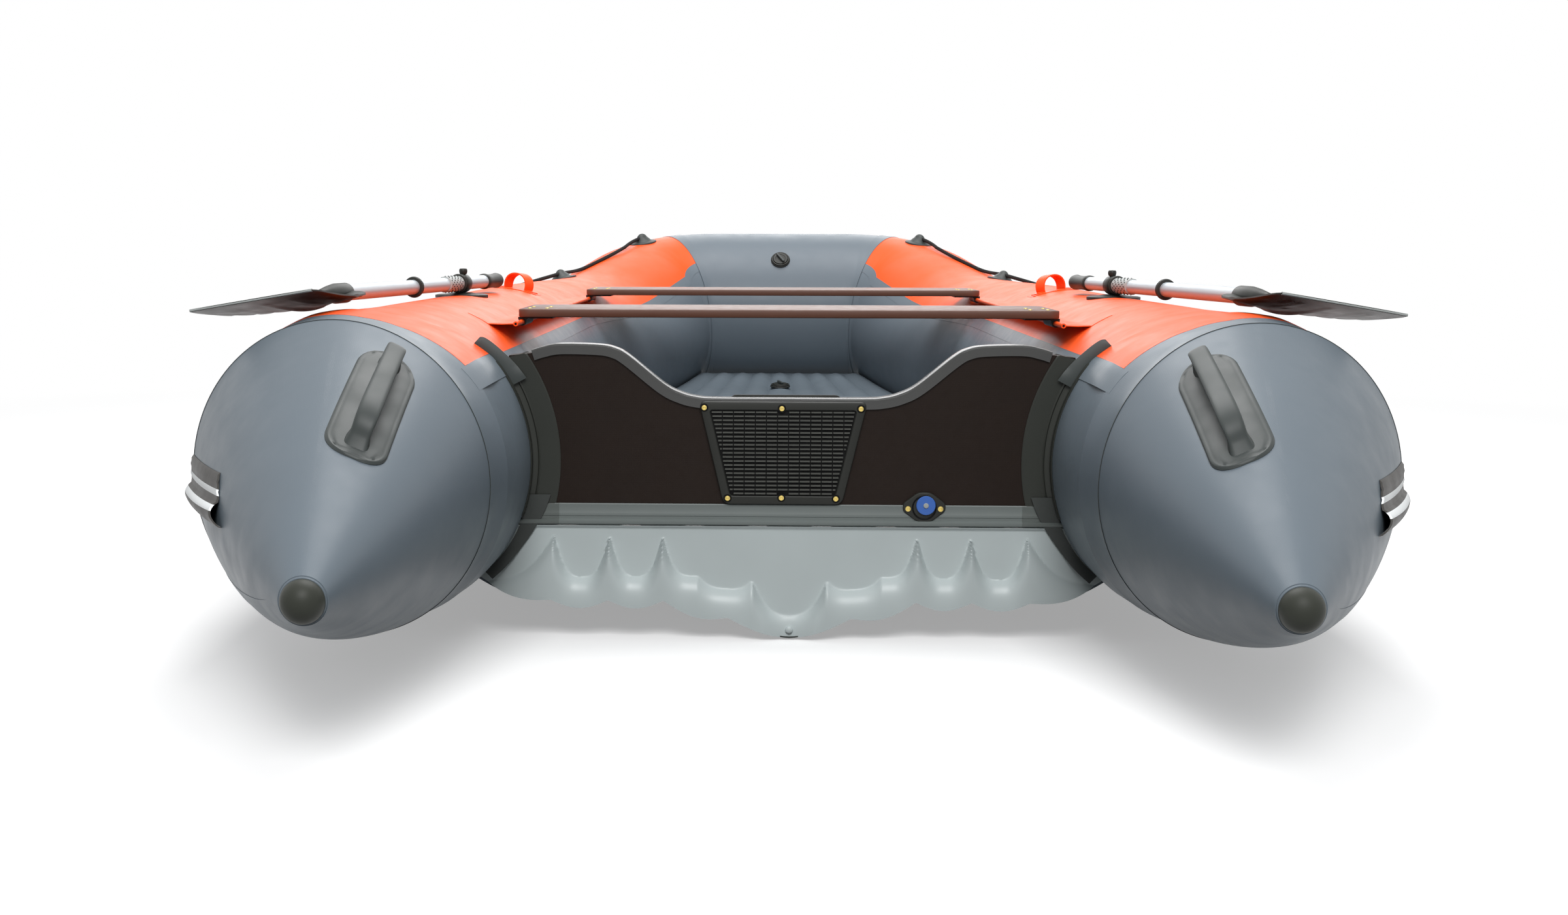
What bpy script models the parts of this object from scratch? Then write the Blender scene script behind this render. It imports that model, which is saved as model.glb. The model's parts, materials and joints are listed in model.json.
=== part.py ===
"""Inflatable boat with a plywood transom, an air floor, sliding seats and oars.

Metres, +Z up, +Y towards the bow, +X to starboard.  Places along the boat are
measured forward from the transom's aft face.  One parent empty puts that face
where the whole boat is centred on the origin.
"""
import math

import bmesh
import bpy
from mathutils import Matrix, Vector

# Working clearances
GAP = 0.0003            # between pieces that touch
FIT = 0.0008            # between pieces that slide or turn in each other
OVERRUN = 0.01          # how far a cutter runs past the faces it opens

# Air tubes
TUBE_SPACING = 1.354    # between the axes of the two side tubes
HALF_SPACING = TUBE_SPACING / 2
TUBE_RADIUS = 0.237
AXIS_HEIGHT = 0.289     # side tube axis above the keel
TUBE_TOP = AXIS_HEIGHT + TUBE_RADIUS
TUBE_INBOARD = HALF_SPACING - TUBE_RADIUS
SKIN = 0.0012
SEAM_AFT = 0.2465       # cone seam aft of the transom face, on the tube axis
SEAM_SLANT = 0.26       # forward run of the seam for each metre outboard
COLLAR = 0.09           # grey collar between the cone seam and the side panels
BEND_FORWARD = 1.80     # where the side tubes start to turn inboard
KNUCKLE_OUT = 0.545
KNUCKLE_FORWARD = BEND_FORWARD + 0.45
KNUCKLE_RISE = 0.009
CORNER_OUT = 0.37
BOW_FORWARD = KNUCKLE_FORWARD + 0.445
BOW_RISE = 0.132
BEND_CUT = 0.20         # length of axis that each rounded bend takes
KNUCKLE_CUT = 0.15
CORNER_CUT = 0.175
UPPER_INBOARD = math.radians(-48)   # edges of the upper panel, from the top
UPPER_OUTBOARD = math.radians(83)
RING_STEP = math.radians(12)
BEND_SHARES = (0, 0.5, 1)
CORNER_SHOULDER_SHARES = (0, 0.3, 0.58)
CORNER_BOW_SHARES = (0.58, 0.8, 1)
BULKHEAD_FORWARD = BEND_FORWARD - 0.5
BULKHEAD_DISH = 0.03

# Stern cones
CONE_LENGTH = 0.5535
CONE_TIP_OUT = 0.589
CONE_TIP_HEIGHT = 0.217
CONE_TIP_RADIUS = 0.0285
CONE_BULGE = 0.012
CONE_RINGS = 4
CAP_RADIUS = 0.028
CAP_LENGTH = 0.027
CAP_ARC_SHARES = (0, 0.3, 0.6, 0.85)

# Rubbing strake
STRAKE_TOP = 0.028      # above the tube axis
STRAKE_BOTTOM = 0.048   # below it
STRAKE_THICKNESS = 0.004
STRAKE_SEAT = 0.0008    # glue line under the strake
STRAKE_BULGE = 0.017
STRAKE_BULGE_HEIGHT = 0.035
STRAKE_AFT = 0.39
STRAKE_STEPS = 4
STRAKE_CONE_RINGS = 3

# Air floor and keel
FLOOR_AFT = 0.004
FLOOR_FORWARD = BOW_FORWARD - 0.18
FLOOR_CLEAR = 0.0013
BOARD_BOTTOM = AXIS_HEIGHT - 0.094      # of the transom
FLOOR_TOP_STERN = BOARD_BOTTOM - 0.0055
FLOOR_TOP_MID = FLOOR_TOP_STERN + 0.0165
FLOOR_TOP_BOW = FLOOR_TOP_MID + 0.044
FLOOR_RISE_START = BEND_FORWARD + 0.3
FLOOR_VALLEY = 0.012
FLOOR_LOBES = 9
LOBE_STEPS = 4
FLOOR_SIDE_STEPS = 3
FLOOR_SIDE_DEPTH = 0.185     # floor side's foot below the tube axis
FLOOR_STATION_SHARES = (0, 0.3, 0.6, 0.73, 0.83, 0.885, 0.93, 0.97, 1)
FLOOR_VALVE_BAY = 6
KEEL_RISE_START = BEND_FORWARD - 0.2
KEEL_RISE_SHARE = 0.93
HULL_LOBE_EDGES = (0.1, 0.2045, 0.2945, 0.388)     # cusps between the bottom lobes
KEEL_CUSP_HEIGHT = 0.035
LOBE_CUSP_HEIGHT = 0.0625
LOBE_DROP = 0.0135
SIDE_CORNER_OUT = TUBE_INBOARD + 0.07
SIDE_CORNER_HEIGHT = 0.099

# Transom board
BOARD_THICKNESS = 0.035
BOARD_TUBE_CLEAR = 0.012
NOTCH_HALF = 0.134
NOTCH_RISE = 0.1005     # heights of the trim's upper edge are over the tube axis
NOTCH_HEIGHT = AXIS_HEIGHT + NOTCH_RISE
TRIM_EDGE = (           # right half of the trim's upper edge, out from the notch
    (NOTCH_HALF, NOTCH_RISE), (0.165, 0.104), (0.194, 0.117), (0.224, 0.138),
    (0.2605, 0.1695), (0.289, 0.185), (TUBE_INBOARD - 0.0605, 0.1875), (TUBE_INBOARD - 0.0255, 0.177),
    (TUBE_INBOARD + 0.018, 0.172),
)
TRIM_SIDE_FOOT = AXIS_HEIGHT + 0.143
TRIM_THICKNESS = 0.003
TRIM_FACE = 0.016

# Transom holders
HOLDER_AFT = 0.05
HOLDER_FORWARD = 0.05
HOLDER_RIM = 0.002
HOLDER_FILLET = 0.012
HOLDER_LIP = 0.003
HOLDER_LIP_RADIUS = TUBE_RADIUS + 0.063
HOLDER_TOP = math.radians(-62)
HOLDER_FOOT = math.radians(-108)
HOLDER_STEP = math.radians(5)

# Rubber strip and moulding over the stern end of the floor
STRIP_HALF = TUBE_INBOARD - 0.056
STRIP_TOP = BOARD_BOTTOM + 0.0235
STRIP_FOOT = BOARD_BOTTOM - 0.0115
STRIP_THICKNESS = 0.0032
STRIP_BEAD = 0.0085
MOULDING_TOP = BOARD_BOTTOM - 0.015
MOULDING_SHOULDER_OUT = TUBE_INBOARD + 0.012
MOULDING_THICKNESS = 0.003
MOULDING_BULGE = 0.022
MOULDING_ROWS = 4
MOULDING_FLUTE_TOP = MOULDING_TOP - 0.015
MOULDING_BORDER = 0.0045

# Motor pads and drain
PAD_OFFSET = -0.012
PAD_TOP_HALF = 0.136
PAD_FOOT_HALF = 0.096
PAD_TOP = NOTCH_HEIGHT - 0.0035
PAD_FOOT = STRIP_TOP + 0.0005
PAD_CORNER = 0.012
PAD_THICKNESS = 0.008
INNER_PAD_HALF = 0.0915
INNER_PAD_OFFSET = -0.0075
INNER_PAD_TOP = NOTCH_HEIGHT + 0.0105
INNER_PAD_FOOT = BOARD_BOTTOM + 0.04
DRAIN_OUT = 0.2195
DRAIN_HEIGHT = BOARD_BOTTOM + 0.0205
DRAIN_HALF_WIDTH = 0.0345
DRAIN_HALF_HEIGHT = 0.0245
DRAIN_THICKNESS = 0.0062
DRAIN_BORE = 0.010
DRAIN_SLEEVE = 0.0125
FLAP_RADIUS = 0.0155
FLAP_THICKNESS = 0.0036
FLAP_RAISE = 0.0035
FLAP_KNUCKLE = 0.0018

# Carry handles on the cones
HANDLE_SHARE = 0.3715   # handle's middle, along the cone from its seam
HANDLE_ANGLE = math.radians(-23.5)
HANDLE_TURN = math.radians(-2.6)
HANDLE_LENGTH = 0.275
HANDLE_WIDTH = 0.092
HANDLE_END_SHARES = ((1, 0.3), (0.7, 0.75), (0, 1))    # of the half width: back from the end, and across
HANDLE_PLATE = 0.005
HANDLE_GRIP_LENGTH = 0.215
HANDLE_GRIP_RADIUS = 0.0105
HANDLE_GRIP_HEIGHT = 0.036

# Lift loops
LOOP_FORWARD = BEND_FORWARD - 0.38
LOOP_ANGLE = math.radians(-10)
LOOP_PATCH = 0.11
LOOP_PATCH_THICKNESS = 0.002
LOOP_SPAN = 0.06
LOOP_HEIGHT = 0.036
LOOP_WIDTH = 0.03
LOOP_WEB = 0.003
LOOP_STEPS = 10

# Seats, their slides and the tracks on the tubes
SEAT_HALF = TUBE_INBOARD + 0.063
SEAT_DEPTH = 0.25
SEAT_THICKNESS = 0.015
SEAT_TOP = TUBE_TOP - 0.0115
SEAT_CORNER = 0.025
AFT_SEAT = 0.45
FORWARD_SEAT = BEND_FORWARD - 0.085
BEAD_OUT = TUBE_INBOARD + 0.0567
BEAD_HEIGHT = TUBE_TOP - 0.0355
BEAD_RADIUS = 0.0045
FLAP_WEB = 0.002
TRACK_AFT = AFT_SEAT - 0.07
TRACK_FORWARD = FORWARD_SEAT + 0.145
TRACK_FOOT = 0.045
TRACK_FOOT_THICKNESS = 0.0015
SLIDE_INBOARD = TUBE_INBOARD
SLIDE_WALL = 0.0025
SLIDE_MOUTH = 0.005
SLIDE_LENGTH = 0.10
SLIDE_SETBACK = 0.02     # of the slides from the seat's aft edge

# Oars and their locks
OARLOCK_OUT = HALF_SPACING + 0.001
OARLOCK_FORWARD = LOOP_FORWARD - 0.55
OAR_HEIGHT = TUBE_TOP + 0.025
OAR_TURN = math.radians(8)
OAR_SHAFT_RADIUS = 0.014
OAR_INBOARD = 0.26
OAR_GRIP_LENGTH = 0.11
OAR_GRIP_RADIUS = 0.017
OAR_BLADE_ROOT = 0.66
OAR_ROLL = math.radians(9.5)   # the blade's outer edge hangs low
OAR_BLADE_TIP = 1.05
BLADE_SOCKET = 0.07
BLADE_SOCKET_RADIUS = 0.0175
BLADE_HALF_WIDTHS = (0.016, 0.045, 0.078, 0.096, 0.104, 0.106)
BLADE_LENGTH_SHARES = (0, 0.1, 0.28, 0.5, 0.8, 1)
BLADE_THICKNESS = 0.006
BLADE_DISH = -0.018
LOCK_PIN_RADIUS = 0.0055
LOCK_RING = 0.005
LOCK_RING_LENGTH = 0.03
LOCK_BASE_RADIUS = 0.055
LOCK_BASE_RIM = 0.0022
LOCK_BOSS_RADIUS = 0.013

# Grab line and its eyes
ROPE_RADIUS = 0.005
ROPE_HEIGHT = 0.015
EYE_RADIUS = 0.022
EYE_HEIGHT = 0.027
EYE_PATCH = 0.042
EYE_PATCH_THICKNESS = 0.002
EYE_BORE_CLEAR = 0.0024
EYE_UPPER_SHARE = 0.3  # along the rounded corner
EYE_UPPER_ANGLE = 0
EYE_LOWER_FORWARD = KNUCKLE_FORWARD - 0.07
EYE_LOWER_ANGLE = math.radians(12)
ROPE_END_FORWARD = BEND_FORWARD - 0.1
ROPE_END_ANGLE = math.radians(36)
ROPE_DROOP = math.radians(3)    # how far the rope slips outboard between its eyes
ROPE_POINTS = 26

# Valves
VALVE_RADIUS = 0.0285
VALVE_FLANGE = 0.003
VALVE_WELL = 0.0225
VALVE_BORE = 0.009
VALVE_HEIGHT = 0.007
VALVE_CAP_HEIGHT = 0.006
VALVE_BAR = 0.004
VALVE_BAR_HEIGHT = 0.007
BOW_VALVE_ANGLE = math.radians(-48)

SIDES = {"port": -1, "starboard": 1}

ORANGE = ("orange_pvc", (0.89, 0.125, 0.023), 0.5, 0.0)
GREY = ("grey_pvc", (0.105, 0.13, 0.155), 0.5, 0.0)
STRAKE_BLACK = ("black_rubber", (0.068, 0.063, 0.06), 0.6, 0.0)
TRIM_BLACK = ("black_trim", (0.04, 0.044, 0.04), 0.5, 0.0)
STRIP_GREY = ("grey_strip", (0.15, 0.17, 0.165), 0.5, 0.0)
MOULDING_GREY = ("grey_moulding", (0.37, 0.35, 0.34), 0.45, 0.0)
HANDLE_GREY = ("handle_rubber", (0.075, 0.08, 0.077), 0.5, 0.0)
BOARD_BROWN = ("phenolic_plywood", (0.016, 0.011, 0.008), 0.3, 0.0)
SEAT_BROWN = ("seat_plywood", (0.26, 0.18, 0.14), 0.4, 0.0)
BLUE = ("blue_plastic", (0.045, 0.13, 0.48), 0.4, 0.0)
BLACK = ("black_plastic", (0.02, 0.02, 0.022), 0.4, 0.0)
SILVER = ("anodised_aluminium", (0.6, 0.6, 0.62), 0.3, 1.0)
ROPE = ("black_rope", (0.015, 0.015, 0.017), 0.8, 0.0)


def clear_scene():
    """Start from an empty scene."""
    for thing in list(bpy.data.objects):
        bpy.data.objects.remove(thing, do_unlink=True)


def material(finish):
    """One Principled material for each finish, made once."""
    name, colour, roughness, metallic = finish
    found = bpy.data.materials.get(name)
    if found:
        return found
    made = bpy.data.materials.new(name)
    made.use_nodes = True
    shader = made.node_tree.nodes["Principled BSDF"]
    shader.inputs["Base Color"].default_value = (*colour, 1)
    shader.inputs["Roughness"].default_value = roughness
    shader.inputs["Metallic"].default_value = metallic
    return made


def place(name, data, finish, parent):
    """Link an object under its parent and give it its finish."""
    thing = bpy.data.objects.new(name, data)
    data.materials.append(material(finish))
    bpy.context.scene.collection.objects.link(thing)
    thing.parent = parent
    return thing


def empty(name, parent=None, matrix=None):
    """A guide that carries pieces or stands on a joint's axis."""
    guide = bpy.data.objects.new(name, None)
    bpy.context.scene.collection.objects.link(guide)
    guide.parent = parent
    if matrix is not None:
        guide.matrix_local = matrix
    return guide


def finish_mesh(name, build, smooth=math.radians(35)):
    """Turn a bmesh into a mesh with its faces pointing out."""
    bmesh.ops.recalc_face_normals(build, faces=build.faces)
    mesh = bpy.data.meshes.new(name)
    build.to_mesh(mesh)
    build.free()
    mesh.shade_smooth()
    mesh.set_sharp_from_angle(angle=smooth)
    return mesh


def sheet_mesh(name, outer, inner, closed=False):
    """Close two matching grids of points into one thin body."""
    build = bmesh.new()
    rows, columns = len(outer), len(outer[0])
    top = [[build.verts.new(point) for point in row] for row in outer]
    bottom = [[build.verts.new(point) for point in row] for row in inner]
    spans = columns if closed else columns - 1
    for i in range(rows - 1):
        for j in range(spans):
            k = (j + 1) % columns
            build.faces.new((top[i][j], top[i][k], top[i + 1][k], top[i + 1][j]))
            build.faces.new((bottom[i][j], bottom[i + 1][j], bottom[i + 1][k], bottom[i][k]))
    for j in range(spans):
        k = (j + 1) % columns
        build.faces.new((top[0][k], top[0][j], bottom[0][j], bottom[0][k]))
        build.faces.new((top[-1][j], top[-1][k], bottom[-1][k], bottom[-1][j]))
    if not closed:
        for i in range(rows - 1):
            build.faces.new((top[i][0], top[i + 1][0], bottom[i + 1][0], bottom[i][0]))
            build.faces.new((top[i][-1], bottom[i][-1], bottom[i + 1][-1], top[i + 1][-1]))
    return finish_mesh(name, build)


def loft_mesh(name, rings):
    """A solid through closed rings of points, capped at both ends."""
    build = bmesh.new()
    loops = [[build.verts.new(point) for point in ring] for ring in rings]
    count = len(rings[0])
    for near, far in zip(loops, loops[1:]):
        for j in range(count):
            k = (j + 1) % count
            build.faces.new((near[j], near[k], far[k], far[j]))
    build.faces.new(loops[0])
    build.faces.new(loops[-1])
    return finish_mesh(name, build)


def turned_mesh(name, profile, steps=18):
    """A solid of revolution about Z, from (radius, height) pairs, bottom to top."""
    build = bmesh.new()
    rings = []
    for radius, height in profile:
        if radius == 0:
            rings.append([build.verts.new((0, 0, height))])
            continue
        turn = [2 * math.pi * k / steps for k in range(steps)]
        rings.append([build.verts.new((radius * math.cos(a), radius * math.sin(a), height)) for a in turn])
    for near, far in zip(rings, rings[1:]):
        for j in range(steps):
            k = (j + 1) % steps
            corners = [near[j % len(near)], near[k % len(near)], far[k % len(far)], far[j % len(far)]]
            build.faces.new(list(dict.fromkeys(corners)))
    if len(rings[0]) > 1 and len(rings[-1]) > 1 and profile[0] == profile[-1]:
        bmesh.ops.remove_doubles(build, verts=build.verts, dist=GAP / 10)
    elif len(rings[0]) > 1:
        build.faces.new(rings[0])
        if len(rings[-1]) > 1:
            build.faces.new(rings[-1])
    return finish_mesh(name, build)


def box_mesh(name, low, high):
    """A box between two corners."""
    build = bmesh.new()
    bmesh.ops.create_cube(build, size=1)
    low, high = Vector(low), Vector(high)
    for vert in build.verts:
        vert.co = Vector([low[i] if vert.co[i] < 0 else high[i] for i in range(3)])
    return finish_mesh(name, build)


def fuse(target, other):
    """Join a guide shape to a piece."""
    combine(target, other, "UNION")


def cut(target, other):
    """Take a guide shape out of a piece."""
    combine(target, other, "DIFFERENCE")


def combine(target, other, operation):
    other.hide_render = True
    other.display_type = "WIRE"
    step = target.modifiers.new(operation.lower(), "BOOLEAN")
    step.object = other
    step.operation = operation
    step.solver = "EXACT"


def steps_between(start, end, step):
    """Angles on one common grid, so that nested skins share their facets."""
    first = math.floor(start / step + 1e-6) + 1
    last = math.ceil(end / step - 1e-6) - 1
    return [start] + [step * k for k in range(first, last + 1)] + [end]


def even(start, end, count):
    """Count + 1 even values from start to end."""
    return [start + (end - start) * k / count for k in range(count + 1)]


def ease(share):
    """A smooth rise from 0 to 1."""
    share = min(max(share, 0), 1)
    return share * share * (3 - 2 * share)


def bend(before, corner, after, length, shares):
    """Stations of a rounded corner of the tube axis: points and tangents."""
    way_in = (corner - before).normalized()
    way_out = (after - corner).normalized()
    turn = way_in.angle(way_out)
    radius = length / math.tan(turn / 2)
    inward = (way_out - way_in * math.cos(turn)) / math.sin(turn)
    stations = []
    for share in shares:
        swing = turn * share
        along = radius * math.sin(swing) - length
        point = corner + way_in * along + inward * radius * (1 - math.cos(swing))
        stations.append((point, way_in * math.cos(swing) + inward * math.sin(swing)))
    return stations


AXIS = [
    Vector((HALF_SPACING, -SEAM_AFT, AXIS_HEIGHT)),
    Vector((HALF_SPACING, BEND_FORWARD, AXIS_HEIGHT)),
    Vector((KNUCKLE_OUT, KNUCKLE_FORWARD, AXIS_HEIGHT + KNUCKLE_RISE)),
    Vector((CORNER_OUT, BOW_FORWARD, AXIS_HEIGHT + BOW_RISE)),
    Vector((-CORNER_OUT, BOW_FORWARD, AXIS_HEIGHT + BOW_RISE)),
]
SHOULDER = (
    bend(AXIS[0], AXIS[1], AXIS[2], BEND_CUT, BEND_SHARES)
    + bend(AXIS[1], AXIS[2], AXIS[3], KNUCKLE_CUT, BEND_SHARES)
    + bend(AXIS[2], AXIS[3], AXIS[4], CORNER_CUT, CORNER_SHOULDER_SHARES)
)
CORNER = bend(AXIS[2], AXIS[3], AXIS[4], CORNER_CUT, CORNER_BOW_SHARES)


def ring_point(station, angle, radius):
    """A point around the tube axis; the angle runs from the top, outboard."""
    point, tangent = station
    outward = tangent.cross(Vector((0, 0, 1))).normalized()
    upward = outward.cross(tangent)
    return point + (outward * math.sin(angle) + upward * math.cos(angle)) * radius


def straight_station(forward):
    """A station on the straight part of the tube."""
    return Vector((HALF_SPACING, forward, AXIS_HEIGHT)), Vector((0, 1, 0))


def slanted_point(forward, angle, radius):
    """A point of the slanted rings at the cone seam."""
    out = radius * math.sin(angle)
    return Vector((HALF_SPACING + out, forward + SEAM_SLANT * out, AXIS_HEIGHT + radius * math.cos(angle)))


def cone_radius(share):
    return TUBE_RADIUS + (CONE_TIP_RADIUS - TUBE_RADIUS) * share + CONE_BULGE * 4 * share * (1 - share)


def cone_point(share, angle, height=0.0):
    """A point over the cone; share runs from the seam to the tip."""
    out = HALF_SPACING + (CONE_TIP_OUT - HALF_SPACING) * share
    up = AXIS_HEIGHT + (CONE_TIP_HEIGHT - AXIS_HEIGHT) * share
    radius = cone_radius(share)
    slant = SEAM_SLANT * (1 - share) * radius * math.sin(angle)
    reach = radius + height
    aft = SEAM_AFT + CONE_LENGTH * share - slant
    return Vector((out + reach * math.sin(angle), -aft, up + reach * math.cos(angle)))


def sided(points, side):
    """Mirror a grid of points for the port side."""
    return [[Vector((side * p.x, p.y, p.z)) for p in row] for row in points]


def shifted(station, distance):
    point, tangent = station
    return point + tangent * distance, tangent


def make_tubes(hull):
    """The tube skins: upper and lower panels, shoulders, bow and bulkheads."""
    edge = GAP / 2 / TUBE_RADIUS
    panels = {
        "upper": (ORANGE, UPPER_INBOARD + edge, UPPER_OUTBOARD - edge),
        "lower": (GREY, UPPER_OUTBOARD + edge, 2 * math.pi + UPPER_INBOARD - edge),
    }
    shoulder = [shifted(SHOULDER[0], GAP / 2)] + SHOULDER[1:-1] + [shifted(SHOULDER[-1], -GAP / 2)]
    for side_name, side in SIDES.items():
        for panel_name, (finish, start, end) in panels.items():
            angles = steps_between(start, end, RING_STEP)
            skins = []
            for radius in (TUBE_RADIUS, TUBE_RADIUS - SKIN):
                aft = [slanted_point(-SEAM_AFT + COLLAR + GAP / 2, a, radius) for a in angles]
                fore = [ring_point(shifted(SHOULDER[0], -GAP / 2), a, radius) for a in angles]
                skins.append(sided([aft, fore], side))
            mesh = sheet_mesh("side_tube", *skins)
            place(f"side_tube_{panel_name}_{side_name}", mesh, finish, hull)
            skins = [
                sided([[ring_point(s, a, radius) for a in angles] for s in shoulder], side)
                for radius in (TUBE_RADIUS, TUBE_RADIUS - SKIN)
            ]
            mesh = sheet_mesh("shoulder", *skins)
            place(f"shoulder_{panel_name}_{side_name}", mesh, finish, hull)
    make_bow_tube(hull)
    make_bulkheads(hull)


def full_ring():
    return [RING_STEP * k for k in range(round(2 * math.pi / RING_STEP))]


def make_bow_tube(hull):
    """The grey tube across the bow, between the two corner seams."""
    corner = [shifted(CORNER[0], GAP / 2)] + CORNER[1:]
    skins = []
    for radius in (TUBE_RADIUS, TUBE_RADIUS - SKIN):
        rows = [[ring_point(s, a, radius) for a in full_ring()] for s in corner]
        skins.append(rows + sided(reversed(rows), -1))
    place("bow_tube", sheet_mesh("bow_tube", *skins, closed=True), GREY, hull)


def make_bulkheads(hull):
    """Dished fabric walls that part each side tube into two air chambers."""
    radius = TUBE_RADIUS - SKIN - GAP
    shares = (1, 0.6)
    for side_name, side in SIDES.items():
        rings = []
        for thick in (0, SKIN):
            for share in shares if thick else reversed(shares):
                dish = BULKHEAD_DISH * (1 - share ** 2)
                station = straight_station(BULKHEAD_FORWARD + dish + thick)
                rings.append([ring_point(station, a, radius * share) for a in full_ring()])
        place(f"bulkhead_{side_name}", loft_mesh("bulkhead", sided(rings, side)), GREY, hull)


def make_cones(hull):
    """Stern cones with their collars, and the rubber caps on their tips."""
    for side_name, side in SIDES.items():
        skins = []
        for depth in (0, SKIN):
            edge = -SEAM_AFT + COLLAR - GAP / 2
            collar = [slanted_point(edge, a, TUBE_RADIUS - depth) for a in full_ring()]
            rows = [[cone_point(t, a, -depth) for a in full_ring()] for t in even(0, 1, CONE_RINGS)]
            skins.append(sided([collar] + rows, side))
        place(f"stern_cone_{side_name}", sheet_mesh("stern_cone", *skins, closed=True), GREY, hull)
        arc = [math.pi / 2 * share for share in CAP_ARC_SHARES]
        profile = [(CAP_RADIUS * math.cos(a), CAP_LENGTH * math.sin(a)) for a in arc] + [(0, CAP_LENGTH)]
        cap = place(f"cone_cap_{side_name}", turned_mesh("cone_cap", profile), BLACK, hull)
        cap.location = (side * CONE_TIP_OUT, -SEAM_AFT - CONE_LENGTH - GAP, CONE_TIP_HEIGHT)
        cap.rotation_euler = (math.pi / 2, 0, 0)


def strake_heights():
    """Angle and height pairs of the strake's outer face, top to bottom."""
    top = math.acos(STRAKE_TOP / TUBE_RADIUS)
    foot = math.acos(-STRAKE_BOTTOM / TUBE_RADIUS)
    bulge = STRAKE_BULGE_HEIGHT / TUBE_RADIUS
    profile = [(top, STRAKE_THICKNESS), (foot - bulge, STRAKE_THICKNESS)]
    for share in even(0, 1, STRAKE_STEPS)[1:-1]:
        lift = STRAKE_THICKNESS + (STRAKE_BULGE - STRAKE_THICKNESS) * math.sin(math.pi * share)
        profile.append((foot - bulge * (1 - share), lift))
    profile.append((foot, STRAKE_THICKNESS))
    return profile


def make_strakes(hull):
    """The rubber rubbing strakes, from the cones round to the middle of the bow."""
    profile = strake_heights()
    inner = [angle for angle in even(profile[0][0], profile[-1][0], len(profile) - 1)]
    aft_share = (STRAKE_AFT - SEAM_AFT) / CONE_LENGTH + SEAM_SLANT * TUBE_RADIUS / CONE_LENGTH
    stations = SHOULDER + CORNER[1:]
    middle = Vector((GAP / 2, BOW_FORWARD, AXIS_HEIGHT + BOW_RISE)), Vector((-1, 0, 0))
    for side_name, side in SIDES.items():
        outer_rows, inner_rows = [], []
        for share in reversed(even(0, aft_share, STRAKE_CONE_RINGS)):
            outer_rows.append([cone_point(share, a, h + STRAKE_SEAT) for a, h in profile])
            inner_rows.append([cone_point(share, a, STRAKE_SEAT) for a in inner])
        for station in stations + [middle]:
            outer_rows.append([ring_point(station, a, TUBE_RADIUS + STRAKE_SEAT + h) for a, h in profile])
            inner_rows.append([ring_point(station, a, TUBE_RADIUS + STRAKE_SEAT) for a in inner])
        mesh = sheet_mesh("rub_strake", sided(outer_rows, side), sided(inner_rows, side))
        place(f"rub_strake_{side_name}", mesh, STRAKE_BLACK, hull)


def axis_samples():
    """The tube axis as its skins follow it, stern to bow."""
    stations = SHOULDER + CORNER[1:]
    return [AXIS[0]] + [point for point, _ in stations] + [Vector((0, BOW_FORWARD, AXIS_HEIGHT + BOW_RISE))]


AXIS_SAMPLES = axis_samples()


def axis_distance(point):
    """Distance from a point to the tube axis."""
    best = float("inf")
    for a, b in zip(AXIS_SAMPLES, AXIS_SAMPLES[1:]):
        run = b - a
        share = min(max((point - a).dot(run) / run.length_squared, 0), 1)
        best = min(best, (a + run * share - point).length)
    return best


def half_breadth(forward, height):
    """Half the breadth between the tubes, where the floor may reach."""
    low, high = 0.0, HALF_SPACING
    for _ in range(24):
        middle = (low + high) / 2
        if axis_distance(Vector((middle, forward, height))) > TUBE_RADIUS + FLOOR_CLEAR:
            low = middle
        else:
            high = middle
    return low


def axis_height(forward):
    """Height of the tube axis where it passes a place along the boat."""
    for a, b in zip(AXIS_SAMPLES, AXIS_SAMPLES[1:]):
        if a.y <= forward <= b.y:
            return a.z + (b.z - a.z) * (forward - a.y) / (b.y - a.y)
    return AXIS_HEIGHT


def floor_top(forward):
    """Crest height of the floor's channels."""
    steady = FLOOR_TOP_STERN + (FLOOR_TOP_MID - FLOOR_TOP_STERN) * forward / FLOOR_RISE_START
    rise = max(forward - FLOOR_RISE_START, 0) / (FLOOR_FORWARD - FLOOR_RISE_START)
    return steady + (FLOOR_TOP_BOW - FLOOR_TOP_MID) * rise ** 1.5


def bottom_lobes():
    """Points of the hull's scalloped underside, from the keel out: (x, height)."""
    points = []
    quarter = even(0, 1, LOBE_STEPS)
    for share in quarter[:-1]:
        points.append((HULL_LOBE_EDGES[0] * share, KEEL_CUSP_HEIGHT * share ** 1.6))
    edges = HULL_LOBE_EDGES + (SIDE_CORNER_OUT,)
    heights = [KEEL_CUSP_HEIGHT] + [LOBE_CUSP_HEIGHT] * (len(HULL_LOBE_EDGES) - 1) + [SIDE_CORNER_HEIGHT]
    for (x0, z0), (x1, z1) in zip(zip(edges, heights), zip(edges[1:], heights[1:])):
        for share in quarter[:-1]:
            drop = LOBE_DROP * math.sin(math.pi * share)
            points.append((x0 + (x1 - x0) * share, z0 + (z1 - z0) * share - drop))
    points.append((SIDE_CORNER_OUT, SIDE_CORNER_HEIGHT))
    return points


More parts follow.
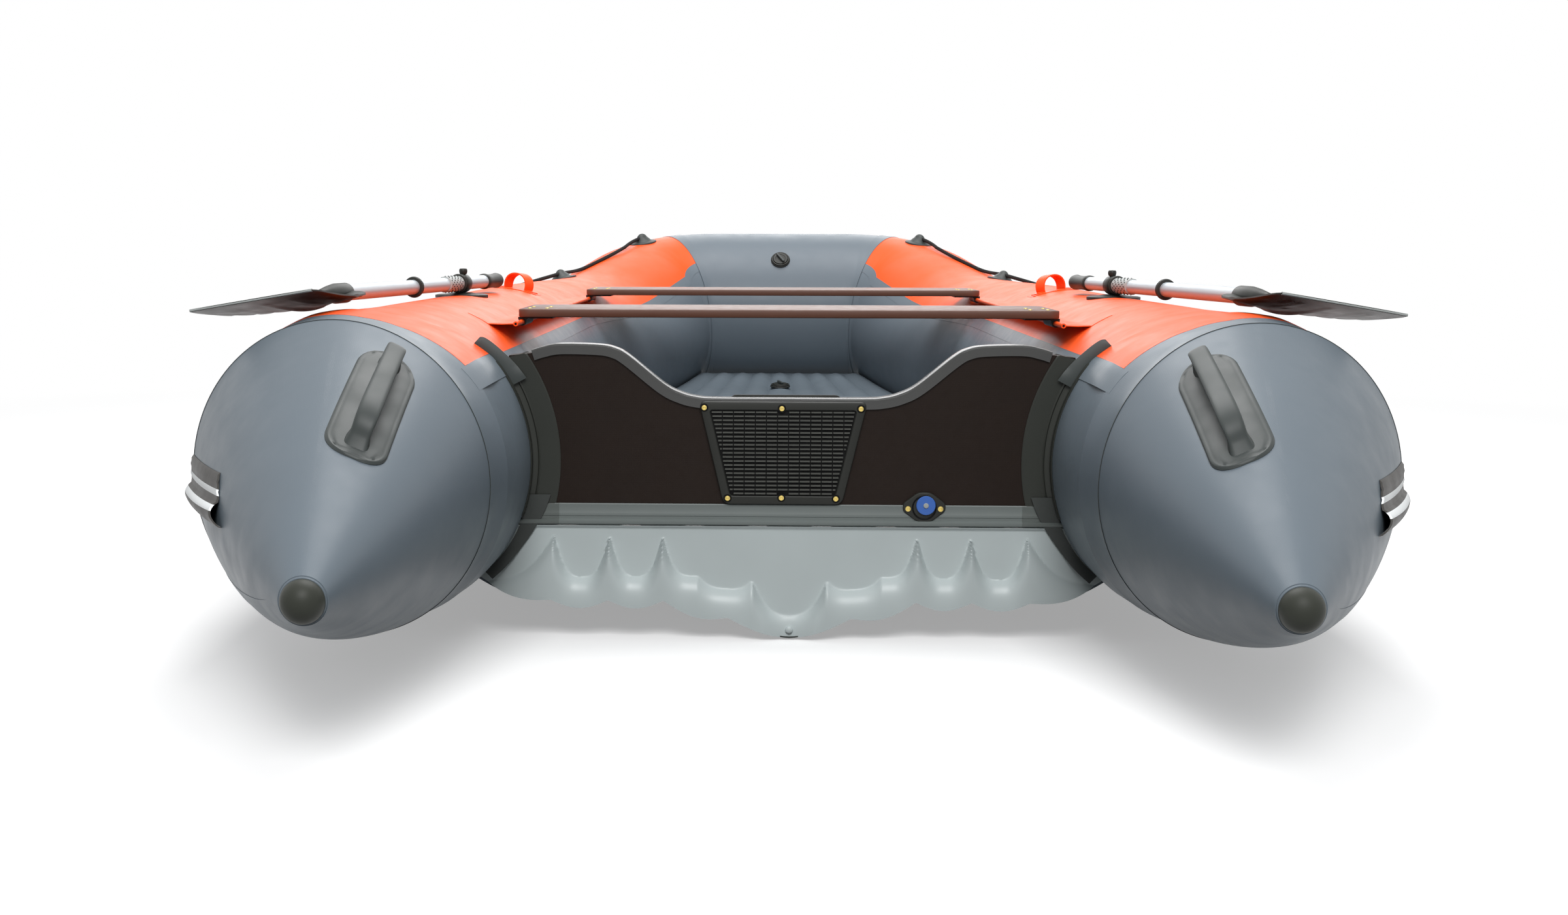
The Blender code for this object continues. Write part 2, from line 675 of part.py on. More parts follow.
def floor_ring(forward):
    """One cross-section of the air floor, keel included."""
    crest = floor_top(forward)
    edge_height = crest - FLOOR_VALLEY
    foot_height = max(axis_height(forward) - FLOOR_SIDE_DEPTH, SIDE_CORNER_HEIGHT)
    foot_height = min(foot_height, edge_height - FLOOR_VALLEY)
    half = half_breadth(forward, edge_height)
    right = []
    count = FLOOR_LOBES * LOBE_STEPS
    for k in range(count // 2, count + 1):
        share = 2 * k / count - 1
        wave = abs(math.sin(math.pi * k / LOBE_STEPS))
        right.append((half * share, edge_height + FLOOR_VALLEY * wave))
    for height in even(edge_height, foot_height, FLOOR_SIDE_STEPS)[1:]:
        right.append((half_breadth(forward, height), height))
    foot = right[-1][0]
    lift = KEEL_RISE_SHARE * ease((forward - KEEL_RISE_START) / (FLOOR_FORWARD - KEEL_RISE_START))
    for x, z in reversed(bottom_lobes()[1:]):
        share = x / SIDE_CORNER_OUT
        inset = (foot - FLOOR_VALLEY / 2) * share
        right.append((inset, z + (foot_height - z) * lift))
    ring = [Vector((x, forward, z)) for x, z in right] + [Vector((0, forward, foot_height * lift))]
    return ring + [Vector((-p.x, p.y, p.z)) for p in reversed(ring[1:-1])]


def floor_stations():
    return [FLOOR_AFT + (FLOOR_FORWARD - FLOOR_AFT) * share for share in FLOOR_STATION_SHARES]


def make_floor(hull):
    """The inflatable floor with its channels, over the scalloped bottom and keel."""
    rings = [floor_ring(forward) for forward in floor_stations()]
    place("inflatable_floor", loft_mesh("floor", rings), GREY, hull)


def offset_path(path, distance):
    """Move a path of (x, z) points to its right by a distance, with mitred corners."""
    moved = []
    for k, point in enumerate(path):
        before = Vector(path[max(k - 1, 0)])
        after = Vector(path[min(k + 1, len(path) - 1)])
        here = Vector(point)
        first = (here - before).normalized() if k > 0 else (after - here).normalized()
        second = (after - here).normalized() if k < len(path) - 1 else first
        mean = (first + second).normalized()
        normal = Vector((mean.y, -mean.x))
        moved.append(here + normal * distance / max(mean.dot(first), 0.2))
    return moved


def trim_path():
    """The trim's outer edge from port to starboard, as (x, z)."""
    right = [Vector((x, AXIS_HEIGHT + rise)) for x, rise in TRIM_EDGE]
    right.append(Vector((right[-1].x, TRIM_SIDE_FOOT)))
    return [Vector((-p.x, p.y)) for p in reversed(right)] + right


def holder_base_radius():
    return TUBE_RADIUS + BOARD_TUBE_CLEAR - GAP


def board_outline():
    """The transom's outline from the port foot, over the top, to starboard."""
    edge = offset_path(trim_path(), TRIM_THICKNESS + GAP)
    corner = edge[-1]
    radius = TUBE_RADIUS + BOARD_TUBE_CLEAR
    rise = math.sqrt(radius ** 2 - (HALF_SPACING - corner.x) ** 2)
    start = -math.atan2(HALF_SPACING - corner.x, rise)
    end = -math.acos((BOARD_BOTTOM - AXIS_HEIGHT) / radius)
    arc = [
        Vector((HALF_SPACING + radius * math.sin(a), AXIS_HEIGHT + radius * math.cos(a)))
        for a in even(start, end, 12)
    ]
    right = edge[len(edge) // 2:] + arc
    return [Vector((-p.x, p.y)) for p in reversed(right)] + right


def plate_mesh(name, outline, aft, forward):
    """An upright plate from an (x, z) outline."""
    rings = [[Vector((x, y, z)) for x, z in outline] for y in (aft, forward)]
    return loft_mesh(name, rings)


def make_transom(hull):
    """The plywood board, bored for the drain, and the trim round its edge."""
    plate = plate_mesh("board", board_outline(), 0, BOARD_THICKNESS)
    board = place("transom_board", plate, BOARD_BROWN, hull)
    bore = DRAIN_SLEEVE + GAP
    bore_mesh = turned_mesh("bore", [(bore, -OVERRUN), (bore, BOARD_THICKNESS + OVERRUN)])
    bore_guide = place("board_bore", bore_mesh, BLACK, hull)
    bore_guide.location = (DRAIN_OUT, BOARD_THICKNESS, DRAIN_HEIGHT + FLAP_RAISE)
    bore_guide.rotation_euler = (math.pi / 2, 0, 0)
    cut(board, bore_guide)
    outer_edge = trim_path()
    legs = [offset_path(outer_edge, d) for d in (TRIM_FACE, 0, TRIM_THICKNESS)]
    aft, fore = -GAP, BOARD_THICKNESS + GAP
    outer_rows, inner_rows = [], []
    for low, top, under in zip(*legs):
        outer_rows.append([
            Vector((low.x, aft - TRIM_THICKNESS, low.y)), Vector((top.x, aft - TRIM_THICKNESS, top.y)),
            Vector((top.x, fore + TRIM_THICKNESS, top.y)), Vector((low.x, fore + TRIM_THICKNESS, low.y)),
        ])
        inner_rows.append([
            Vector((low.x, aft, low.y)), Vector((under.x, aft, under.y)),
            Vector((under.x, fore, under.y)), Vector((low.x, fore, low.y)),
        ])
    place("transom_trim", sheet_mesh("trim", outer_rows, inner_rows), TRIM_BLACK, hull)


def make_holders(hull):
    """Rubber channels on the side tubes that grip the transom's edges."""
    foot = TUBE_RADIUS + GAP
    base = holder_base_radius()
    aft, fore = -GAP, BOARD_THICKNESS + GAP
    section = (
        (foot, -HOLDER_AFT), (foot, BOARD_THICKNESS + HOLDER_FORWARD),
        (foot + HOLDER_RIM, BOARD_THICKNESS + HOLDER_FORWARD),
        (base, fore + HOLDER_LIP + HOLDER_FILLET), (base + HOLDER_LIP, fore + HOLDER_LIP),
        (HOLDER_LIP_RADIUS, fore + HOLDER_LIP), (HOLDER_LIP_RADIUS, fore), (base, fore),
        (base, aft), (HOLDER_LIP_RADIUS, aft), (HOLDER_LIP_RADIUS, aft - HOLDER_LIP),
        (base + HOLDER_LIP, aft - HOLDER_LIP), (base, aft - HOLDER_LIP - HOLDER_FILLET),
        (foot + HOLDER_RIM, -HOLDER_AFT),
    )
    for side_name, side in SIDES.items():
        rings = [
            [ring_point(straight_station(y), a, r) for r, y in section]
            for a in steps_between(HOLDER_FOOT, HOLDER_TOP, HOLDER_STEP)
        ]
        place(f"transom_holder_{side_name}", loft_mesh("holder", sided(rings, side)), GREY, hull)


def make_stern_strip(hull):
    """The grey rubber strip with its bead along the transom's foot."""
    face, back = -GAP - STRIP_THICKNESS, -GAP
    section = (
        (back, STRIP_TOP), (back, STRIP_FOOT), (face - STRIP_BEAD / 2, STRIP_FOOT),
        (face - STRIP_BEAD / 2 - STRIP_THICKNESS / 2, STRIP_FOOT + STRIP_BEAD / 2),
        (face - STRIP_BEAD / 2, STRIP_FOOT + STRIP_BEAD), (face, STRIP_FOOT + STRIP_BEAD), (face, STRIP_TOP),
    )
    rings = [[Vector((x, y, z)) for y, z in section] for x in (-STRIP_HALF, STRIP_HALF)]
    strip = place("stern_strip", loft_mesh("strip", rings), STRIP_GREY, hull)
    low = (DRAIN_OUT - DRAIN_HALF_WIDTH - GAP, -OVERRUN - STRIP_BEAD, DRAIN_HEIGHT - DRAIN_HALF_HEIGHT - GAP)
    high = (DRAIN_OUT + DRAIN_HALF_WIDTH + GAP, OVERRUN, STRIP_TOP + OVERRUN)
    cut(strip, place("strip_notch", box_mesh("strip_notch", low, high), BLACK, hull))


def lobe_shares():
    """For each lobe point of the moulding: how far across its lobe it lies."""
    count = len(bottom_lobes())
    shares = [0.5 + 0.5 * k / LOBE_STEPS for k in range(LOBE_STEPS)]
    shares += [(k % LOBE_STEPS) / LOBE_STEPS for k in range(count - LOBE_STEPS)]
    return shares


def make_moulding(hull):
    """The fluted moulding over the stern end of the floor and keel."""
    outer_rows, inner_rows = [], []
    slope = (SIDE_CORNER_OUT - MOULDING_SHOULDER_OUT) / (MOULDING_TOP - SIDE_CORNER_HEIGHT)
    for height_share in even(0, 1, MOULDING_ROWS):
        outer, inner = [], []
        for (x, low), across in zip(bottom_lobes(), lobe_shares()):
            high = MOULDING_TOP
            z = low + (high - low) * height_share
            squeeze = x / SIDE_CORNER_OUT
            limit = SIDE_CORNER_OUT - slope * max(z - SIDE_CORNER_HEIGHT, 0)
            place_x = x if z <= SIDE_CORNER_HEIGHT else squeeze * limit
            flute = 1 - ease((z - low) / (MOULDING_FLUTE_TOP - low))
            edge = ease(height_share * (high - low) / MOULDING_BULGE)
            bulge = MOULDING_BULGE * math.sin(math.pi * across) ** 0.7 * flute * (0.35 + 0.65 * edge)
            outer.append(Vector((place_x, FLOOR_AFT - GAP - MOULDING_THICKNESS - bulge, z)))
            inner.append(Vector((place_x, FLOOR_AFT - GAP - bulge * 0.98, z)))
        outer_rows.append([Vector((-p.x, p.y, p.z)) for p in reversed(outer[1:])] + outer)
        inner_rows.append([Vector((-p.x, p.y, p.z)) for p in reversed(inner[1:])] + inner)
    place("stern_moulding", sheet_mesh("moulding", outer_rows, inner_rows), MOULDING_GREY, hull)


def rounded(corners, radius, steps=3):
    """Round the corners of an (x, z) outline."""
    points = []
    for k, corner in enumerate(corners):
        here = Vector(corner)
        before = (Vector(corners[k - 1]) - here).normalized() * radius
        after = (Vector(corners[(k + 1) % len(corners)]) - here).normalized() * radius
        for share in even(0, 1, steps):
            points.append(here + before * (1 - share) ** 2 + after * share ** 2)
    return points


def make_motor_pads(hull):
    """The plastic pads that an outboard motor's bracket clamps on."""
    outer = rounded((
        (PAD_OFFSET - PAD_TOP_HALF, PAD_TOP), (PAD_OFFSET + PAD_TOP_HALF, PAD_TOP),
        (PAD_OFFSET + PAD_FOOT_HALF, PAD_FOOT), (PAD_OFFSET - PAD_FOOT_HALF, PAD_FOOT),
    ), PAD_CORNER)
    left, right = INNER_PAD_OFFSET - INNER_PAD_HALF, INNER_PAD_OFFSET + INNER_PAD_HALF
    inner = rounded((
        (left, INNER_PAD_TOP), (right, INNER_PAD_TOP), (right, INNER_PAD_FOOT), (left, INNER_PAD_FOOT),
    ), PAD_CORNER)
    reach = PAD_TOP_HALF + abs(PAD_OFFSET) + OVERRUN
    low = NOTCH_HEIGHT - TRIM_FACE - GAP
    trim = TRIM_THICKNESS + 2 * GAP
    for name, outline, back, direction in (
        ("outer_motor_pad", outer, -GAP, -1), ("inner_motor_pad", inner, BOARD_THICKNESS + GAP, 1),
    ):
        face = back + direction * PAD_THICKNESS
        pad = place(name, plate_mesh(name, outline, min(back, face), max(back, face)), BLACK, hull)
        edge = back - direction * GAP
        shelf = sorted((edge - direction * OVERRUN, edge + direction * trim))
        corners = ((-reach, shelf[0], low), (reach, shelf[1], INNER_PAD_TOP + OVERRUN))
        cut(pad, place(name + "_rebate", box_mesh("rebate", *corners), BLACK, hull))


def make_drain(hull):
    """The drain flange with its sleeve through the board, and its hinged flap."""
    outline = rounded((
        (DRAIN_OUT - DRAIN_HALF_WIDTH, DRAIN_HEIGHT + DRAIN_HALF_HEIGHT),
        (DRAIN_OUT + DRAIN_HALF_WIDTH, DRAIN_HEIGHT + DRAIN_HALF_HEIGHT),
        (DRAIN_OUT + DRAIN_HALF_WIDTH, DRAIN_HEIGHT - DRAIN_HALF_HEIGHT),
        (DRAIN_OUT - DRAIN_HALF_WIDTH, DRAIN_HEIGHT - DRAIN_HALF_HEIGHT),
    ), DRAIN_HALF_HEIGHT * 0.8, 4)
    face = -GAP - DRAIN_THICKNESS
    flange = place("drain_flange", plate_mesh("flange", outline, face, -GAP), BLACK, hull)
    centre = (DRAIN_OUT, 0, DRAIN_HEIGHT + FLAP_RAISE)
    run = BOARD_THICKNESS + DRAIN_THICKNESS / 2
    for name, radius, low, high, action in (
        ("drain_sleeve", DRAIN_SLEEVE, -BOARD_THICKNESS, run - BOARD_THICKNESS, fuse),
        ("drain_bore", DRAIN_BORE, -BOARD_THICKNESS - OVERRUN, DRAIN_THICKNESS + OVERRUN, cut),
    ):
        guide = place(name, turned_mesh(name, [(radius, low), (radius, high)]), BLACK, hull)
        guide.location = centre
        guide.rotation_euler = (math.pi / 2, 0, 0)
        action(flange, guide)
    hinge = empty("drain_hinge", hull, Matrix.Translation((
        DRAIN_OUT, face - GAP - FLAP_KNUCKLE, DRAIN_HEIGHT + FLAP_RAISE + FLAP_RADIUS,
    )))
    disc = [(FLAP_RADIUS, -FLAP_THICKNESS / 2), (FLAP_RADIUS, FLAP_THICKNESS / 2)]
    flap = place("drain_flap", turned_mesh("flap", disc), BLUE, hinge)
    flap.location = (0, 0, -FLAP_RADIUS)
    flap.rotation_euler = (math.pi / 2, 0, 0)
    barrel = [(FLAP_KNUCKLE, -FLAP_RADIUS / 2), (FLAP_KNUCKLE, FLAP_RADIUS / 2)]
    knuckle = place("flap_knuckle", turned_mesh("knuckle", barrel, 12), BLUE, hinge)
    knuckle.rotation_euler = (0, math.pi / 2, 0)
    fuse(flap, knuckle)


def tube_curve(name, points, radius, sides=8):
    """A solid round bar along points, as rings square to the path."""
    rings = []
    for k, point in enumerate(points):
        tangent = (points[min(k + 1, len(points) - 1)] - points[max(k - 1, 0)]).normalized()
        across = tangent.cross(Vector((0, 0, 1))).normalized()
        other = tangent.cross(across)
        turn = [2 * math.pi * j / sides for j in range(sides)]
        rings.append([point + (across * math.cos(a) + other * math.sin(a)) * radius for a in turn])
    return loft_mesh(name, rings)


def handle_point(along, across, height):
    """A point over the carry handle's place on the cone, in metres from its middle."""
    share = HANDLE_SHARE - along / CONE_LENGTH
    turn = along * math.tan(HANDLE_TURN) / cone_radius(HANDLE_SHARE)
    return cone_point(share, HANDLE_ANGLE + turn + across / cone_radius(share), height)


def make_handles(hull):
    """Rubber carry handles on the stern cones: a plate with a bar on two posts."""
    half, end = HANDLE_LENGTH / 2, HANDLE_WIDTH / 2
    straight = half - end
    for side_name, side in SIDES.items():
        outer, inner = [], []
        ends = [(straight + end * back, end * across) for back, across in HANDLE_END_SHARES]
        rows = [(-along, width) for along, width in ends] + [(0, end)]
        rows += [(along, width) for along, width in reversed(ends)]
        for along, width in rows:
            across = even(-width, width, 6)
            outer.append([handle_point(along, x, GAP + HANDLE_PLATE) for x in across])
            inner.append([handle_point(along, x, 2 * GAP) for x in across])
        plate = sheet_mesh("handle", sided(outer, side), sided(inner, side))
        handle = place(f"carry_handle_{side_name}", plate, HANDLE_GREY, hull)
        reach = HANDLE_GRIP_LENGTH / 2
        route = []
        for share in even(-1, 1, 10):
            foot = HANDLE_PLATE / 2 + HANDLE_GRIP_RADIUS * 0.75
            lift = foot + (HANDLE_GRIP_HEIGHT - foot) * (1 - abs(share) ** 4)
            route.append(handle_point(reach * share, 0, lift))
        bar = tube_curve("grip", sided([route], side)[0], HANDLE_GRIP_RADIUS)
        fuse(handle, place(f"handle_grip_{side_name}", bar, HANDLE_GREY, hull))


def make_lift_loops(hull):
    """Fabric lift loops: a patch on the tube and an arched web."""
    spread = LOOP_PATCH / 2 / TUBE_RADIUS
    for side_name, side in SIDES.items():
        angles = even(LOOP_ANGLE - spread, LOOP_ANGLE + spread, 6)
        stations = [straight_station(LOOP_FORWARD + y) for y in (-LOOP_PATCH / 2, LOOP_PATCH / 2)]
        grids = [
            sided([[ring_point(s, a, TUBE_RADIUS + h) for a in angles] for s in stations], side)
            for h in (GAP + LOOP_PATCH_THICKNESS, GAP)
        ]
        patch = place(f"lift_loop_{side_name}", sheet_mesh("loop_patch", *grids), ORANGE, hull)
        outer, inner = [], []
        for share in even(0, 1, LOOP_STEPS):
            turn = math.pi * share
            for rows, inset in ((outer, 0), (inner, LOOP_WEB)):
                along = LOOP_FORWARD - (LOOP_SPAN / 2 - inset) * math.cos(turn)
                lift = LOOP_PATCH_THICKNESS / 2 + (LOOP_HEIGHT - inset) * math.sin(turn) ** 0.7
                row = []
                for edge in (-1, 1):
                    base = ring_point(straight_station(along), LOOP_ANGLE, TUBE_RADIUS + GAP + lift)
                    slip = Vector((math.cos(LOOP_ANGLE), 0, -math.sin(LOOP_ANGLE)))
                    row.append(base + slip * edge * LOOP_WIDTH / 2)
                rows.append(row)
        web = sheet_mesh("loop_web", sided(outer, side), sided(inner, side))
        fuse(patch, place(f"loop_web_{side_name}", web, ORANGE, hull))


def seat_outline(depth):
    half, corner = SEAT_HALF, SEAT_CORNER
    return [
        (-half + corner, 0), (half - corner, 0), (half, corner), (half, depth - corner),
        (half - corner, depth), (-half + corner, depth), (-half, depth - corner), (-half, corner),
    ]


def make_seats(hull):
    """Two plywood seats, each on two channel slides that grip the track beads."""
    inside = BEAD_RADIUS + FIT
    low = BEAD_HEIGHT - inside - SLIDE_WALL
    top = SEAT_TOP - SEAT_THICKNESS - GAP
    mouth = SLIDE_MOUTH / 2
    profile = (
        (SLIDE_INBOARD, low), (BEAD_OUT - mouth, low), (BEAD_OUT - mouth, BEAD_HEIGHT - inside),
        (BEAD_OUT - inside, BEAD_HEIGHT - inside), (BEAD_OUT - inside, BEAD_HEIGHT + inside),
        (BEAD_OUT + inside, BEAD_HEIGHT + inside), (BEAD_OUT + inside, BEAD_HEIGHT - inside),
        (BEAD_OUT + mouth, BEAD_HEIGHT - inside), (BEAD_OUT + mouth, low),
        (BEAD_OUT + inside + SLIDE_WALL, low), (BEAD_OUT + inside + SLIDE_WALL, top), (SLIDE_INBOARD, top),
    )
    for seat_name, aft in (("aft", AFT_SEAT), ("forward", FORWARD_SEAT)):
        carrier = empty(f"seat_{seat_name}_slide_axis", hull, Matrix.Translation((0, aft, SEAT_TOP)))
        rings = [
            [Vector((x, y, z)) for x, y in seat_outline(SEAT_DEPTH)] for z in (-SEAT_THICKNESS, 0)
        ]
        place(f"seat_board_{seat_name}", loft_mesh("seat", rings), SEAT_BROWN, carrier)
        ends = (SLIDE_SETBACK, SLIDE_SETBACK + SLIDE_LENGTH)
        for side_name, side in SIDES.items():
            rings = [[Vector((x, y, z - SEAT_TOP)) for x, z in profile] for y in ends]
            mesh = loft_mesh("slide", sided(rings, side))
            place(f"seat_slide_{seat_name}_{side_name}", mesh, BLACK, carrier)


def surface_height(out, forward, radius):
    """Height over the tube, where a point lies at a radius from its axis."""
    low, high = axis_height(forward), axis_height(forward) + radius
    for _ in range(24):
        middle = (low + high) / 2
        if axis_distance(Vector((out, forward, middle))) < radius:
            low = middle
        else:
            high = middle
    return high


def track_section(forward):
    """The track's section at one place: a foot on the tube, a web and a round bead."""
    web = FLAP_WEB / 2
    slope = math.asin((BEAD_OUT - HALF_SPACING) / TUBE_RADIUS)
    places = even(-TRACK_FOOT / 2 * math.cos(slope), TRACK_FOOT / 2 * math.cos(slope), 4)
    seat = TUBE_RADIUS + GAP
    under = [(BEAD_OUT + x, surface_height(BEAD_OUT + x, forward, seat)) for x in places]
    seat += TRACK_FOOT_THICKNESS
    upper = [(BEAD_OUT + x, surface_height(BEAD_OUT + x, forward, seat)) for x in places]
    foot_height = upper[2][1]
    start = math.asin(web / BEAD_RADIUS) - math.pi / 2
    bead = [
        (BEAD_OUT + BEAD_RADIUS * math.cos(a), BEAD_HEIGHT + BEAD_RADIUS * math.sin(a))
        for a in even(start, math.pi - start, 8)
    ]
    outboard = [(BEAD_OUT + web, foot_height)]
    inboard = [(BEAD_OUT - web, foot_height)]
    section = under + upper[:2:-1] + outboard + bead + inboard + upper[1::-1]
    return [Vector((x, forward, z)) for x, z in section]


def make_tracks(hull):
    """Fabric flaps that follow the tubes and hold straight beads for the seats."""
    bends = [point.y for point, _ in SHOULDER if TRACK_AFT < point.y < TRACK_FORWARD]
    rings = [track_section(forward) for forward in [TRACK_AFT] + bends + [TRACK_FORWARD]]
    for side_name, side in SIDES.items():
        place(f"seat_track_{side_name}", loft_mesh("track", sided(rings, side)), ORANGE, hull)


def make_oars(hull):
    """Oars on turning locks: base on the tube, lock, shaft, grip and blade."""
    base_foot = AXIS_HEIGHT + TUBE_RADIUS + GAP
    ring_low = OAR_HEIGHT - OAR_SHAFT_RADIUS - GAP - LOCK_RING
    boss_top = ring_low - GAP
    bore = LOCK_PIN_RADIUS + GAP
    for side_name, side in SIDES.items():
        spot = Matrix.Translation((side * OARLOCK_OUT, OARLOCK_FORWARD, 0))
        pin_foot = base_foot + 2 * GAP
        profile = [
            (LOCK_BASE_RADIUS, base_foot), (LOCK_BASE_RADIUS, base_foot + LOCK_BASE_RIM),
            (LOCK_BOSS_RADIUS * 2, base_foot + LOCK_BASE_RIM * 1.4), (LOCK_BOSS_RADIUS, boss_top),
            (bore, boss_top), (bore, base_foot + GAP), (0, base_foot + GAP),
        ]
        base = place(f"oarlock_base_{side_name}", turned_mesh("lock_base", profile), BLACK, hull)
        base.matrix_local = spot
        turn = empty(f"oar_turn_{side_name}", hull, spot @ Matrix.Rotation(side * OAR_TURN, 4, "Z"))
        pin = turned_mesh("lock", [(LOCK_PIN_RADIUS, pin_foot), (LOCK_PIN_RADIUS, OAR_HEIGHT)], 16)
        lock = place(f"oarlock_{side_name}", pin, BLACK, turn)
        half = LOCK_RING_LENGTH / 2
        inside = OAR_SHAFT_RADIUS + GAP
        outside = inside + LOCK_RING
        ring = turned_mesh("lock_ring", [(outside, -half), (outside, half)])
        hole = turned_mesh("lock_hole", [(inside, -half - OVERRUN), (inside, half + OVERRUN)])
        for name, mesh, action in (("lock_ring", ring, fuse), ("lock_hole", hole, cut)):
            guide = place(f"{name}_{side_name}", mesh, BLACK, turn)
            guide.location = (0, 0, OAR_HEIGHT)
            guide.rotation_euler = (math.pi / 2, 0, 0)
            action(lock, guide)
        make_oar(turn, side_name, side)


def make_oar(turn, side_name, side):
    """One oar along the turning frame's Y axis: grip forward, blade aft."""
    lie = Matrix.Translation((0, 0, OAR_HEIGHT)) @ Matrix.Rotation(-math.pi / 2, 4, "X")
    grip_start = OAR_INBOARD - OAR_GRIP_LENGTH
    shaft_end = -OAR_BLADE_ROOT + GAP
    pieces = (
        ("oar_shaft", [(OAR_SHAFT_RADIUS, shaft_end), (OAR_SHAFT_RADIUS, grip_start - GAP)], SILVER),
        ("oar_grip", [
            (OAR_SHAFT_RADIUS, grip_start), (OAR_GRIP_RADIUS, grip_start + OAR_GRIP_RADIUS / 2),
            (OAR_GRIP_RADIUS * 0.9, grip_start + OAR_GRIP_LENGTH * 0.5),
            (OAR_GRIP_RADIUS, OAR_INBOARD - OAR_GRIP_RADIUS / 2),
            (OAR_GRIP_RADIUS * 0.7, OAR_INBOARD), (0, OAR_INBOARD),
        ], BLACK),
    )
    for name, profile, finish in pieces:
        piece = place(f"{name}_{side_name}", turned_mesh(name, profile, 20), finish, turn)
        piece.matrix_local = lie
    length = OAR_BLADE_TIP - OAR_BLADE_ROOT
    outer, inner = [], []
    for share, half in zip(BLADE_LENGTH_SHARES, BLADE_HALF_WIDTHS):
        along = -OAR_BLADE_ROOT - length * share
        rise = BLADE_DISH * math.sin(math.pi * share)
        across = even(-half, half, 4)
        crown = [BLADE_THICKNESS * (1 - 0.6 * abs(x / half)) / 2 for x in across]
        outer.append([Vector((x, along, rise + c)) for x, c in zip(across, crown)])
        inner.append([Vector((x, along, rise - c)) for x, c in zip(across, crown)])
    blade = place(f"oar_blade_{side_name}", sheet_mesh("blade", outer, inner), BLACK, turn)
    blade.location = (0, 0, OAR_HEIGHT)
    blade.rotation_euler = (0, side * OAR_ROLL, 0)
    profile = [
        (BLADE_SOCKET_RADIUS * 0.5, -OAR_BLADE_ROOT - BLADE_SOCKET * 1.6),
        (BLADE_SOCKET_RADIUS, -OAR_BLADE_ROOT - BLADE_SOCKET * 0.6),
        (BLADE_SOCKET_RADIUS, -OAR_BLADE_ROOT),
    ]
    socket = place(f"blade_socket_{side_name}", turned_mesh("socket", profile, 16), BLACK, turn)
    socket.matrix_local = lie
    fuse(blade, socket)


def station_at(forward):
    """The tube's station where its axis passes a place along the boat."""
    for a, b in zip(AXIS_SAMPLES, AXIS_SAMPLES[1:]):
        if a.y <= forward <= b.y and b.y > a.y:
            return a + (b - a) * (forward - a.y) / (b.y - a.y), (b - a).normalized()
    return straight_station(forward)


def frame_on_tube(station, angle, height):
    """A frame on the tube's surface: Z out of the tube, Y along it."""
    origin = ring_point(station, angle, TUBE_RADIUS + height)
    up = (origin - station[0]).normalized()
    along = station[1]
    return origin, up, along


def basis(origin, up, along):
    """A placing matrix from an origin, a Z direction and a rough Y direction."""
    side_way = along.cross(up).normalized()
    along = up.cross(side_way)
    matrix = Matrix((side_way, along, up)).transposed().to_4x4()
    matrix.translation = origin
    return matrix


def mirrored_matrix(matrix, side):
    """The port twin of a placing matrix, kept right-handed."""
    if side > 0:
        return matrix
    flip = Matrix.Scale(-1, 4, (1, 0, 0))
    return flip @ matrix @ flip


def rope_stops():
    """The rope's stops: upper eye, lower eye and its aft end, on the tube."""
    corner = bend(AXIS[2], AXIS[3], AXIS[4], CORNER_CUT, (EYE_UPPER_SHARE,))[0]
    return (
        (corner, EYE_UPPER_ANGLE),
        (station_at(EYE_LOWER_FORWARD), EYE_LOWER_ANGLE),
        (station_at(ROPE_END_FORWARD), ROPE_END_ANGLE),
    )


def rope_route():
    """A smooth route over the tube through the eyes."""
    stops = rope_stops()
    points = []
    for (first, a0), (second, a1) in zip(stops, stops[1:]):
        for share in even(0, 1, ROPE_POINTS // 2)[:-1]:
            forward = first[0].y + (second[0].y - first[0].y) * share
            angle = a0 + (a1 - a0) * ease(share) + ROPE_DROOP * math.sin(math.pi * share) ** 2
            station = first if share == 0 else station_at(forward)
            lift = ROPE_RADIUS + GAP + (ROPE_HEIGHT - ROPE_RADIUS) * abs(math.cos(math.pi * share)) ** 3
            points.append(ring_point(station, angle, TUBE_RADIUS + lift))
    last, angle = stops[-1]
    points.append(ring_point(last, angle, TUBE_RADIUS + ROPE_RADIUS + GAP))
    return points


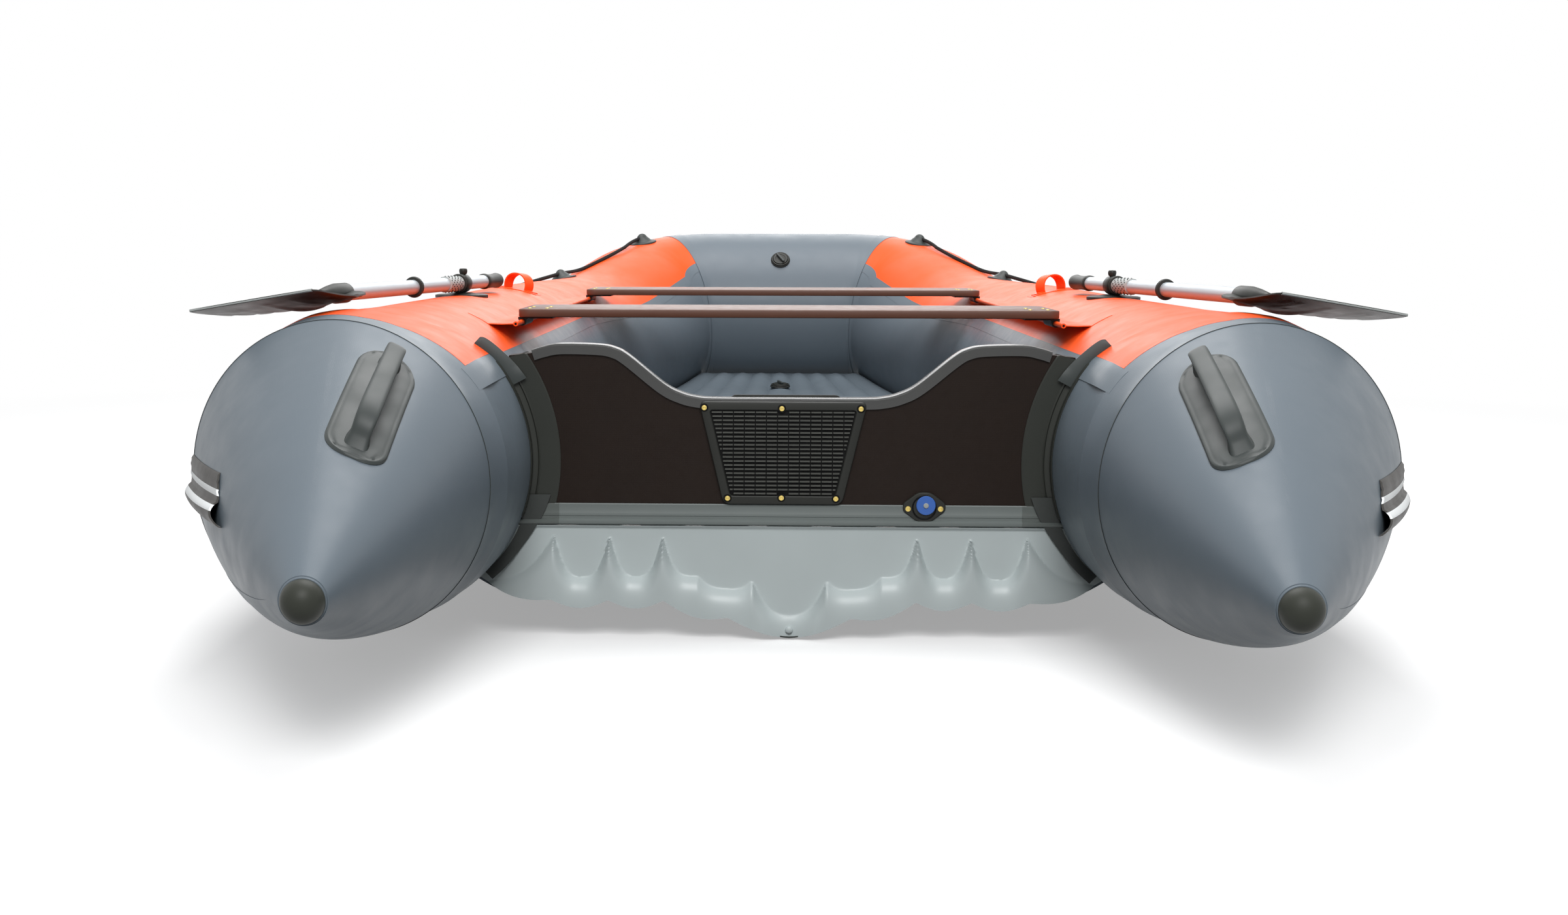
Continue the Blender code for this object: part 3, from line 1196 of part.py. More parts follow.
def make_grab_lines(hull):
    """The rope along each shoulder and the rubber eyes that hold it."""
    route = rope_route()
    eyes = (("upper", 0), ("lower", ROPE_POINTS // 2))
    for side_name, side in SIDES.items():
        curve = bpy.data.curves.new("grab_line", "CURVE")
        curve.dimensions = "3D"
        spline = curve.splines.new("POLY")
        spline.points.add(len(route) - 1)
        for point, place_on_route in zip(spline.points, route):
            point.co = (side * place_on_route.x, place_on_route.y, place_on_route.z, 1)
        curve.bevel_depth = ROPE_RADIUS
        curve.bevel_resolution = 2
        curve.use_fill_caps = True
        place(f"grab_line_{side_name}", curve, ROPE, hull)
        for (eye_name, index), (station, angle) in zip(eyes, rope_stops()):
            before, after = route[max(index - 1, 0)], route[index + 1]
            origin, up, _ = frame_on_tube(station, angle, GAP)
            matrix = mirrored_matrix(basis(origin, up, after - before), side)
            profile = [
                (EYE_PATCH, 0), (EYE_PATCH, EYE_PATCH_THICKNESS), (EYE_RADIUS * 1.15, EYE_PATCH_THICKNESS),
                (EYE_RADIUS, EYE_HEIGHT * 0.55), (EYE_RADIUS * 0.65, EYE_HEIGHT * 0.92), (0, EYE_HEIGHT),
            ]
            eye = place(f"rope_eye_{eye_name}_{side_name}", turned_mesh("rope_eye", profile, 16), BLACK, hull)
            eye.matrix_local = matrix
            bore_radius = ROPE_RADIUS + EYE_BORE_CLEAR
            bore = turned_mesh("eye_bore", [(bore_radius, -EYE_PATCH), (bore_radius, EYE_PATCH)], 12)
            guide = place(f"eye_bore_{eye_name}_{side_name}", bore, BLACK, hull)
            rope_origin = Vector(route[index])
            run = (after - before).normalized()
            guide.matrix_local = mirrored_matrix(basis(rope_origin, run, up), side)
            cut(eye, guide)


def make_valve(name, matrix, hull):
    """An air valve: flanged body, and a turning cap with a grip bar."""
    body_profile = [
        (VALVE_RADIUS, 0), (VALVE_RADIUS, VALVE_FLANGE), (VALVE_WELL + VALVE_FLANGE, VALVE_HEIGHT),
        (VALVE_WELL, VALVE_HEIGHT), (VALVE_WELL, VALVE_FLANGE), (VALVE_BORE, VALVE_FLANGE),
        (VALVE_BORE, 0), (VALVE_RADIUS, 0),
    ]
    body = place(f"{name}_body", turned_mesh("valve_body", body_profile), BLACK, hull)
    body.matrix_local = matrix
    seat = VALVE_FLANGE + GAP
    cap_profile = [
        (VALVE_WELL - FIT, seat), (VALVE_WELL - FIT, seat + VALVE_CAP_HEIGHT * 0.8),
        (VALVE_WELL - 3 * FIT, seat + VALVE_CAP_HEIGHT), (0, seat + VALVE_CAP_HEIGHT),
    ]
    turn = empty(f"{name}_turn", hull, matrix)
    cap = place(f"{name}_cap", turned_mesh("valve_cap", cap_profile), BLACK, turn)
    reach = VALVE_WELL - 4 * FIT
    low = (-VALVE_BAR, -reach, seat + VALVE_CAP_HEIGHT / 2)
    high = (VALVE_BAR, reach, seat + VALVE_CAP_HEIGHT + VALVE_BAR_HEIGHT)
    bar = place(f"{name}_bar", box_mesh("valve_bar", low, high), BLACK, turn)
    fuse(cap, bar)


def make_valves(hull):
    """The bow valve on the tube and the floor valve near the bow."""
    middle = Vector((0, BOW_FORWARD, AXIS_HEIGHT + BOW_RISE)), Vector((-1, 0, 0))
    origin, up, along = frame_on_tube(middle, BOW_VALVE_ANGLE, GAP)
    make_valve("bow_valve", basis(origin, up, along), hull)
    stations = floor_stations()
    near, far = stations[FLOOR_VALVE_BAY - 1], stations[FLOOR_VALVE_BAY]
    low, high = Vector((0, near, floor_top(near))), Vector((0, far, floor_top(far)))
    along = (high - low).normalized()
    up = Vector((1, 0, 0)).cross(along)
    make_valve("floor_valve", basis((low + high) / 2 + up * GAP, up, along), hull)


def main():
    clear_scene()
    aft_reach = SEAM_AFT + CONE_LENGTH + GAP + CAP_LENGTH
    strake = [(TUBE_RADIUS + STRAKE_SEAT + height) * math.sin(angle) for angle, height in strake_heights()]
    centre = (BOW_FORWARD + max(strake) - aft_reach) / 2
    hull = empty("hull", matrix=Matrix.Translation((0, -centre, 0)))
    make_tubes(hull)
    make_cones(hull)
    make_strakes(hull)
    make_floor(hull)
    make_transom(hull)
    make_holders(hull)
    make_stern_strip(hull)
    make_moulding(hull)
    make_motor_pads(hull)
    make_drain(hull)
    make_handles(hull)
    make_lift_loops(hull)
    make_tracks(hull)
    make_seats(hull)
    make_oars(hull)
    make_grab_lines(hull)
    make_valves(hull)


main()
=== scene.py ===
"""Looks of an inflatable boat: tubes, air floor, transom, seats and oars.

Lengths are metres unless a name ends in mm.  Places along the boat are metres
forward of the transom's aft face, and the workshop moves each finished mesh to
where the frame holds that face.
"""
import json
import logging
import math
from dataclasses import dataclass
from enum import Enum

import bmesh
import bpy
import numpy as np
from mathutils import Matrix, Vector

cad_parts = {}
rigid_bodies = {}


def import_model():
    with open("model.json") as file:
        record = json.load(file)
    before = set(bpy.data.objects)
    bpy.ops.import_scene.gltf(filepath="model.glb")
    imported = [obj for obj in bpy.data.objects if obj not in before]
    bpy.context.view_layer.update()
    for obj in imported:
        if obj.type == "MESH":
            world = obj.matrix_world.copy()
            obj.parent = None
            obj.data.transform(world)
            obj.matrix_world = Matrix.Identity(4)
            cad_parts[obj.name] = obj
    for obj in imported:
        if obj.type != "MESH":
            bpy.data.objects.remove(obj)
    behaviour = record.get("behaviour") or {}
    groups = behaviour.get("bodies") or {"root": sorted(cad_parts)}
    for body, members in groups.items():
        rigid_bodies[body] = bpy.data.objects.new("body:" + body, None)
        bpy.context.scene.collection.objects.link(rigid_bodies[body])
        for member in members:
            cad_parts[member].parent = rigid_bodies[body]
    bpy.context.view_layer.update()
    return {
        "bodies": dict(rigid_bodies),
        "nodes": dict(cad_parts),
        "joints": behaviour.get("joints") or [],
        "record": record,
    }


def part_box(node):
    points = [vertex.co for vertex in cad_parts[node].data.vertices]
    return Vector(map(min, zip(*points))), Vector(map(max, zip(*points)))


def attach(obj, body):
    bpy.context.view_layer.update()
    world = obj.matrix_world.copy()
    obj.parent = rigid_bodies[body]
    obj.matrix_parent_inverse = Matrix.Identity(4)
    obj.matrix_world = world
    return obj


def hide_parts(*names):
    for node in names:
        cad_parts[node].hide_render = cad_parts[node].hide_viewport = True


log = logging.getLogger("boat")
SIDES = {"port": -1.0, "starboard": 1.0}
MM = 0.001
WAVE_PERIOD = math.pi / 10      # of Blender's wave texture at scale 1
TO_AFT = Matrix.Rotation(math.pi / 2, 4, "X")       # turns up into aft
TO_BOW = Matrix.Rotation(-math.pi / 2, 4, "X")      # turns up into forward, aft into up
TAPE = (0.0009, 0.0001)         # faces of a glued tape, over the skin


def linear(hex_colour: str) -> tuple[float, float, float, float]:
    """Turn an sRGB hex value into linear light.

    Args:
        hex_colour: A value such as "#5d666e".

    Returns:
        Linear red, green, blue and alpha.
    """
    channels = [int(hex_colour[k:k + 2], 16) / 255 for k in (1, 3, 5)]
    turned = [c / 12.92 if c <= 0.04045 else ((c + 0.055) / 1.055) ** 2.4 for c in channels]
    return (*turned, 1.0)


def add(tree: bpy.types.NodeTree, kind: str, inputs: dict | None = None, **settings) -> bpy.types.Node:
    """Add a node with its settings and links.

    Args:
        tree: The material's or the geometry's tree.
        kind: The node's type name.
        inputs: Sockets by name or number, each with a value or an output to link.
        settings: Properties of the node.

    Returns:
        The new node.
    """
    node = tree.nodes.new(kind)
    for name, value in settings.items():
        setattr(node, name, value)
    for key, value in (inputs or {}).items():
        if isinstance(value, bpy.types.NodeSocket):
            tree.links.new(value, node.inputs[key])
        else:
            node.inputs[key].default_value = value
    return node


def maths(tree: bpy.types.NodeTree, operation: str, *values) -> bpy.types.NodeSocket:
    """Add a Math node.

    Args:
        tree: The material's tree.
        operation: What it does.
        values: Numbers or outputs, in the order of its inputs.

    Returns:
        Its output.
    """
    return add(tree, "ShaderNodeMath", dict(enumerate(values)), operation=operation).outputs[0]


class Pattern(Enum):
    """How a surface was made."""

    FABRIC = "calendered over a woven cloth"
    MOULDED = "moulded against a spark-eroded steel"
    PLYWOOD = "hot pressed under a film"
    STRIPED = "extruded in two colours"
    BRAIDED = "braided"
    DRAWN = "drawn through a die"


@dataclass(frozen=True)
class Finish:
    """One real material and the way its surface was made."""

    name: str
    slot: str
    colour: str
    roughness: float
    pattern: Pattern = Pattern.MOULDED
    metallic: float = 0.0
    grain_mm: float = 1.2
    depth_mm: float = 0.05
    mottle: float = 0.08
    mottle_mm: float = 160.0
    second: str = "#ffffff"
    specular: float = 0.4

    def material(self) -> bpy.types.Material:
        """Return the material, built once."""
        found = bpy.data.materials.get(self.name)
        if found:
            return found
        made = bpy.data.materials.new(self.name)
        made.use_nodes = True
        tree = made.node_tree
        shader = tree.nodes["Principled BSDF"]
        shader.inputs["Metallic"].default_value = self.metallic
        shader.inputs["Specular IOR Level"].default_value = self.specular
        place = add(tree, "ShaderNodeTexCoord")
        tree.links.new(self.tint(tree, place), shader.inputs["Base Color"])
        tree.links.new(self.sheen(tree, place), shader.inputs["Roughness"])
        bump = add(tree, "ShaderNodeBump", {
            "Height": self.relief(tree, place), "Distance": self.depth_mm * MM, "Strength": 1.0,
        })
        tree.links.new(bump.outputs["Normal"], shader.inputs["Normal"])
        return made

    def cloud(self, tree: bpy.types.NodeTree, place: bpy.types.Node, size_mm: float) -> bpy.types.NodeSocket:
        """Soft noise over the piece.

        Args:
            tree: The material's tree.
            place: The texture coordinates.
            size_mm: The width of one cloud.

        Returns:
            A grey value.
        """
        noise = add(tree, "ShaderNodeTexNoise", {
            "Vector": place.outputs["Object"], "Scale": 1 / (size_mm * MM), "Detail": 3.0, "Roughness": 0.55,
        })
        return noise.outputs["Fac"]

    def tint(self, tree: bpy.types.NodeTree, place: bpy.types.Node) -> bpy.types.NodeSocket:
        """The colour, a little uneven as handled surfaces are.

        Args:
            tree: The material's tree.
            place: The texture coordinates.

        Returns:
            The colour.
        """
        base = linear(self.colour)
        low = tuple(c * (1 - self.mottle) for c in base[:3]) + (1.0,)
        high = tuple(min(c * (1 + self.mottle), 1.0) for c in base[:3]) + (1.0,)
        blend = add(tree, "ShaderNodeMix", {
            0: self.cloud(tree, place, self.mottle_mm), 6: low, 7: high,
        }, data_type="RGBA")
        colour = blend.outputs[2]
        if self.pattern is Pattern.STRIPED:
            return self.striped(tree, place, colour)
        return colour

    def striped(self, tree: bpy.types.NodeTree, place: bpy.types.Node,
                ground: bpy.types.NodeSocket) -> bpy.types.NodeSocket:
        """White lines along an extrusion, by its height coordinate.

        Args:
            tree: The material's tree.
            place: The texture coordinates.
            ground: The colour between the lines.

        Returns:
            The colour.
        """
        across = add(tree, "ShaderNodeSeparateXYZ", {0: place.outputs["UV"]}).outputs["Y"]
        total = None
        for top_mm, foot_mm in STRIPES_MM:
            middle, half = (top_mm + foot_mm) / 2 * MM, (foot_mm - top_mm) / 2 * MM
            line = maths(tree, "COMPARE", across, middle, half)
            total = line if total is None else maths(tree, "ADD", total, line)
        blend = add(tree, "ShaderNodeMix", {0: total, 6: ground, 7: linear(self.second)}, data_type="RGBA")
        return blend.outputs[2]

    def sheen(self, tree: bpy.types.NodeTree, place: bpy.types.Node) -> bpy.types.NodeSocket:
        """Roughness that varies a little over the surface.

        Args:
            tree: The material's tree.
            place: The texture coordinates.

        Returns:
            The roughness.
        """
        spread = add(tree, "ShaderNodeMapRange", {
            "Value": self.cloud(tree, place, self.mottle_mm / 3), "From Min": 0.3, "From Max": 0.7,
            "To Min": self.roughness * 0.88, "To Max": min(self.roughness * 1.12, 1.0),
        })
        return spread.outputs["Result"]

    def wave(self, tree: bpy.types.NodeTree, source: bpy.types.NodeSocket, pitch_mm: float,
             direction: str) -> bpy.types.NodeSocket:
        """Parallel ridges.

        Args:
            tree: The material's tree.
            source: The coordinates, in metres.
            pitch_mm: From ridge to ridge.
            direction: "X", "Y", "Z" or "DIAGONAL".

        Returns:
            The height, from 0 to 1.
        """
        made = add(tree, "ShaderNodeTexWave", {
            "Vector": source, "Scale": WAVE_PERIOD / (pitch_mm * MM),
        }, bands_direction=direction)
        return made.outputs["Fac"]

    def relief(self, tree: bpy.types.NodeTree, place: bpy.types.Node) -> bpy.types.NodeSocket:
        """The fine height of the surface.

        Args:
            tree: The material's tree.
            place: The texture coordinates.

        Returns:
            The height, from 0 to 1.
        """
        grain = self.cloud(tree, place, self.grain_mm)
        if self.pattern is Pattern.FABRIC:
            pair = [self.wave(tree, place.outputs["UV"], self.grain_mm, way) for way in ("X", "Y")]
        elif self.pattern is Pattern.PLYWOOD:
            pair = [self.wave(tree, place.outputs["Object"], self.grain_mm, way) for way in ("X", "Z")]
        elif self.pattern is Pattern.BRAIDED:
            turned = add(tree, "ShaderNodeMapping", {
                "Vector": place.outputs["UV"], "Rotation": (0, 0, math.radians(90)),
            }).outputs["Vector"]
            pair = [self.wave(tree, source, self.grain_mm, "DIAGONAL")
                    for source in (place.outputs["UV"], turned)]
        elif self.pattern is Pattern.DRAWN:
            long = add(tree, "ShaderNodeMapping", {
                "Vector": place.outputs["UV"], "Scale": (0.02, 1, 1),
            }).outputs["Vector"]
            drawn = add(tree, "ShaderNodeTexNoise", {"Vector": long, "Scale": 1 / (self.grain_mm * MM)})
            return drawn.outputs["Fac"]
        else:
            return grain
        return maths(tree, "ADD", maths(tree, "MAXIMUM", *pair), grain)


# White lines on the strake: where each starts and ends below its top edge.
STRIPES_MM = ((24.0, 33.0), (46.0, 55.0))

# PVC-coated polyester: a satin skin in which the cloth under it just shows.
ORANGE_PVC = Finish("orange_coated_fabric", "orange_pvc", "#f5581f", 0.42, Pattern.FABRIC,
                    grain_mm=2.2, depth_mm=0.03, mottle=0.035, specular=0.15)
GREY_PVC = Finish("grey_coated_fabric", "grey_pvc", "#646e76", 0.42, Pattern.FABRIC,
                  grain_mm=2.2, depth_mm=0.03, mottle=0.05, specular=0.25)
# A darker copy of the grey fabric: the dark corner tapes and the keel strip, and painted shade round the
# cone's seam.
DARK_PVC = Finish("dark_coated_fabric", "grey_pvc", "#3c3f3d", 0.42, Pattern.FABRIC,
                  grain_mm=2.2, depth_mm=0.03, mottle=0.07, specular=0.25)
# EPDM rubber extrusion, matt, with two co-extruded white lines.
STRAKE_RUBBER = Finish("striped_rubber_extrusion", "black_rubber", "#383633", 0.5, Pattern.STRIPED,
                       grain_mm=1.5, depth_mm=0.04, second="#f2f5f5", specular=0.25)
TRIM_RUBBER = Finish("edge_trim_extrusion", "black_trim", "#1c1d1b", 0.24, grain_mm=2.0, depth_mm=0.02,
                     specular=0.8)
HOLDER_RUBBER = Finish("channel_rubber", "black_trim", "#30322e", 0.4, grain_mm=2.0, depth_mm=0.04,
                       specular=0.2)
STRIP_RUBBER = Finish("grey_strip_extrusion", "grey_strip", "#686f6d", 0.38, grain_mm=2.0, depth_mm=0.03)
# The same strip seen through the thin clear tape over its ends.
STRIP_TAPE = Finish("taped_strip", "grey_strip", "#555b58", 0.3, grain_mm=2.0, depth_mm=0.03)
# Thermoformed grey PVC, smooth, with soft creases.
FORMED_PVC = Finish("thermoformed_grey_pvc", "grey_moulding", "#b7c0c0", 0.36, grain_mm=3.0, depth_mm=0.03)
HANDLE_RUBBER = Finish("moulded_rubber", "handle_rubber", "#373c3b", 0.46, grain_mm=1.4, depth_mm=0.06,
                       specular=0.3)
CAP_RUBBER = Finish("cap_rubber", "black_plastic", "#33352f", 0.5, grain_mm=1.4, depth_mm=0.06, specular=0.2)
# Birch plywood under a dark phenolic film with a faint wire-mesh print.
BOARD_PLY = Finish("film_faced_plywood", "phenolic_plywood", "#1b120d", 0.55, Pattern.PLYWOOD,
                   grain_mm=3.0, depth_mm=0.08, mottle=0.18, mottle_mm=40, specular=0.15)
SEAT_PLY = Finish("lacquered_plywood", "seat_plywood", "#5c3d30", 0.42, Pattern.PLYWOOD,
                  grain_mm=3.0, depth_mm=0.03, mottle=0.1, mottle_mm=60, specular=0.3)
BLUE_ABS = Finish("blue_moulded_abs", "blue_plastic", "#3a68b8", 0.3, grain_mm=2.0, depth_mm=0.02)
BLACK_ABS = Finish("black_moulded_plastic", "black_plastic", "#2a2b28", 0.42, grain_mm=1.0, depth_mm=0.05,
                   specular=0.2)
# The pad's ribs, painted a lighter grey than the pad's plastic: a painted highlight on their lit edges.
RIB_HIGHLIGHT_ABS = Finish("worn_black_plastic", "black_plastic", "#4c4d49", 0.5, grain_mm=1.0, depth_mm=0.05,
                 specular=0.3)
# Near-black plastic: painted shade in the pad's recess between the ribs, the sleeve's holes, the drain's
# well and the bead's bores; also the rings under the pad's screws.
BLACK_AND_PAINTED_SHADE = Finish("black_recess", "black_plastic", "#0d0d0d", 0.6, grain_mm=1.0, depth_mm=0.02,
                    specular=0.1)
# Anodised aluminium tube with faint drawing lines along it.
ANODISED = Finish("anodised_aluminium_tube", "anodised_aluminium", "#b9c1c6", 0.38, Pattern.DRAWN,
                  metallic=0.45, grain_mm=0.8, depth_mm=0.02, mottle=0.03)
PALE_SLEEVE = Finish("pale_nylon_sleeve", "anodised_aluminium", "#a4a8a6", 0.5, grain_mm=1.0)
# Yellow-passivated zinc on steel screws.
ZINC = Finish("yellow_passivated_zinc", "black_plastic", "#c9b36a", 0.32, metallic=0.9, grain_mm=0.8,
              depth_mm=0.01)
BRAID = Finish("braided_polyester_rope", "black_rope", "#232323", 0.8, Pattern.BRAIDED,
               grain_mm=3.0, depth_mm=0.5, specular=0.2)


def cumulative(points: np.ndarray) -> np.ndarray:
    """Distance along a row of points, from 0.

    Args:
        points: Points, one in each row.

    Returns:
        One distance for each point.
    """
    steps = np.linalg.norm(np.diff(points, axis=0), axis=1)
    return np.concatenate([[0.0], np.cumsum(steps)])


def to_mesh(name: str, points: np.ndarray, faces: list, uv: np.ndarray | None = None,
            crease: float = 38.0) -> bpy.types.Mesh:
    """Build a smooth mesh with its faces outwards.

    Args:
        name: The mesh's name.
        points: Vertices, one in each row.
        faces: Vertex numbers of each face.
        uv: Surface coordinates in metres for each vertex.
        crease: Edges above this angle, in degrees, stay sharp.

    Returns:
        The mesh.
    """
    mesh = bpy.data.meshes.new(name)
    mesh.from_pydata(np.asarray(points, float).tolist(), [], faces)
    if uv is not None:
        corner = np.empty(len(mesh.loops), np.int32)
        mesh.loops.foreach_get("vertex_index", corner)
        layer = mesh.uv_layers.new(name="UVMap")
        layer.data.foreach_set("uv", np.asarray(uv, np.float32)[corner].ravel())
    build = bmesh.new()
    build.from_mesh(mesh)
    bmesh.ops.recalc_face_normals(build, faces=build.faces)
    build.to_mesh(mesh)
    build.free()
    mesh.shade_smooth()
    mesh.set_sharp_from_angle(angle=math.radians(crease))
    return mesh


def grid_faces(rows: int, columns: int, wrap: bool, first: int = 0) -> list:
    """Faces of a grid of vertices.

    Args:
        rows: Number of rows.
        columns: Number of columns.
        wrap: Whether the last column joins the first.
        first: Number of the grid's first vertex.

    Returns:
        Quads as lists of vertex numbers.
    """
    spans = columns if wrap else columns - 1
    i, j = np.meshgrid(np.arange(rows - 1), np.arange(spans), indexing="ij")
    k = (j + 1) % columns
    quads = np.stack([i * columns + j, i * columns + k, (i + 1) * columns + k, (i + 1) * columns + j], -1)
    return (quads.reshape(-1, 4) + first).tolist()


def shell(name: str, outer: np.ndarray, inner: np.ndarray, wrap: bool = False,
          across: np.ndarray | None = None, crease: float = 38.0) -> bpy.types.Mesh:
    """Close two matching grids into one thin body.

    Args:
        name: The mesh's name.
        outer: Outer face, rows by columns by 3.
        inner: Inner face, of the same shape.
        wrap: Whether the last column joins the first.
        across: Second surface coordinate of each column, or none to measure it.
        crease: Edges above this angle, in degrees, stay sharp.

    Returns:
        The mesh.
    """
    rows, columns = outer.shape[:2]
    count = rows * columns
    along = cumulative(outer[:, columns // 2])
    if across is None:
        across = cumulative(outer[rows // 2])
    uv = np.stack(np.meshgrid(along, across, indexing="ij"), -1).reshape(-1, 2)
    faces = grid_faces(rows, columns, wrap) + grid_faces(rows, columns, wrap, count)
    spans = columns if wrap else columns - 1
    for j in range(spans):
        k = (j + 1) % columns
        end = (rows - 1) * columns
        faces.append((j, k, k + count, j + count))
        faces.append((end + j, end + k, end + k + count, end + j + count))
    if not wrap:
        for i in range(rows - 1):
            for j in (0, columns - 1):
                here, ahead = i * columns + j, (i + 1) * columns + j
                faces.append((here, ahead, ahead + count, here + count))
    points = np.concatenate([outer.reshape(-1, 3), inner.reshape(-1, 3)])
    return to_mesh(name, points, faces, np.concatenate([uv, uv]), crease)


def loft(name: str, rings: np.ndarray, crease: float = 38.0) -> bpy.types.Mesh:
    """A solid through closed rings, capped at both ends.

    Args:
        name: The mesh's name.
        rings: Rings by points by 3.
        crease: Edges above this angle, in degrees, stay sharp.

    Returns:
        The mesh.
    """
    rings = np.asarray(rings, float)
    rows, columns = rings.shape[:2]
    faces = grid_faces(rows, columns, True)
    faces.append(list(range(columns)))
    faces.append([(rows - 1) * columns + j for j in range(columns)])
    along = cumulative(rings[:, 0])
    across = cumulative(rings[rows // 2])
    uv = np.stack(np.meshgrid(along, across, indexing="ij"), -1).reshape(-1, 2)
    return to_mesh(name, rings.reshape(-1, 3), faces, uv, crease)


def turned(name: str, profile: list[tuple[float, float]], matrix: Matrix, steps: int = 48,
           crease: float = 38.0) -> bpy.types.Mesh:
    """A solid of revolution about its own Z.

    Args:
        name: The mesh's name.
        profile: Radius and height pairs, bottom to top.
        matrix: Where it goes.
        steps: Faces round it.
        crease: Edges above this angle, in degrees, stay sharp.

    Returns:
        The mesh.
    """
    turn = np.arange(steps) * 2 * math.pi / steps
    rings = [
        np.stack([max(r, 0.00005) * np.cos(turn), max(r, 0.00005) * np.sin(turn), np.full(steps, h)], -1)
        for r, h in profile
    ]
    mesh = loft(name, np.array(rings), crease)
    mesh.transform(matrix)
    if matrix.determinant() < 0:
        mesh.flip_normals()
    return mesh


def sweep(name: str, path: np.ndarray, radius: float | np.ndarray, steps: int = 16) -> bpy.types.Mesh:
    """A round bar along a path.

    Args:
        name: The mesh's name.
        path: Points of its centreline.
        radius: Its radius, one value or one for each point.
        steps: Faces round it.

    Returns:
        The mesh.
    """
    tangents = np.gradient(path, axis=0)
    tangents /= np.linalg.norm(tangents, axis=1)[:, None]
    side = np.cross(tangents[0], (0.31, 0.17, 0.93))
    rings = []
    for point, tangent, size in zip(path, tangents, np.broadcast_to(radius, len(path))):
        side = side - tangent * side.dot(tangent)
        side /= np.linalg.norm(side)
        other = np.cross(tangent, side)
        turn = np.arange(steps) * 2 * math.pi / steps
        rings.append(point + size * (np.cos(turn)[:, None] * side + np.sin(turn)[:, None] * other))
    return loft(name, np.array(rings))


def rounded_outline(corners: list[tuple[float, float]], radius: float | list[float],
                    steps: int = 8) -> np.ndarray:
    """Round the corners of a closed outline.

    Args:
        corners: Corner points in order.
        radius: Length that each rounding takes from its sides, or one for each corner.
        steps: Pieces in each rounding.

    Returns:
        Points of the outline.
    """
    sizes = radius if isinstance(radius, list) else [radius] * len(corners)
    points = []
    for k, size in enumerate(sizes):
        here = np.array(corners[k])
        before = np.array(corners[k - 1]) - here
        after = np.array(corners[(k + 1) % len(corners)]) - here
        before = before / np.linalg.norm(before) * size
        after = after / np.linalg.norm(after) * size
        for t in np.linspace(0, 1, steps + 1):
            points.append(here + before * (1 - t) ** 2 + after * t ** 2)
    return np.array(points)


def inset(outline: np.ndarray, distance: float) -> np.ndarray:
    """Move a closed outline inwards.

    Args:
        outline: Points of the outline.
        distance: How far in.

    Returns:
        The moved points.
    """
    ahead = np.roll(outline, -1, axis=0) - outline
    ahead /= np.linalg.norm(ahead, axis=1)[:, None] + 1e-12
    behind = np.roll(ahead, 1, axis=0)
    mean = ahead + behind
    mean /= np.linalg.norm(mean, axis=1)[:, None] + 1e-12
    normal = np.stack([-mean[:, 1], mean[:, 0]], -1)
    x, z = outline[:, 0], outline[:, 1]
    area = np.sum(x * np.roll(z, -1) - np.roll(x, -1) * z)
    return outline + normal * distance * math.copysign(1.0, area)


def plate(name: str, outline: np.ndarray, back: float, face: float, edge: float = 0.002,
          upright: bool = True) -> bpy.types.Mesh:
    """A plate with rounded edges on its outer face.

    Args:
        name: The mesh's name.
        outline: Points of the outline, in the plate's plane.
        back: Depth of its back.
        face: Depth of its face.
        edge: Radius of the face's edge.
        upright: Whether the outline is x and z and the depth is y, or else x, y and z.

    Returns:
        The mesh.
    """
    way = math.copysign(1.0, face - back)
    rings = [(outline, back)]
    for t in np.linspace(0, math.pi / 2, 5):
        rings.append((inset(outline, edge * (1 - math.cos(t))), face - way * edge * (1 - math.sin(t))))
    stacked = []
    for ring, depth in rings:
        level = np.full(len(ring), depth)
        order = (ring[:, 0], level, ring[:, 1]) if upright else (ring[:, 0], ring[:, 1], level)
        stacked.append(np.stack(order, -1))
    return loft(name, np.array(stacked), 30.0)


def smooth_line(points: list | np.ndarray, steps: int = 8) -> np.ndarray:
    """A smooth curve through points.

    Args:
        points: The points.
        steps: Pieces between two of them.

    Returns:
        Points of the curve.
    """
    p = np.asarray(points, float)
    p = np.concatenate([[2 * p[0] - p[1]], p, [2 * p[-1] - p[-2]]])
    curve = []
    for k in range(1, len(p) - 2):
        for t in np.arange(steps) / steps:
            curve.append(0.5 * (2 * p[k] + (p[k + 1] - p[k - 1]) * t
                         + (2 * p[k - 1] - 5 * p[k] + 4 * p[k + 1] - p[k + 2]) * t ** 2
                         + (3 * p[k] - p[k - 1] - 3 * p[k + 1] + p[k + 2]) * t ** 3))
    return np.array(curve + [p[-2]])


def ease(share: np.ndarray | float) -> np.ndarray | float:
    """A smooth rise from 0 to 1."""
    share = np.clip(share, 0, 1)
    return share * share * (3 - 2 * share)


def stretched(values: np.ndarray, power: float) -> np.ndarray:
    """Raise the sizes of values to a power and keep their signs."""
    return np.sign(values) * np.abs(values) ** power


def crowded(steps: int) -> np.ndarray:
    """Values from -1 to 1 that lie closer towards both ends."""
    return np.sin(np.linspace(-math.pi / 2, math.pi / 2, steps))


def normals(path: np.ndarray) -> np.ndarray:
    """Unit normals to the left of a plane path, one for each of its points."""
    tangent = np.gradient(path, axis=0)
    tangent /= np.linalg.norm(tangent, axis=1)[:, None]
    return np.stack([-tangent[:, 1], tangent[:, 0]], -1)


def standing(outline: np.ndarray, forward: float) -> np.ndarray:
    """A section's points, given as x and height, at a place along the boat."""
    return np.stack([outline[:, 0], np.full(len(outline), forward), outline[:, 1]], -1)


def mirrored(points: np.ndarray, side: float) -> np.ndarray:
    """Put starboard points on a side."""
    return points * np.array([side, 1.0, 1.0])


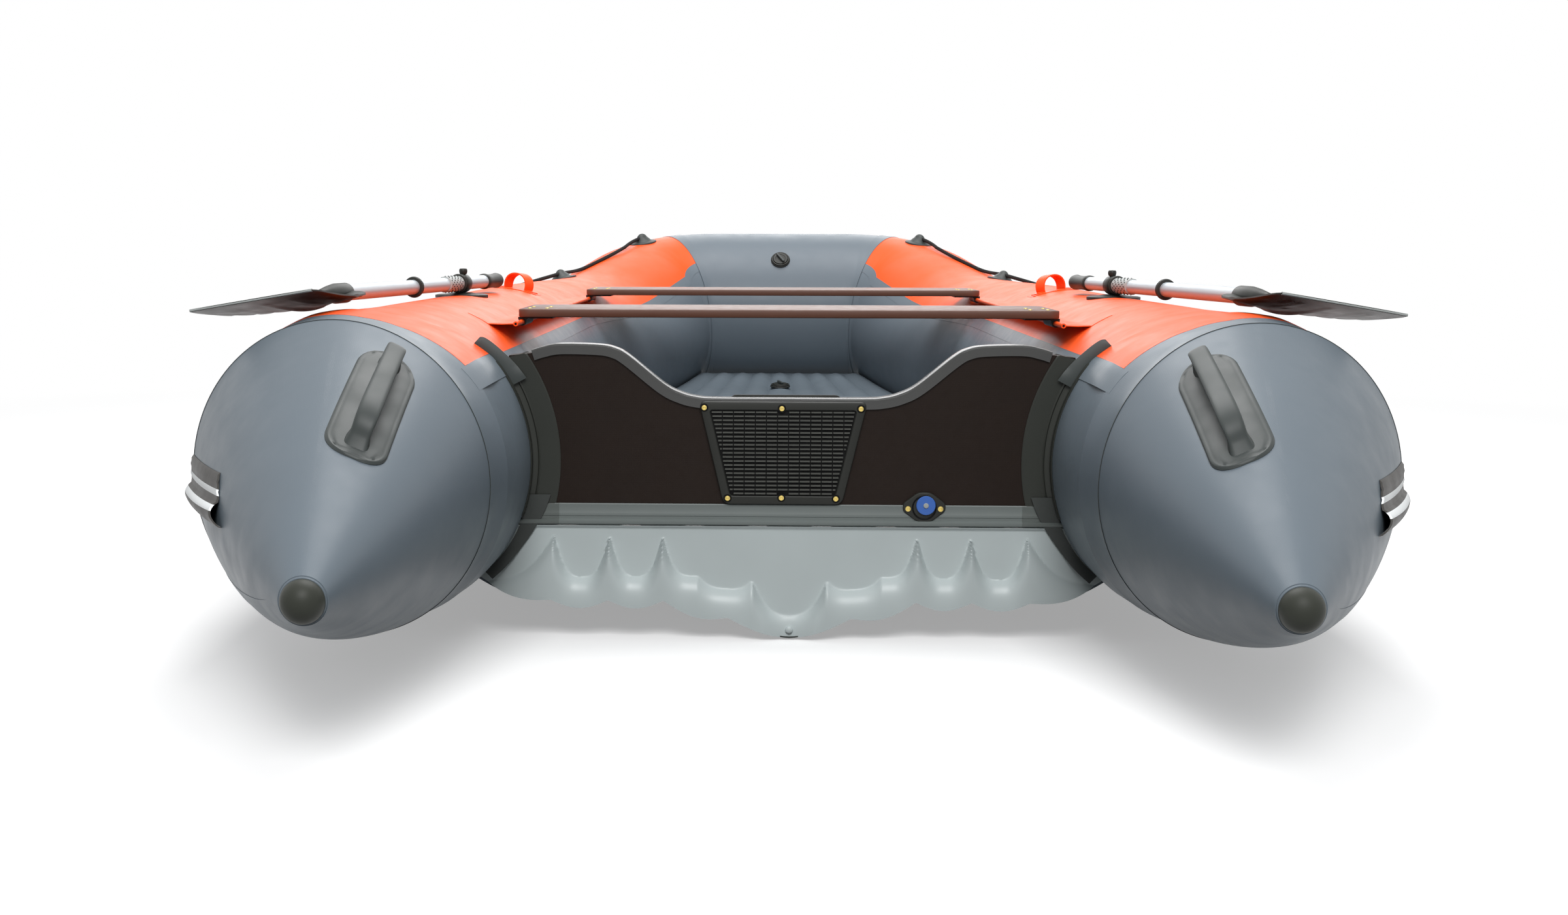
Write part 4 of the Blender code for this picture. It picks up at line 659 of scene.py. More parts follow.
class Workshop:
    """Turns meshes into finished pieces and hands them to the frame."""

    def __init__(self, frame: dict) -> None:
        """Find the transom's aft face in the frame.
        """
        self.nodes = frame["nodes"]
        self.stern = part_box("transom_board")[0].y
        self.count = 0

    def piece(self, mesh: bpy.types.Mesh, finish: Finish, body: str = "hull",
              stands_for: tuple[str, ...] = ()) -> bpy.types.Object:
        """Finish a mesh as a piece of the boat.

        Args:
            mesh: Its shape, with places along the boat from the transom's aft face.
            finish: Its material.
            body: The body that it rides on.
            stands_for: The nodes that it replaces.

        Returns:
            The piece.
        """
        mesh.transform(Matrix.Translation((0, self.stern, 0)))
        made = bpy.data.objects.new(mesh.name, mesh)
        bpy.context.scene.collection.objects.link(made)
        mesh.materials.clear()
        mesh.materials.append(finish.material())
        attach(made, body)
        if stands_for:
            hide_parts(*stands_for)
        self.count += 1
        log.info("%s: %d faces, %s, rides on %s", mesh.name, len(mesh.polygons), finish.name, body)
        return made

    def dress(self, node: str, finish: Finish) -> None:
        """Give a node that keeps its shape its finish.

        Args:
            node: The node's name.
            finish: Its material.
        """
        held = self.nodes[node]
        held.data.materials.clear()
        held.data.materials.append(finish.material())
        log.info("%s keeps its shape, %s", node, finish.name)


@dataclass(frozen=True)
class TubeLine:
    """The axis of the air tubes and the surfaces round it."""

    half_spacing: float = 0.677
    radius: float = 0.237
    height: float = 0.289
    seam_aft: float = 0.2465
    seam_slant: float = 0.26
    collar: float = 0.09
    bend_forward: float = 1.80
    knuckle_out: float = 0.545
    knuckle_forward: float = 2.25
    knuckle_rise: float = 0.009
    corner_out: float = 0.37
    bow_forward: float = 2.695
    bow_rise: float = 0.132
    bend_cut: float = 0.20
    knuckle_cut: float = 0.15
    corner_cut: float = 0.175
    seam_share: float = 0.58
    cone_length: float = 0.5535
    tip_out: float = 0.589
    tip_height: float = 0.217
    tip_radius: float = 0.0285
    cone_bulge: float = 0.012
    swell_degrees: tuple = (-180, -165, -140, -125, -50, -32, -20, -6, 6, 16, 30, 60, 90, 180)
    swell_heights: tuple = (0, 0.004, 0.018, 0.0215, 0.0215, 0.0080, 0.001, 0.0005, 0.007, 0.0115, 0.0095,
                            0.0033, 0, 0)
    crown: float = 0.0025
    crown_aft: float = 0.2
    crown_forward: float = 0.95
    pinch_aft: float = -0.012
    pinch_share: float = 0.5
    flank_forward: float = 0.25

    def swell(self, forward: np.ndarray | float, angles: np.ndarray | float) -> np.ndarray:
        """How far the tube bulges near the stern, where the board pinches it.

        Args:
            forward: Places along the boat.
            angles: Angles in radians, broadcast with the places.

        Returns:
            Heights over the round section.
        """
        station = forward - self.seam_slant * self.radius * np.sin(angles)
        rise = ease((station + self.seam_aft) / (self.seam_aft + self.pinch_aft) * 1.5)
        turned_to = (np.degrees(angles) + 180) % 360 - 180
        top = self.crown * np.clip(np.cos(angles), 0, 1) ** 2
        flank = np.interp(turned_to, self.swell_degrees, self.swell_heights) - top
        pinch = 1 - (1 - self.pinch_share) * ease((forward - self.pinch_aft) / -self.pinch_aft)
        flank = flank * pinch * (1 - ease(forward / self.flank_forward))
        fade = 1 - ease((forward - self.crown_aft) / (self.crown_forward - self.crown_aft))
        return rise * (top * fade + flank)

    def corners(self) -> list[np.ndarray]:
        """The axis as straight runs, before its corners are rounded."""
        return [
            np.array((self.half_spacing, -self.seam_aft, self.height)),
            np.array((self.half_spacing, self.bend_forward, self.height)),
            np.array((self.knuckle_out, self.knuckle_forward, self.height + self.knuckle_rise)),
            np.array((self.corner_out, self.bow_forward, self.height + self.bow_rise)),
            np.array((-self.corner_out, self.bow_forward, self.height + self.bow_rise)),
        ]

    def arc(self, number: int, shares: np.ndarray) -> list[tuple[np.ndarray, np.ndarray]]:
        """Stations on a rounded corner.

        Args:
            number: Which corner, from 1 at the first bend to 3 at the bow.
            shares: Places on it, from 0 to 1.

        Returns:
            Points and unit tangents.
        """
        before, corner, after = self.corners()[number - 1:number + 2]
        cut = (self.bend_cut, self.knuckle_cut, self.corner_cut)[number - 1]
        way_in = (corner - before) / np.linalg.norm(corner - before)
        way_out = (after - corner) / np.linalg.norm(after - corner)
        turn = math.acos(way_in.dot(way_out))
        radius = cut / math.tan(turn / 2)
        inward = (way_out - way_in * math.cos(turn)) / math.sin(turn)
        stations = []
        for share in shares:
            swing = turn * share
            way = way_in * (radius * math.sin(swing) - cut)
            point = corner + way + inward * radius * (1 - math.cos(swing))
            stations.append((point, way_in * math.cos(swing) + inward * math.sin(swing)))
        return stations

    def run(self, start: tuple[np.ndarray, np.ndarray], end: tuple[np.ndarray, np.ndarray],
            step: float) -> list[tuple[np.ndarray, np.ndarray]]:
        """Stations on a straight run, without its ends.

        Args:
            start: The station that it leaves.
            end: The station that it meets.
            step: About how far apart they lie.

        Returns:
            Points and unit tangents.
        """
        count = max(int(np.linalg.norm(end[0] - start[0]) / step), 1)
        return [(start[0] + (end[0] - start[0]) * k / count, start[1]) for k in range(1, count)]

    def side_line(self, step: float = 0.035) -> tuple[np.ndarray, np.ndarray]:
        """The starboard axis from the collar to the bow seam.

        Args:
            step: About how far apart the stations lie.

        Returns:
            Points and tangents.
        """
        first = (np.array((self.half_spacing, 0.0, self.height)), np.array((0.0, 1.0, 0.0)))
        stations = [first]
        for number in (1, 2, 3):
            end = self.seam_share if number == 3 else 1.0
            bend = self.arc(number, np.linspace(0, end, 16))
            stations += self.run(stations[-1], bend[0], step) + bend
        return np.array([s[0] for s in stations]), np.array([s[1] for s in stations])

    def bow_line(self) -> tuple[np.ndarray, np.ndarray]:
        """The axis across the bow, from the starboard seam to the port one."""
        half = self.arc(3, np.linspace(self.seam_share, 1, 16))
        middle = (np.array((0.0, self.bow_forward, self.height + self.bow_rise)), np.array((-1.0, 0, 0)))
        half += self.run(half[-1], middle, 0.04) + [middle]
        other = [(p * (-1, 1, 1), t * (1, -1, -1)) for p, t in reversed(half[:-1])]
        stations = half + other
        return np.array([s[0] for s in stations]), np.array([s[1] for s in stations])

    def whole_line(self) -> tuple[np.ndarray, np.ndarray]:
        """The starboard axis from the transom to the middle of the bow."""
        points, tangents = self.side_line()
        bow, bow_tangents = self.bow_line()
        half = len(bow) // 2 + 1
        return np.concatenate([points, bow[1:half]]), np.concatenate([tangents, bow_tangents[1:half]])

    @staticmethod
    def ring(points: np.ndarray, tangents: np.ndarray, angles: np.ndarray,
             radius: np.ndarray | float) -> np.ndarray:
        """Points round the axis; the angle runs from the top, outboard.

        Args:
            points: Places on the axis.
            tangents: Directions there.
            angles: Angles in radians.
            radius: Distance from the axis, one value or a grid.

        Returns:
            A grid of points.
        """
        outward = np.cross(tangents, (0, 0, 1))
        outward /= np.linalg.norm(outward, axis=1)[:, None]
        upward = np.cross(outward, tangents)
        sine, cosine = np.sin(angles)[None, :, None], np.cos(angles)[None, :, None]
        spin = outward[:, None] * sine + upward[:, None] * cosine
        radius = radius + TUBE.swell(points[:, 1:2], np.asarray(angles)[None, :])
        return points[:, None] + spin * radius[:, :, None]

    def around(self, forward: np.ndarray | float, angles: np.ndarray, reach: np.ndarray) -> np.ndarray:
        """Points round the starboard tube's straight axis.

        Args:
            forward: Places along the boat.
            angles: Angles in radians.
            reach: Distances from the axis.

        Returns:
            Points with the arguments' common shape.
        """
        out, up = reach * np.sin(angles), reach * np.cos(angles)
        return np.stack(np.broadcast_arrays(self.half_spacing + out, forward, self.height + up), -1)

    def on_straight(self, forward: np.ndarray, angles: np.ndarray,
                    height: np.ndarray | float) -> np.ndarray:
        """Points over the straight part of the starboard tube.

        Args:
            forward: Places along the boat.
            angles: Angles in radians, one for each column, or a grid.
            height: Height over the skin, one value or a grid.

        Returns:
            A grid of points.
        """
        forward = np.asarray(forward, float)
        turn = np.broadcast_to(angles, (len(forward), np.shape(angles)[-1]))
        along = np.broadcast_to(forward[:, None], turn.shape)
        return self.around(along, turn, self.radius + height + self.swell(along, turn))

    def slanted(self, forward: float, angles: np.ndarray, height: float) -> np.ndarray:
        """A slanted ring at the stern.

        Args:
            forward: Its place on the axis.
            angles: Angles in radians.
            height: Height over the skin.

        Returns:
            A row of points.
        """
        plain = self.seam_slant * self.radius * np.sin(angles)
        reach = self.radius + height + self.swell(forward + plain, angles)
        return self.around(forward + self.seam_slant * reach * np.sin(angles), angles, reach)

    def cone_radius(self, share: np.ndarray | float) -> np.ndarray | float:
        """Radius of the cone at a share of its length, fuller than a straight one."""
        straight = self.radius + (self.tip_radius - self.radius) * share
        return straight + self.cone_bulge * 4 * share * (1 - share)

    def on_cone(self, share: np.ndarray | float, angle: np.ndarray | float,
                height: np.ndarray | float = 0.0) -> np.ndarray:
        """Points over the starboard cone.

        Args:
            share: From 0 at the seam to 1 at the tip.
            angle: From the top, outboard, in radians.
            height: Height over the skin.

        Returns:
            Points with the arguments' common shape.
        """
        share, angle, height = np.broadcast_arrays(share, angle, height)
        out = self.half_spacing + (self.tip_out - self.half_spacing) * share
        up = self.height + (self.tip_height - self.height) * share
        radius = self.cone_radius(share)
        slant = self.seam_slant * (1 - share) * radius * np.sin(angle)
        reach = radius + height
        return np.stack([
            out + reach * np.sin(angle), -self.seam_aft - self.cone_length * share + slant,
            up + reach * np.cos(angle),
        ], -1)

    def distance(self, points: np.ndarray) -> np.ndarray:
        """Distance from points to the starboard axis.

        Args:
            points: Points, one in each row.

        Returns:
            One distance for each point.
        """
        line, _ = self.whole_line()
        line = np.concatenate([[[self.half_spacing, -self.seam_aft, self.height]], line])
        start, run = line[:-1], np.diff(line, axis=0)
        gap = points[:, None] - start[None]
        share = np.clip((gap * run).sum(-1) / (run * run).sum(-1), 0, 1)
        return np.linalg.norm(gap - run * share[..., None], axis=-1).min(1)


TUBE = TubeLine()


@dataclass
class AirTubes:
    """The fabric skins of the tubes, the cones and what is glued along their seams."""

    shop: Workshop
    upper_inboard: float = math.radians(-48)
    upper_outboard: float = math.radians(83)
    skin: float = 0.0012
    lap: float = 0.0009
    lap_width: float = 0.014
    tape_width: float = 0.03
    tape_start: float = 0.05
    patch_foot: float = math.radians(-58)
    patch_places: tuple = (-0.225, -0.006)
    pinch_rows: tuple = (-0.088, -0.07, -0.05, -0.035, -0.024, -0.016, -0.012, -0.009, -0.006, -0.003,
                         -0.001)
    collar_step: float = 0.0005
    # Width of the dark band round the cone's seam: painted shade for the shadow in the seam's step.
    seam_shadow_line: float = 0.0016
    wrinkle: float = 0.0007
    wrinkle_pitch: float = 0.061
    ring_steps: int = 132
    cap_reach: float = 0.027
    tip_ring: tuple = (0.93, 0.995)
    cone_seam_angle: float = math.radians(128)
    cone_seam_width: float = 0.02

    def build(self) -> None:
        """Make every skin, tape and cap."""
        for side_name, side in SIDES.items():
            self.panels(side_name, side)
            self.cone(side_name, side)
            self.tapes(side_name, side)
            self.shop.dress(f"bulkhead_{side_name}", GREY_PVC)
        self.bow()
        self.bow_bands()

    def creases(self, points: np.ndarray, tangents: np.ndarray, angles: np.ndarray) -> np.ndarray:
        """Small folds on the inner side of the bends, where the fabric is short.

        Args:
            points: Places on the axis.
            tangents: Directions there.
            angles: Angles round it.

        Returns:
            A grid of heights over the plain skin.
        """
        along = cumulative(points)
        bend = np.linalg.norm(np.gradient(tangents, axis=0), axis=1) / np.maximum(np.gradient(along), 1e-6)
        weight = np.convolve(np.clip(bend / 2.0, 0, 1), np.ones(9) / 9, "same")
        inboard = np.clip(-np.sin(angles), 0, 1) ** 1.4
        phase = along[:, None] / self.wrinkle_pitch * 2 * math.pi + 2.2 * np.sin(angles * 3)[None, :]
        ridges = 0.5 + 0.5 * np.cos(phase + 1.9 * np.sin(phase * 0.37))
        uneven = 0.5 + 0.5 * np.sin(phase * 0.23 + 4.1 * np.cos(angles * 2)[None, :])
        return -self.wrinkle * 2.2 * weight[:, None] * inboard[None, :] * ridges ** 3 * uneven

    def panels(self, side_name: str, side: float) -> None:
        """The orange upper panel and the grey lower panel of one side.

        Args:
            side_name: "port" or "starboard".
            side: -1 or 1.
        """
        points, tangents = TUBE.side_line()
        lap = self.lap_width / TUBE.radius
        edge = -TUBE.seam_aft + TUBE.collar
        for name, start, end, lift, finish in (
            ("upper", self.upper_inboard, self.upper_outboard, self.lap, ORANGE_PVC),
            ("lower", self.upper_outboard - lap, 2 * math.pi + self.upper_inboard + lap, 0.0, GREY_PVC),
        ):
            angles = np.linspace(start, end, round((end - start) / (2 * math.pi) * self.ring_steps) + 1)
            folds = self.creases(points, tangents, angles)
            skins = []
            for height in (lift, lift - self.skin):
                first = TUBE.slanted(edge, angles, height)
                pinched = TUBE.on_straight(self.pinch_rows, angles, height)
                rest = TUBE.ring(points, tangents, angles, TUBE.radius + height + folds)
                skins.append(mirrored(np.concatenate([[first], pinched, rest]), side))
            mesh = shell(f"{name}_panel_{side_name}", *skins)
            stands = (f"side_tube_{name}_{side_name}", f"shoulder_{name}_{side_name}")
            self.shop.piece(mesh, finish, stands_for=stands)

    def bow(self) -> None:
        """The grey tube across the bow."""
        points, tangents = TUBE.bow_line()
        angles = np.arange(self.ring_steps) * 2 * math.pi / self.ring_steps
        folds = self.creases(points, tangents, angles)
        skins = [TUBE.ring(points, tangents, angles, TUBE.radius + h + folds) for h in (0.0, -self.skin)]
        self.shop.piece(shell("bow_skin", *skins, wrap=True), GREY_PVC, stands_for=("bow_tube",))

    def bow_bands(self) -> None:
        """The tapes over the two seams where the bow tube meets the sides."""
        angles = np.arange(self.ring_steps) * 2 * math.pi / self.ring_steps
        points, tangents = TUBE.bow_line()
        band = slice(0, 5)
        height = self.lap + self.skin
        for side_name, side in SIDES.items():
            folds = self.creases(points, tangents, angles)[band]
            skins = [
                mirrored(TUBE.ring(points[band], tangents[band], angles, TUBE.radius + h + folds), side)
                for h in (height, 0.0002)
            ]
            self.shop.piece(shell(f"bow_seam_tape_{side_name}", *skins, wrap=True), GREY_PVC)

    def cone(self, side_name: str, side: float) -> None:
        """The collar, the stern cone and its cap.

        Args:
            side_name: "port" or "starboard".
            side: -1 or 1.
        """
        angles = np.arange(self.ring_steps) * 2 * math.pi / self.ring_steps
        edge = -TUBE.seam_aft + TUBE.collar
        shares = np.linspace(0, 1, 40)
        grids = []
        for depth in (0.0, self.skin):
            rows = [TUBE.slanted(place, angles, self.collar_step - depth)
                    for place in np.linspace(edge, -TUBE.seam_aft, 8)]
            rows.append(TUBE.slanted(-TUBE.seam_aft - self.collar_step / 2, angles, -depth))
            rows += [TUBE.on_cone(share, angles, -depth) for share in shares[1:]]
            grids.append(mirrored(np.array(rows), side))
        mesh = shell(f"cone_skin_{side_name}", *grids, wrap=True, crease=28.0)
        self.shop.piece(mesh, GREY_PVC, stands_for=(f"stern_cone_{side_name}",))
        # A thin band of the darker fabric round the cone's seam: painted shade standing in for the shadow in
        # the seam's step.
        half = self.seam_shadow_line / 2
        rows = [mirrored(np.array([TUBE.slanted(-TUBE.seam_aft + way, angles, self.collar_step + lift)
                                   for way in (-half, 0.0, half)]), side) for lift in (0.0004, -0.0004)]
        self.shop.piece(shell(f"cone_glue_line_{side_name}", *rows, wrap=True), DARK_PVC)
        self.cone_cap(side_name, side)
        self.cone_seam(side_name, side, angles)

    def cone_cap(self, side_name: str, side: float) -> None:
        """The moulded rubber cap on the cone's tip.

        Args:
            side_name: "port" or "starboard".
            side: -1 or 1.
        """
        foot, reach = TUBE.tip_radius - 0.001, self.cap_reach
        arc = np.linspace(-0.5, math.pi / 2, 18)
        profile = [(foot * math.cos(a), reach * math.sin(a)) for a in arc[:-1]] + [(0.0, reach)]
        place = Matrix.Translation((side * TUBE.tip_out, -TUBE.seam_aft - TUBE.cone_length, TUBE.tip_height))
        mesh = turned(f"tip_cap_{side_name}", profile, place @ TO_AFT)
        self.shop.piece(mesh, CAP_RUBBER, stands_for=(f"cone_cap_{side_name}",))

    def cone_seam(self, side_name: str, side: float, angles: np.ndarray) -> None:
        """The reinforcing ring near the tip and the lap seam along the cone.

        Args:
            side_name: "port" or "starboard".
            side: -1 or 1.
            angles: Angles of the cone's rings.
        """
        shares = np.linspace(*self.tip_ring, 6)[:, None]
        rows = [mirrored(TUBE.on_cone(shares, angles[None, :], h), side) for h in TAPE]
        self.shop.piece(shell(f"tip_ring_{side_name}", *rows, wrap=True), GREY_PVC)
        shares = np.linspace(0.03, self.tip_ring[0], 30)[:, None]
        width = self.cone_seam_width / (TUBE.radius * (1.02 - shares))
        across = self.cone_seam_angle + np.linspace(-0.5, 0.5, 5)[None, :] * width
        rows = [mirrored(TUBE.on_cone(shares, across, h), side) for h in TAPE]
        self.shop.piece(shell(f"cone_seam_{side_name}", *rows), GREY_PVC)

    def tapes(self, side_name: str, side: float) -> None:
        """The tape along the inboard seam and the patch over its stern end.

        Args:
            side_name: "port" or "starboard".
            side: -1 or 1.
        """
        points, tangents = TUBE.side_line()
        width = self.tape_width / TUBE.radius
        angles = np.linspace(self.upper_inboard - width, self.upper_inboard, 5)
        keep = points[:, 1] > self.tape_start
        folds = self.creases(points, tangents, angles)[keep]
        rows = [
            mirrored(TUBE.ring(points[keep], tangents[keep], angles, TUBE.radius + h + folds), side)
            for h in (0.0007, 0.0001)
        ]
        self.shop.piece(shell(f"seam_tape_{side_name}", *rows), GREY_PVC)
        angles = np.linspace(self.patch_foot, self.upper_inboard - 0.002, 7)
        forward = np.linspace(*self.patch_places, 26)
        rows = [mirrored(TUBE.on_straight(forward, angles, h), side) for h in (0.0012, 0.0001)]
        self.shop.piece(shell(f"stern_patch_{side_name}", *rows), GREY_PVC)


@dataclass
class RubStrake:
    """The striped rubber strake round the outside of the boat."""

    shop: Workshop
    top: float = 0.028
    thickness: float = 0.004
    bulge: float = 0.017
    bulge_height: float = 0.035
    wall: float = 0.003
    edge: float = 0.0012
    # Down from the top edge: where the fine ribs end, where the bulge ends and the lower edge.
    ribbed: float = 0.041
    bulged: float = 0.0755
    width: float = 0.076
    rib_pitch: float = 0.0138
    rib_height: float = 0.0011
    end_top: float = 0.3239
    end_height: float = 0.065
    end_share: float = 0.41
    end_foot_share: float = 0.53

    def over_cone(self, depth: np.ndarray, height: np.ndarray) -> np.ndarray:
        """The strake on the cone, where it runs on level, to its slanted end.

        Args:
            depth: Distances below its top edge.
            height: Height over the skin for each depth.

        Returns:
            A grid of points, from the end to the cone's seam.
        """
        way = np.linspace(1, 0, 12)[:, None]
        drop = depth / depth[-1]
        share = way * (self.end_share + (self.end_foot_share - self.end_share) * drop)[None, :]
        level = TUBE.height + self.top - depth
        level = level + (self.end_top - self.end_height * drop - level) * way
        centre = TUBE.height + (TUBE.tip_height - TUBE.height) * share
        return TUBE.on_cone(share, np.arccos((level - centre) / TUBE.cone_radius(share)), height[None, :])

    def build(self) -> None:
        """Sweep the hollow profile from cone to cone round the bow."""
        depth = np.concatenate([np.linspace(0, self.ribbed, 10),
                                np.linspace(self.ribbed + 0.0005, self.bulged, 15), [self.width]])
        angles = np.arccos((self.top - depth) / TUBE.radius)
        bump = np.clip((depth - self.ribbed) / self.bulge_height, 0, 1)
        height = self.thickness + (self.bulge - self.thickness) * np.sin(math.pi * bump) ** 0.8
        height += self.rib_height * (np.cos(depth / self.rib_pitch * 2 * math.pi) > 0.4) * (bump <= 0)
        height[0] = height[-1] = self.edge
        inside = np.maximum(height - self.wall, 0.0003)
        points, tangents = TUBE.whole_line()
        grids = []
        for profile in (height, inside):
            cone = self.over_cone(depth, profile)
            rest = TUBE.ring(points, tangents, angles, TUBE.radius + profile[None, :])
            half = np.concatenate([cone, rest])
            grids.append(np.concatenate([half, mirrored(half[-2::-1], -1)]))
        mesh = shell("rubbing_strake", *grids, across=depth)
        self.shop.piece(mesh, STRAKE_RUBBER, stands_for=("rub_strake_port", "rub_strake_starboard"))


@dataclass
class AirFloor:
    """The lobed air floor with the keel and the scalloped bottom under it."""

    shop: Workshop
    aft: float = 0.004
    forward: float = 2.515
    clear: float = 0.0013
    top_stern: float = 0.1895
    top_mid: float = 0.206
    top_bow: float = 0.25
    rise_start: float = 2.1
    valley: float = 0.012
    lobes: int = 9
    lobe_steps: int = 12
    side_depth: float = 0.185
    keel_rise_start: float = 1.6
    keel_rise_share: float = 0.93
    cusps: tuple = (0.1, 0.2045, 0.2945, 0.388)
    keel_cusp: float = 0.035
    lobe_cusp: float = 0.0625
    lobe_drop: float = 0.0135
    corner_out: float = 0.51
    corner_height: float = 0.099
    strip_half: float = 0.028
    strip_thickness: float = 0.0024
    strip_ends: tuple = (-0.014, 2.3)

    def build(self) -> None:
        """Loft the floor and lay the keel strip under it."""
        places = self.aft + (self.forward - self.aft) * np.concatenate([
            [0, 0.002], np.linspace(0.006, 0.6, 12), np.linspace(0.63, 0.985, 22), [0.992, 0.997, 1.0]])
        rings = np.array([self.ring(forward) for forward in places])
        floor = self.shop.piece(loft("air_floor", rings, 60.0), GREY_PVC, stands_for=("inflatable_floor",))
        self.keel_strip()

    def top(self, forward: float) -> float:
        """Crest height of the channels at a place along the boat."""
        steady = self.top_stern + (self.top_mid - self.top_stern) * forward / self.rise_start
        rise = max(forward - self.rise_start, 0) / (self.forward - self.rise_start)
        return steady + (self.top_bow - self.top_mid) * rise ** 1.5

    def keel_rise(self, forward: float) -> float:
        """How far, as a share, the bottom has risen to the foot of the floor's side."""
        run = self.forward - self.keel_rise_start
        return self.keel_rise_share * ease((forward - self.keel_rise_start) / run)

    def side_foot(self, forward: float) -> float:
        """Height at which the floor's side meets its bottom."""
        line, _ = TUBE.whole_line()
        return max(np.interp(forward, line[:, 1], line[:, 2]) - self.side_depth, self.corner_height)

    def half_breadth(self, forward: float, heights: np.ndarray) -> np.ndarray:
        """Half the breadth between the tubes.

        Args:
            forward: The place along the boat.
            heights: Heights to measure at.

        Returns:
            One half breadth for each height.
        """
        low = np.zeros(len(heights))
        high = np.full(len(heights), TUBE.half_spacing)
        for _ in range(18):
            middle = (low + high) / 2
            probe = np.stack([middle, np.full(len(heights), forward), heights], -1)
            free = TUBE.distance(probe) > TUBE.radius + self.clear
            low, high = np.where(free, middle, low), np.where(free, high, middle)
        return low

    def bottom(self) -> np.ndarray:
        """Points of the scalloped underside from the keel out, as x and height."""
        quarter = np.arange(self.lobe_steps) / self.lobe_steps
        points = [(self.cusps[0] * t, self.keel_cusp * t ** 1.6) for t in quarter]
        edges = self.cusps + (self.corner_out,)
        heights = (self.keel_cusp,) + (self.lobe_cusp,) * (len(self.cusps) - 1) + (self.corner_height,)
        for k in range(len(edges) - 1):
            for t in quarter:
                drop = self.lobe_drop * math.sin(math.pi * t)
                points.append((edges[k] + (edges[k + 1] - edges[k]) * t,
                               heights[k] + (heights[k + 1] - heights[k]) * t - drop))
        return np.array(points + [(self.corner_out, self.corner_height)])

    def ring(self, forward: float) -> np.ndarray:
        """One section of the floor.

        Args:
            forward: Its place along the boat.

        Returns:
            Points round it.
        """
        edge = self.top(forward) - self.valley
        foot = min(self.side_foot(forward), edge - self.valley)
        heights = np.linspace(edge, foot, 7)
        halves = self.half_breadth(forward, heights)
        share = np.linspace(0, 1, self.lobes * self.lobe_steps // 2 + 1)
        wave = np.abs(np.sin(math.pi * (share * self.lobes / 2 + 0.5)))
        end = 1 - ease((forward - (self.forward - 0.05)) / 0.05)
        top = np.stack([halves[0] * share, edge + self.valley * wave ** 0.8 * end], -1)
        side = np.stack([halves[1:], heights[1:]], -1)
        under = self.bottom()[::-1]
        under = np.stack([(halves[-1] - self.valley / 2) * under[:, 0] / self.corner_out,
                          under[:, 1] + (foot - under[:, 1]) * self.keel_rise(forward)], -1)
        right = np.concatenate([top, side, under])
        ring = np.concatenate([right, (right * (-1, 1))[-2:0:-1]])
        return standing(ring, forward)

    def keel_strip(self) -> None:
        """The dark strip along the underside of the keel."""
        x = np.linspace(-self.strip_half, self.strip_half, 7)
        z = self.keel_cusp * (np.abs(x) / self.cusps[0]) ** 1.6
        low = []
        for forward in np.linspace(*self.strip_ends, 40):
            rise = (self.side_foot(forward) - z) * self.keel_rise(forward)
            low.append(standing(np.stack([x, z + rise], -1), forward))
        low = np.array(low)
        self.shop.piece(shell("keel_strip", low, low + (0, 0, self.strip_thickness)), DARK_PVC)


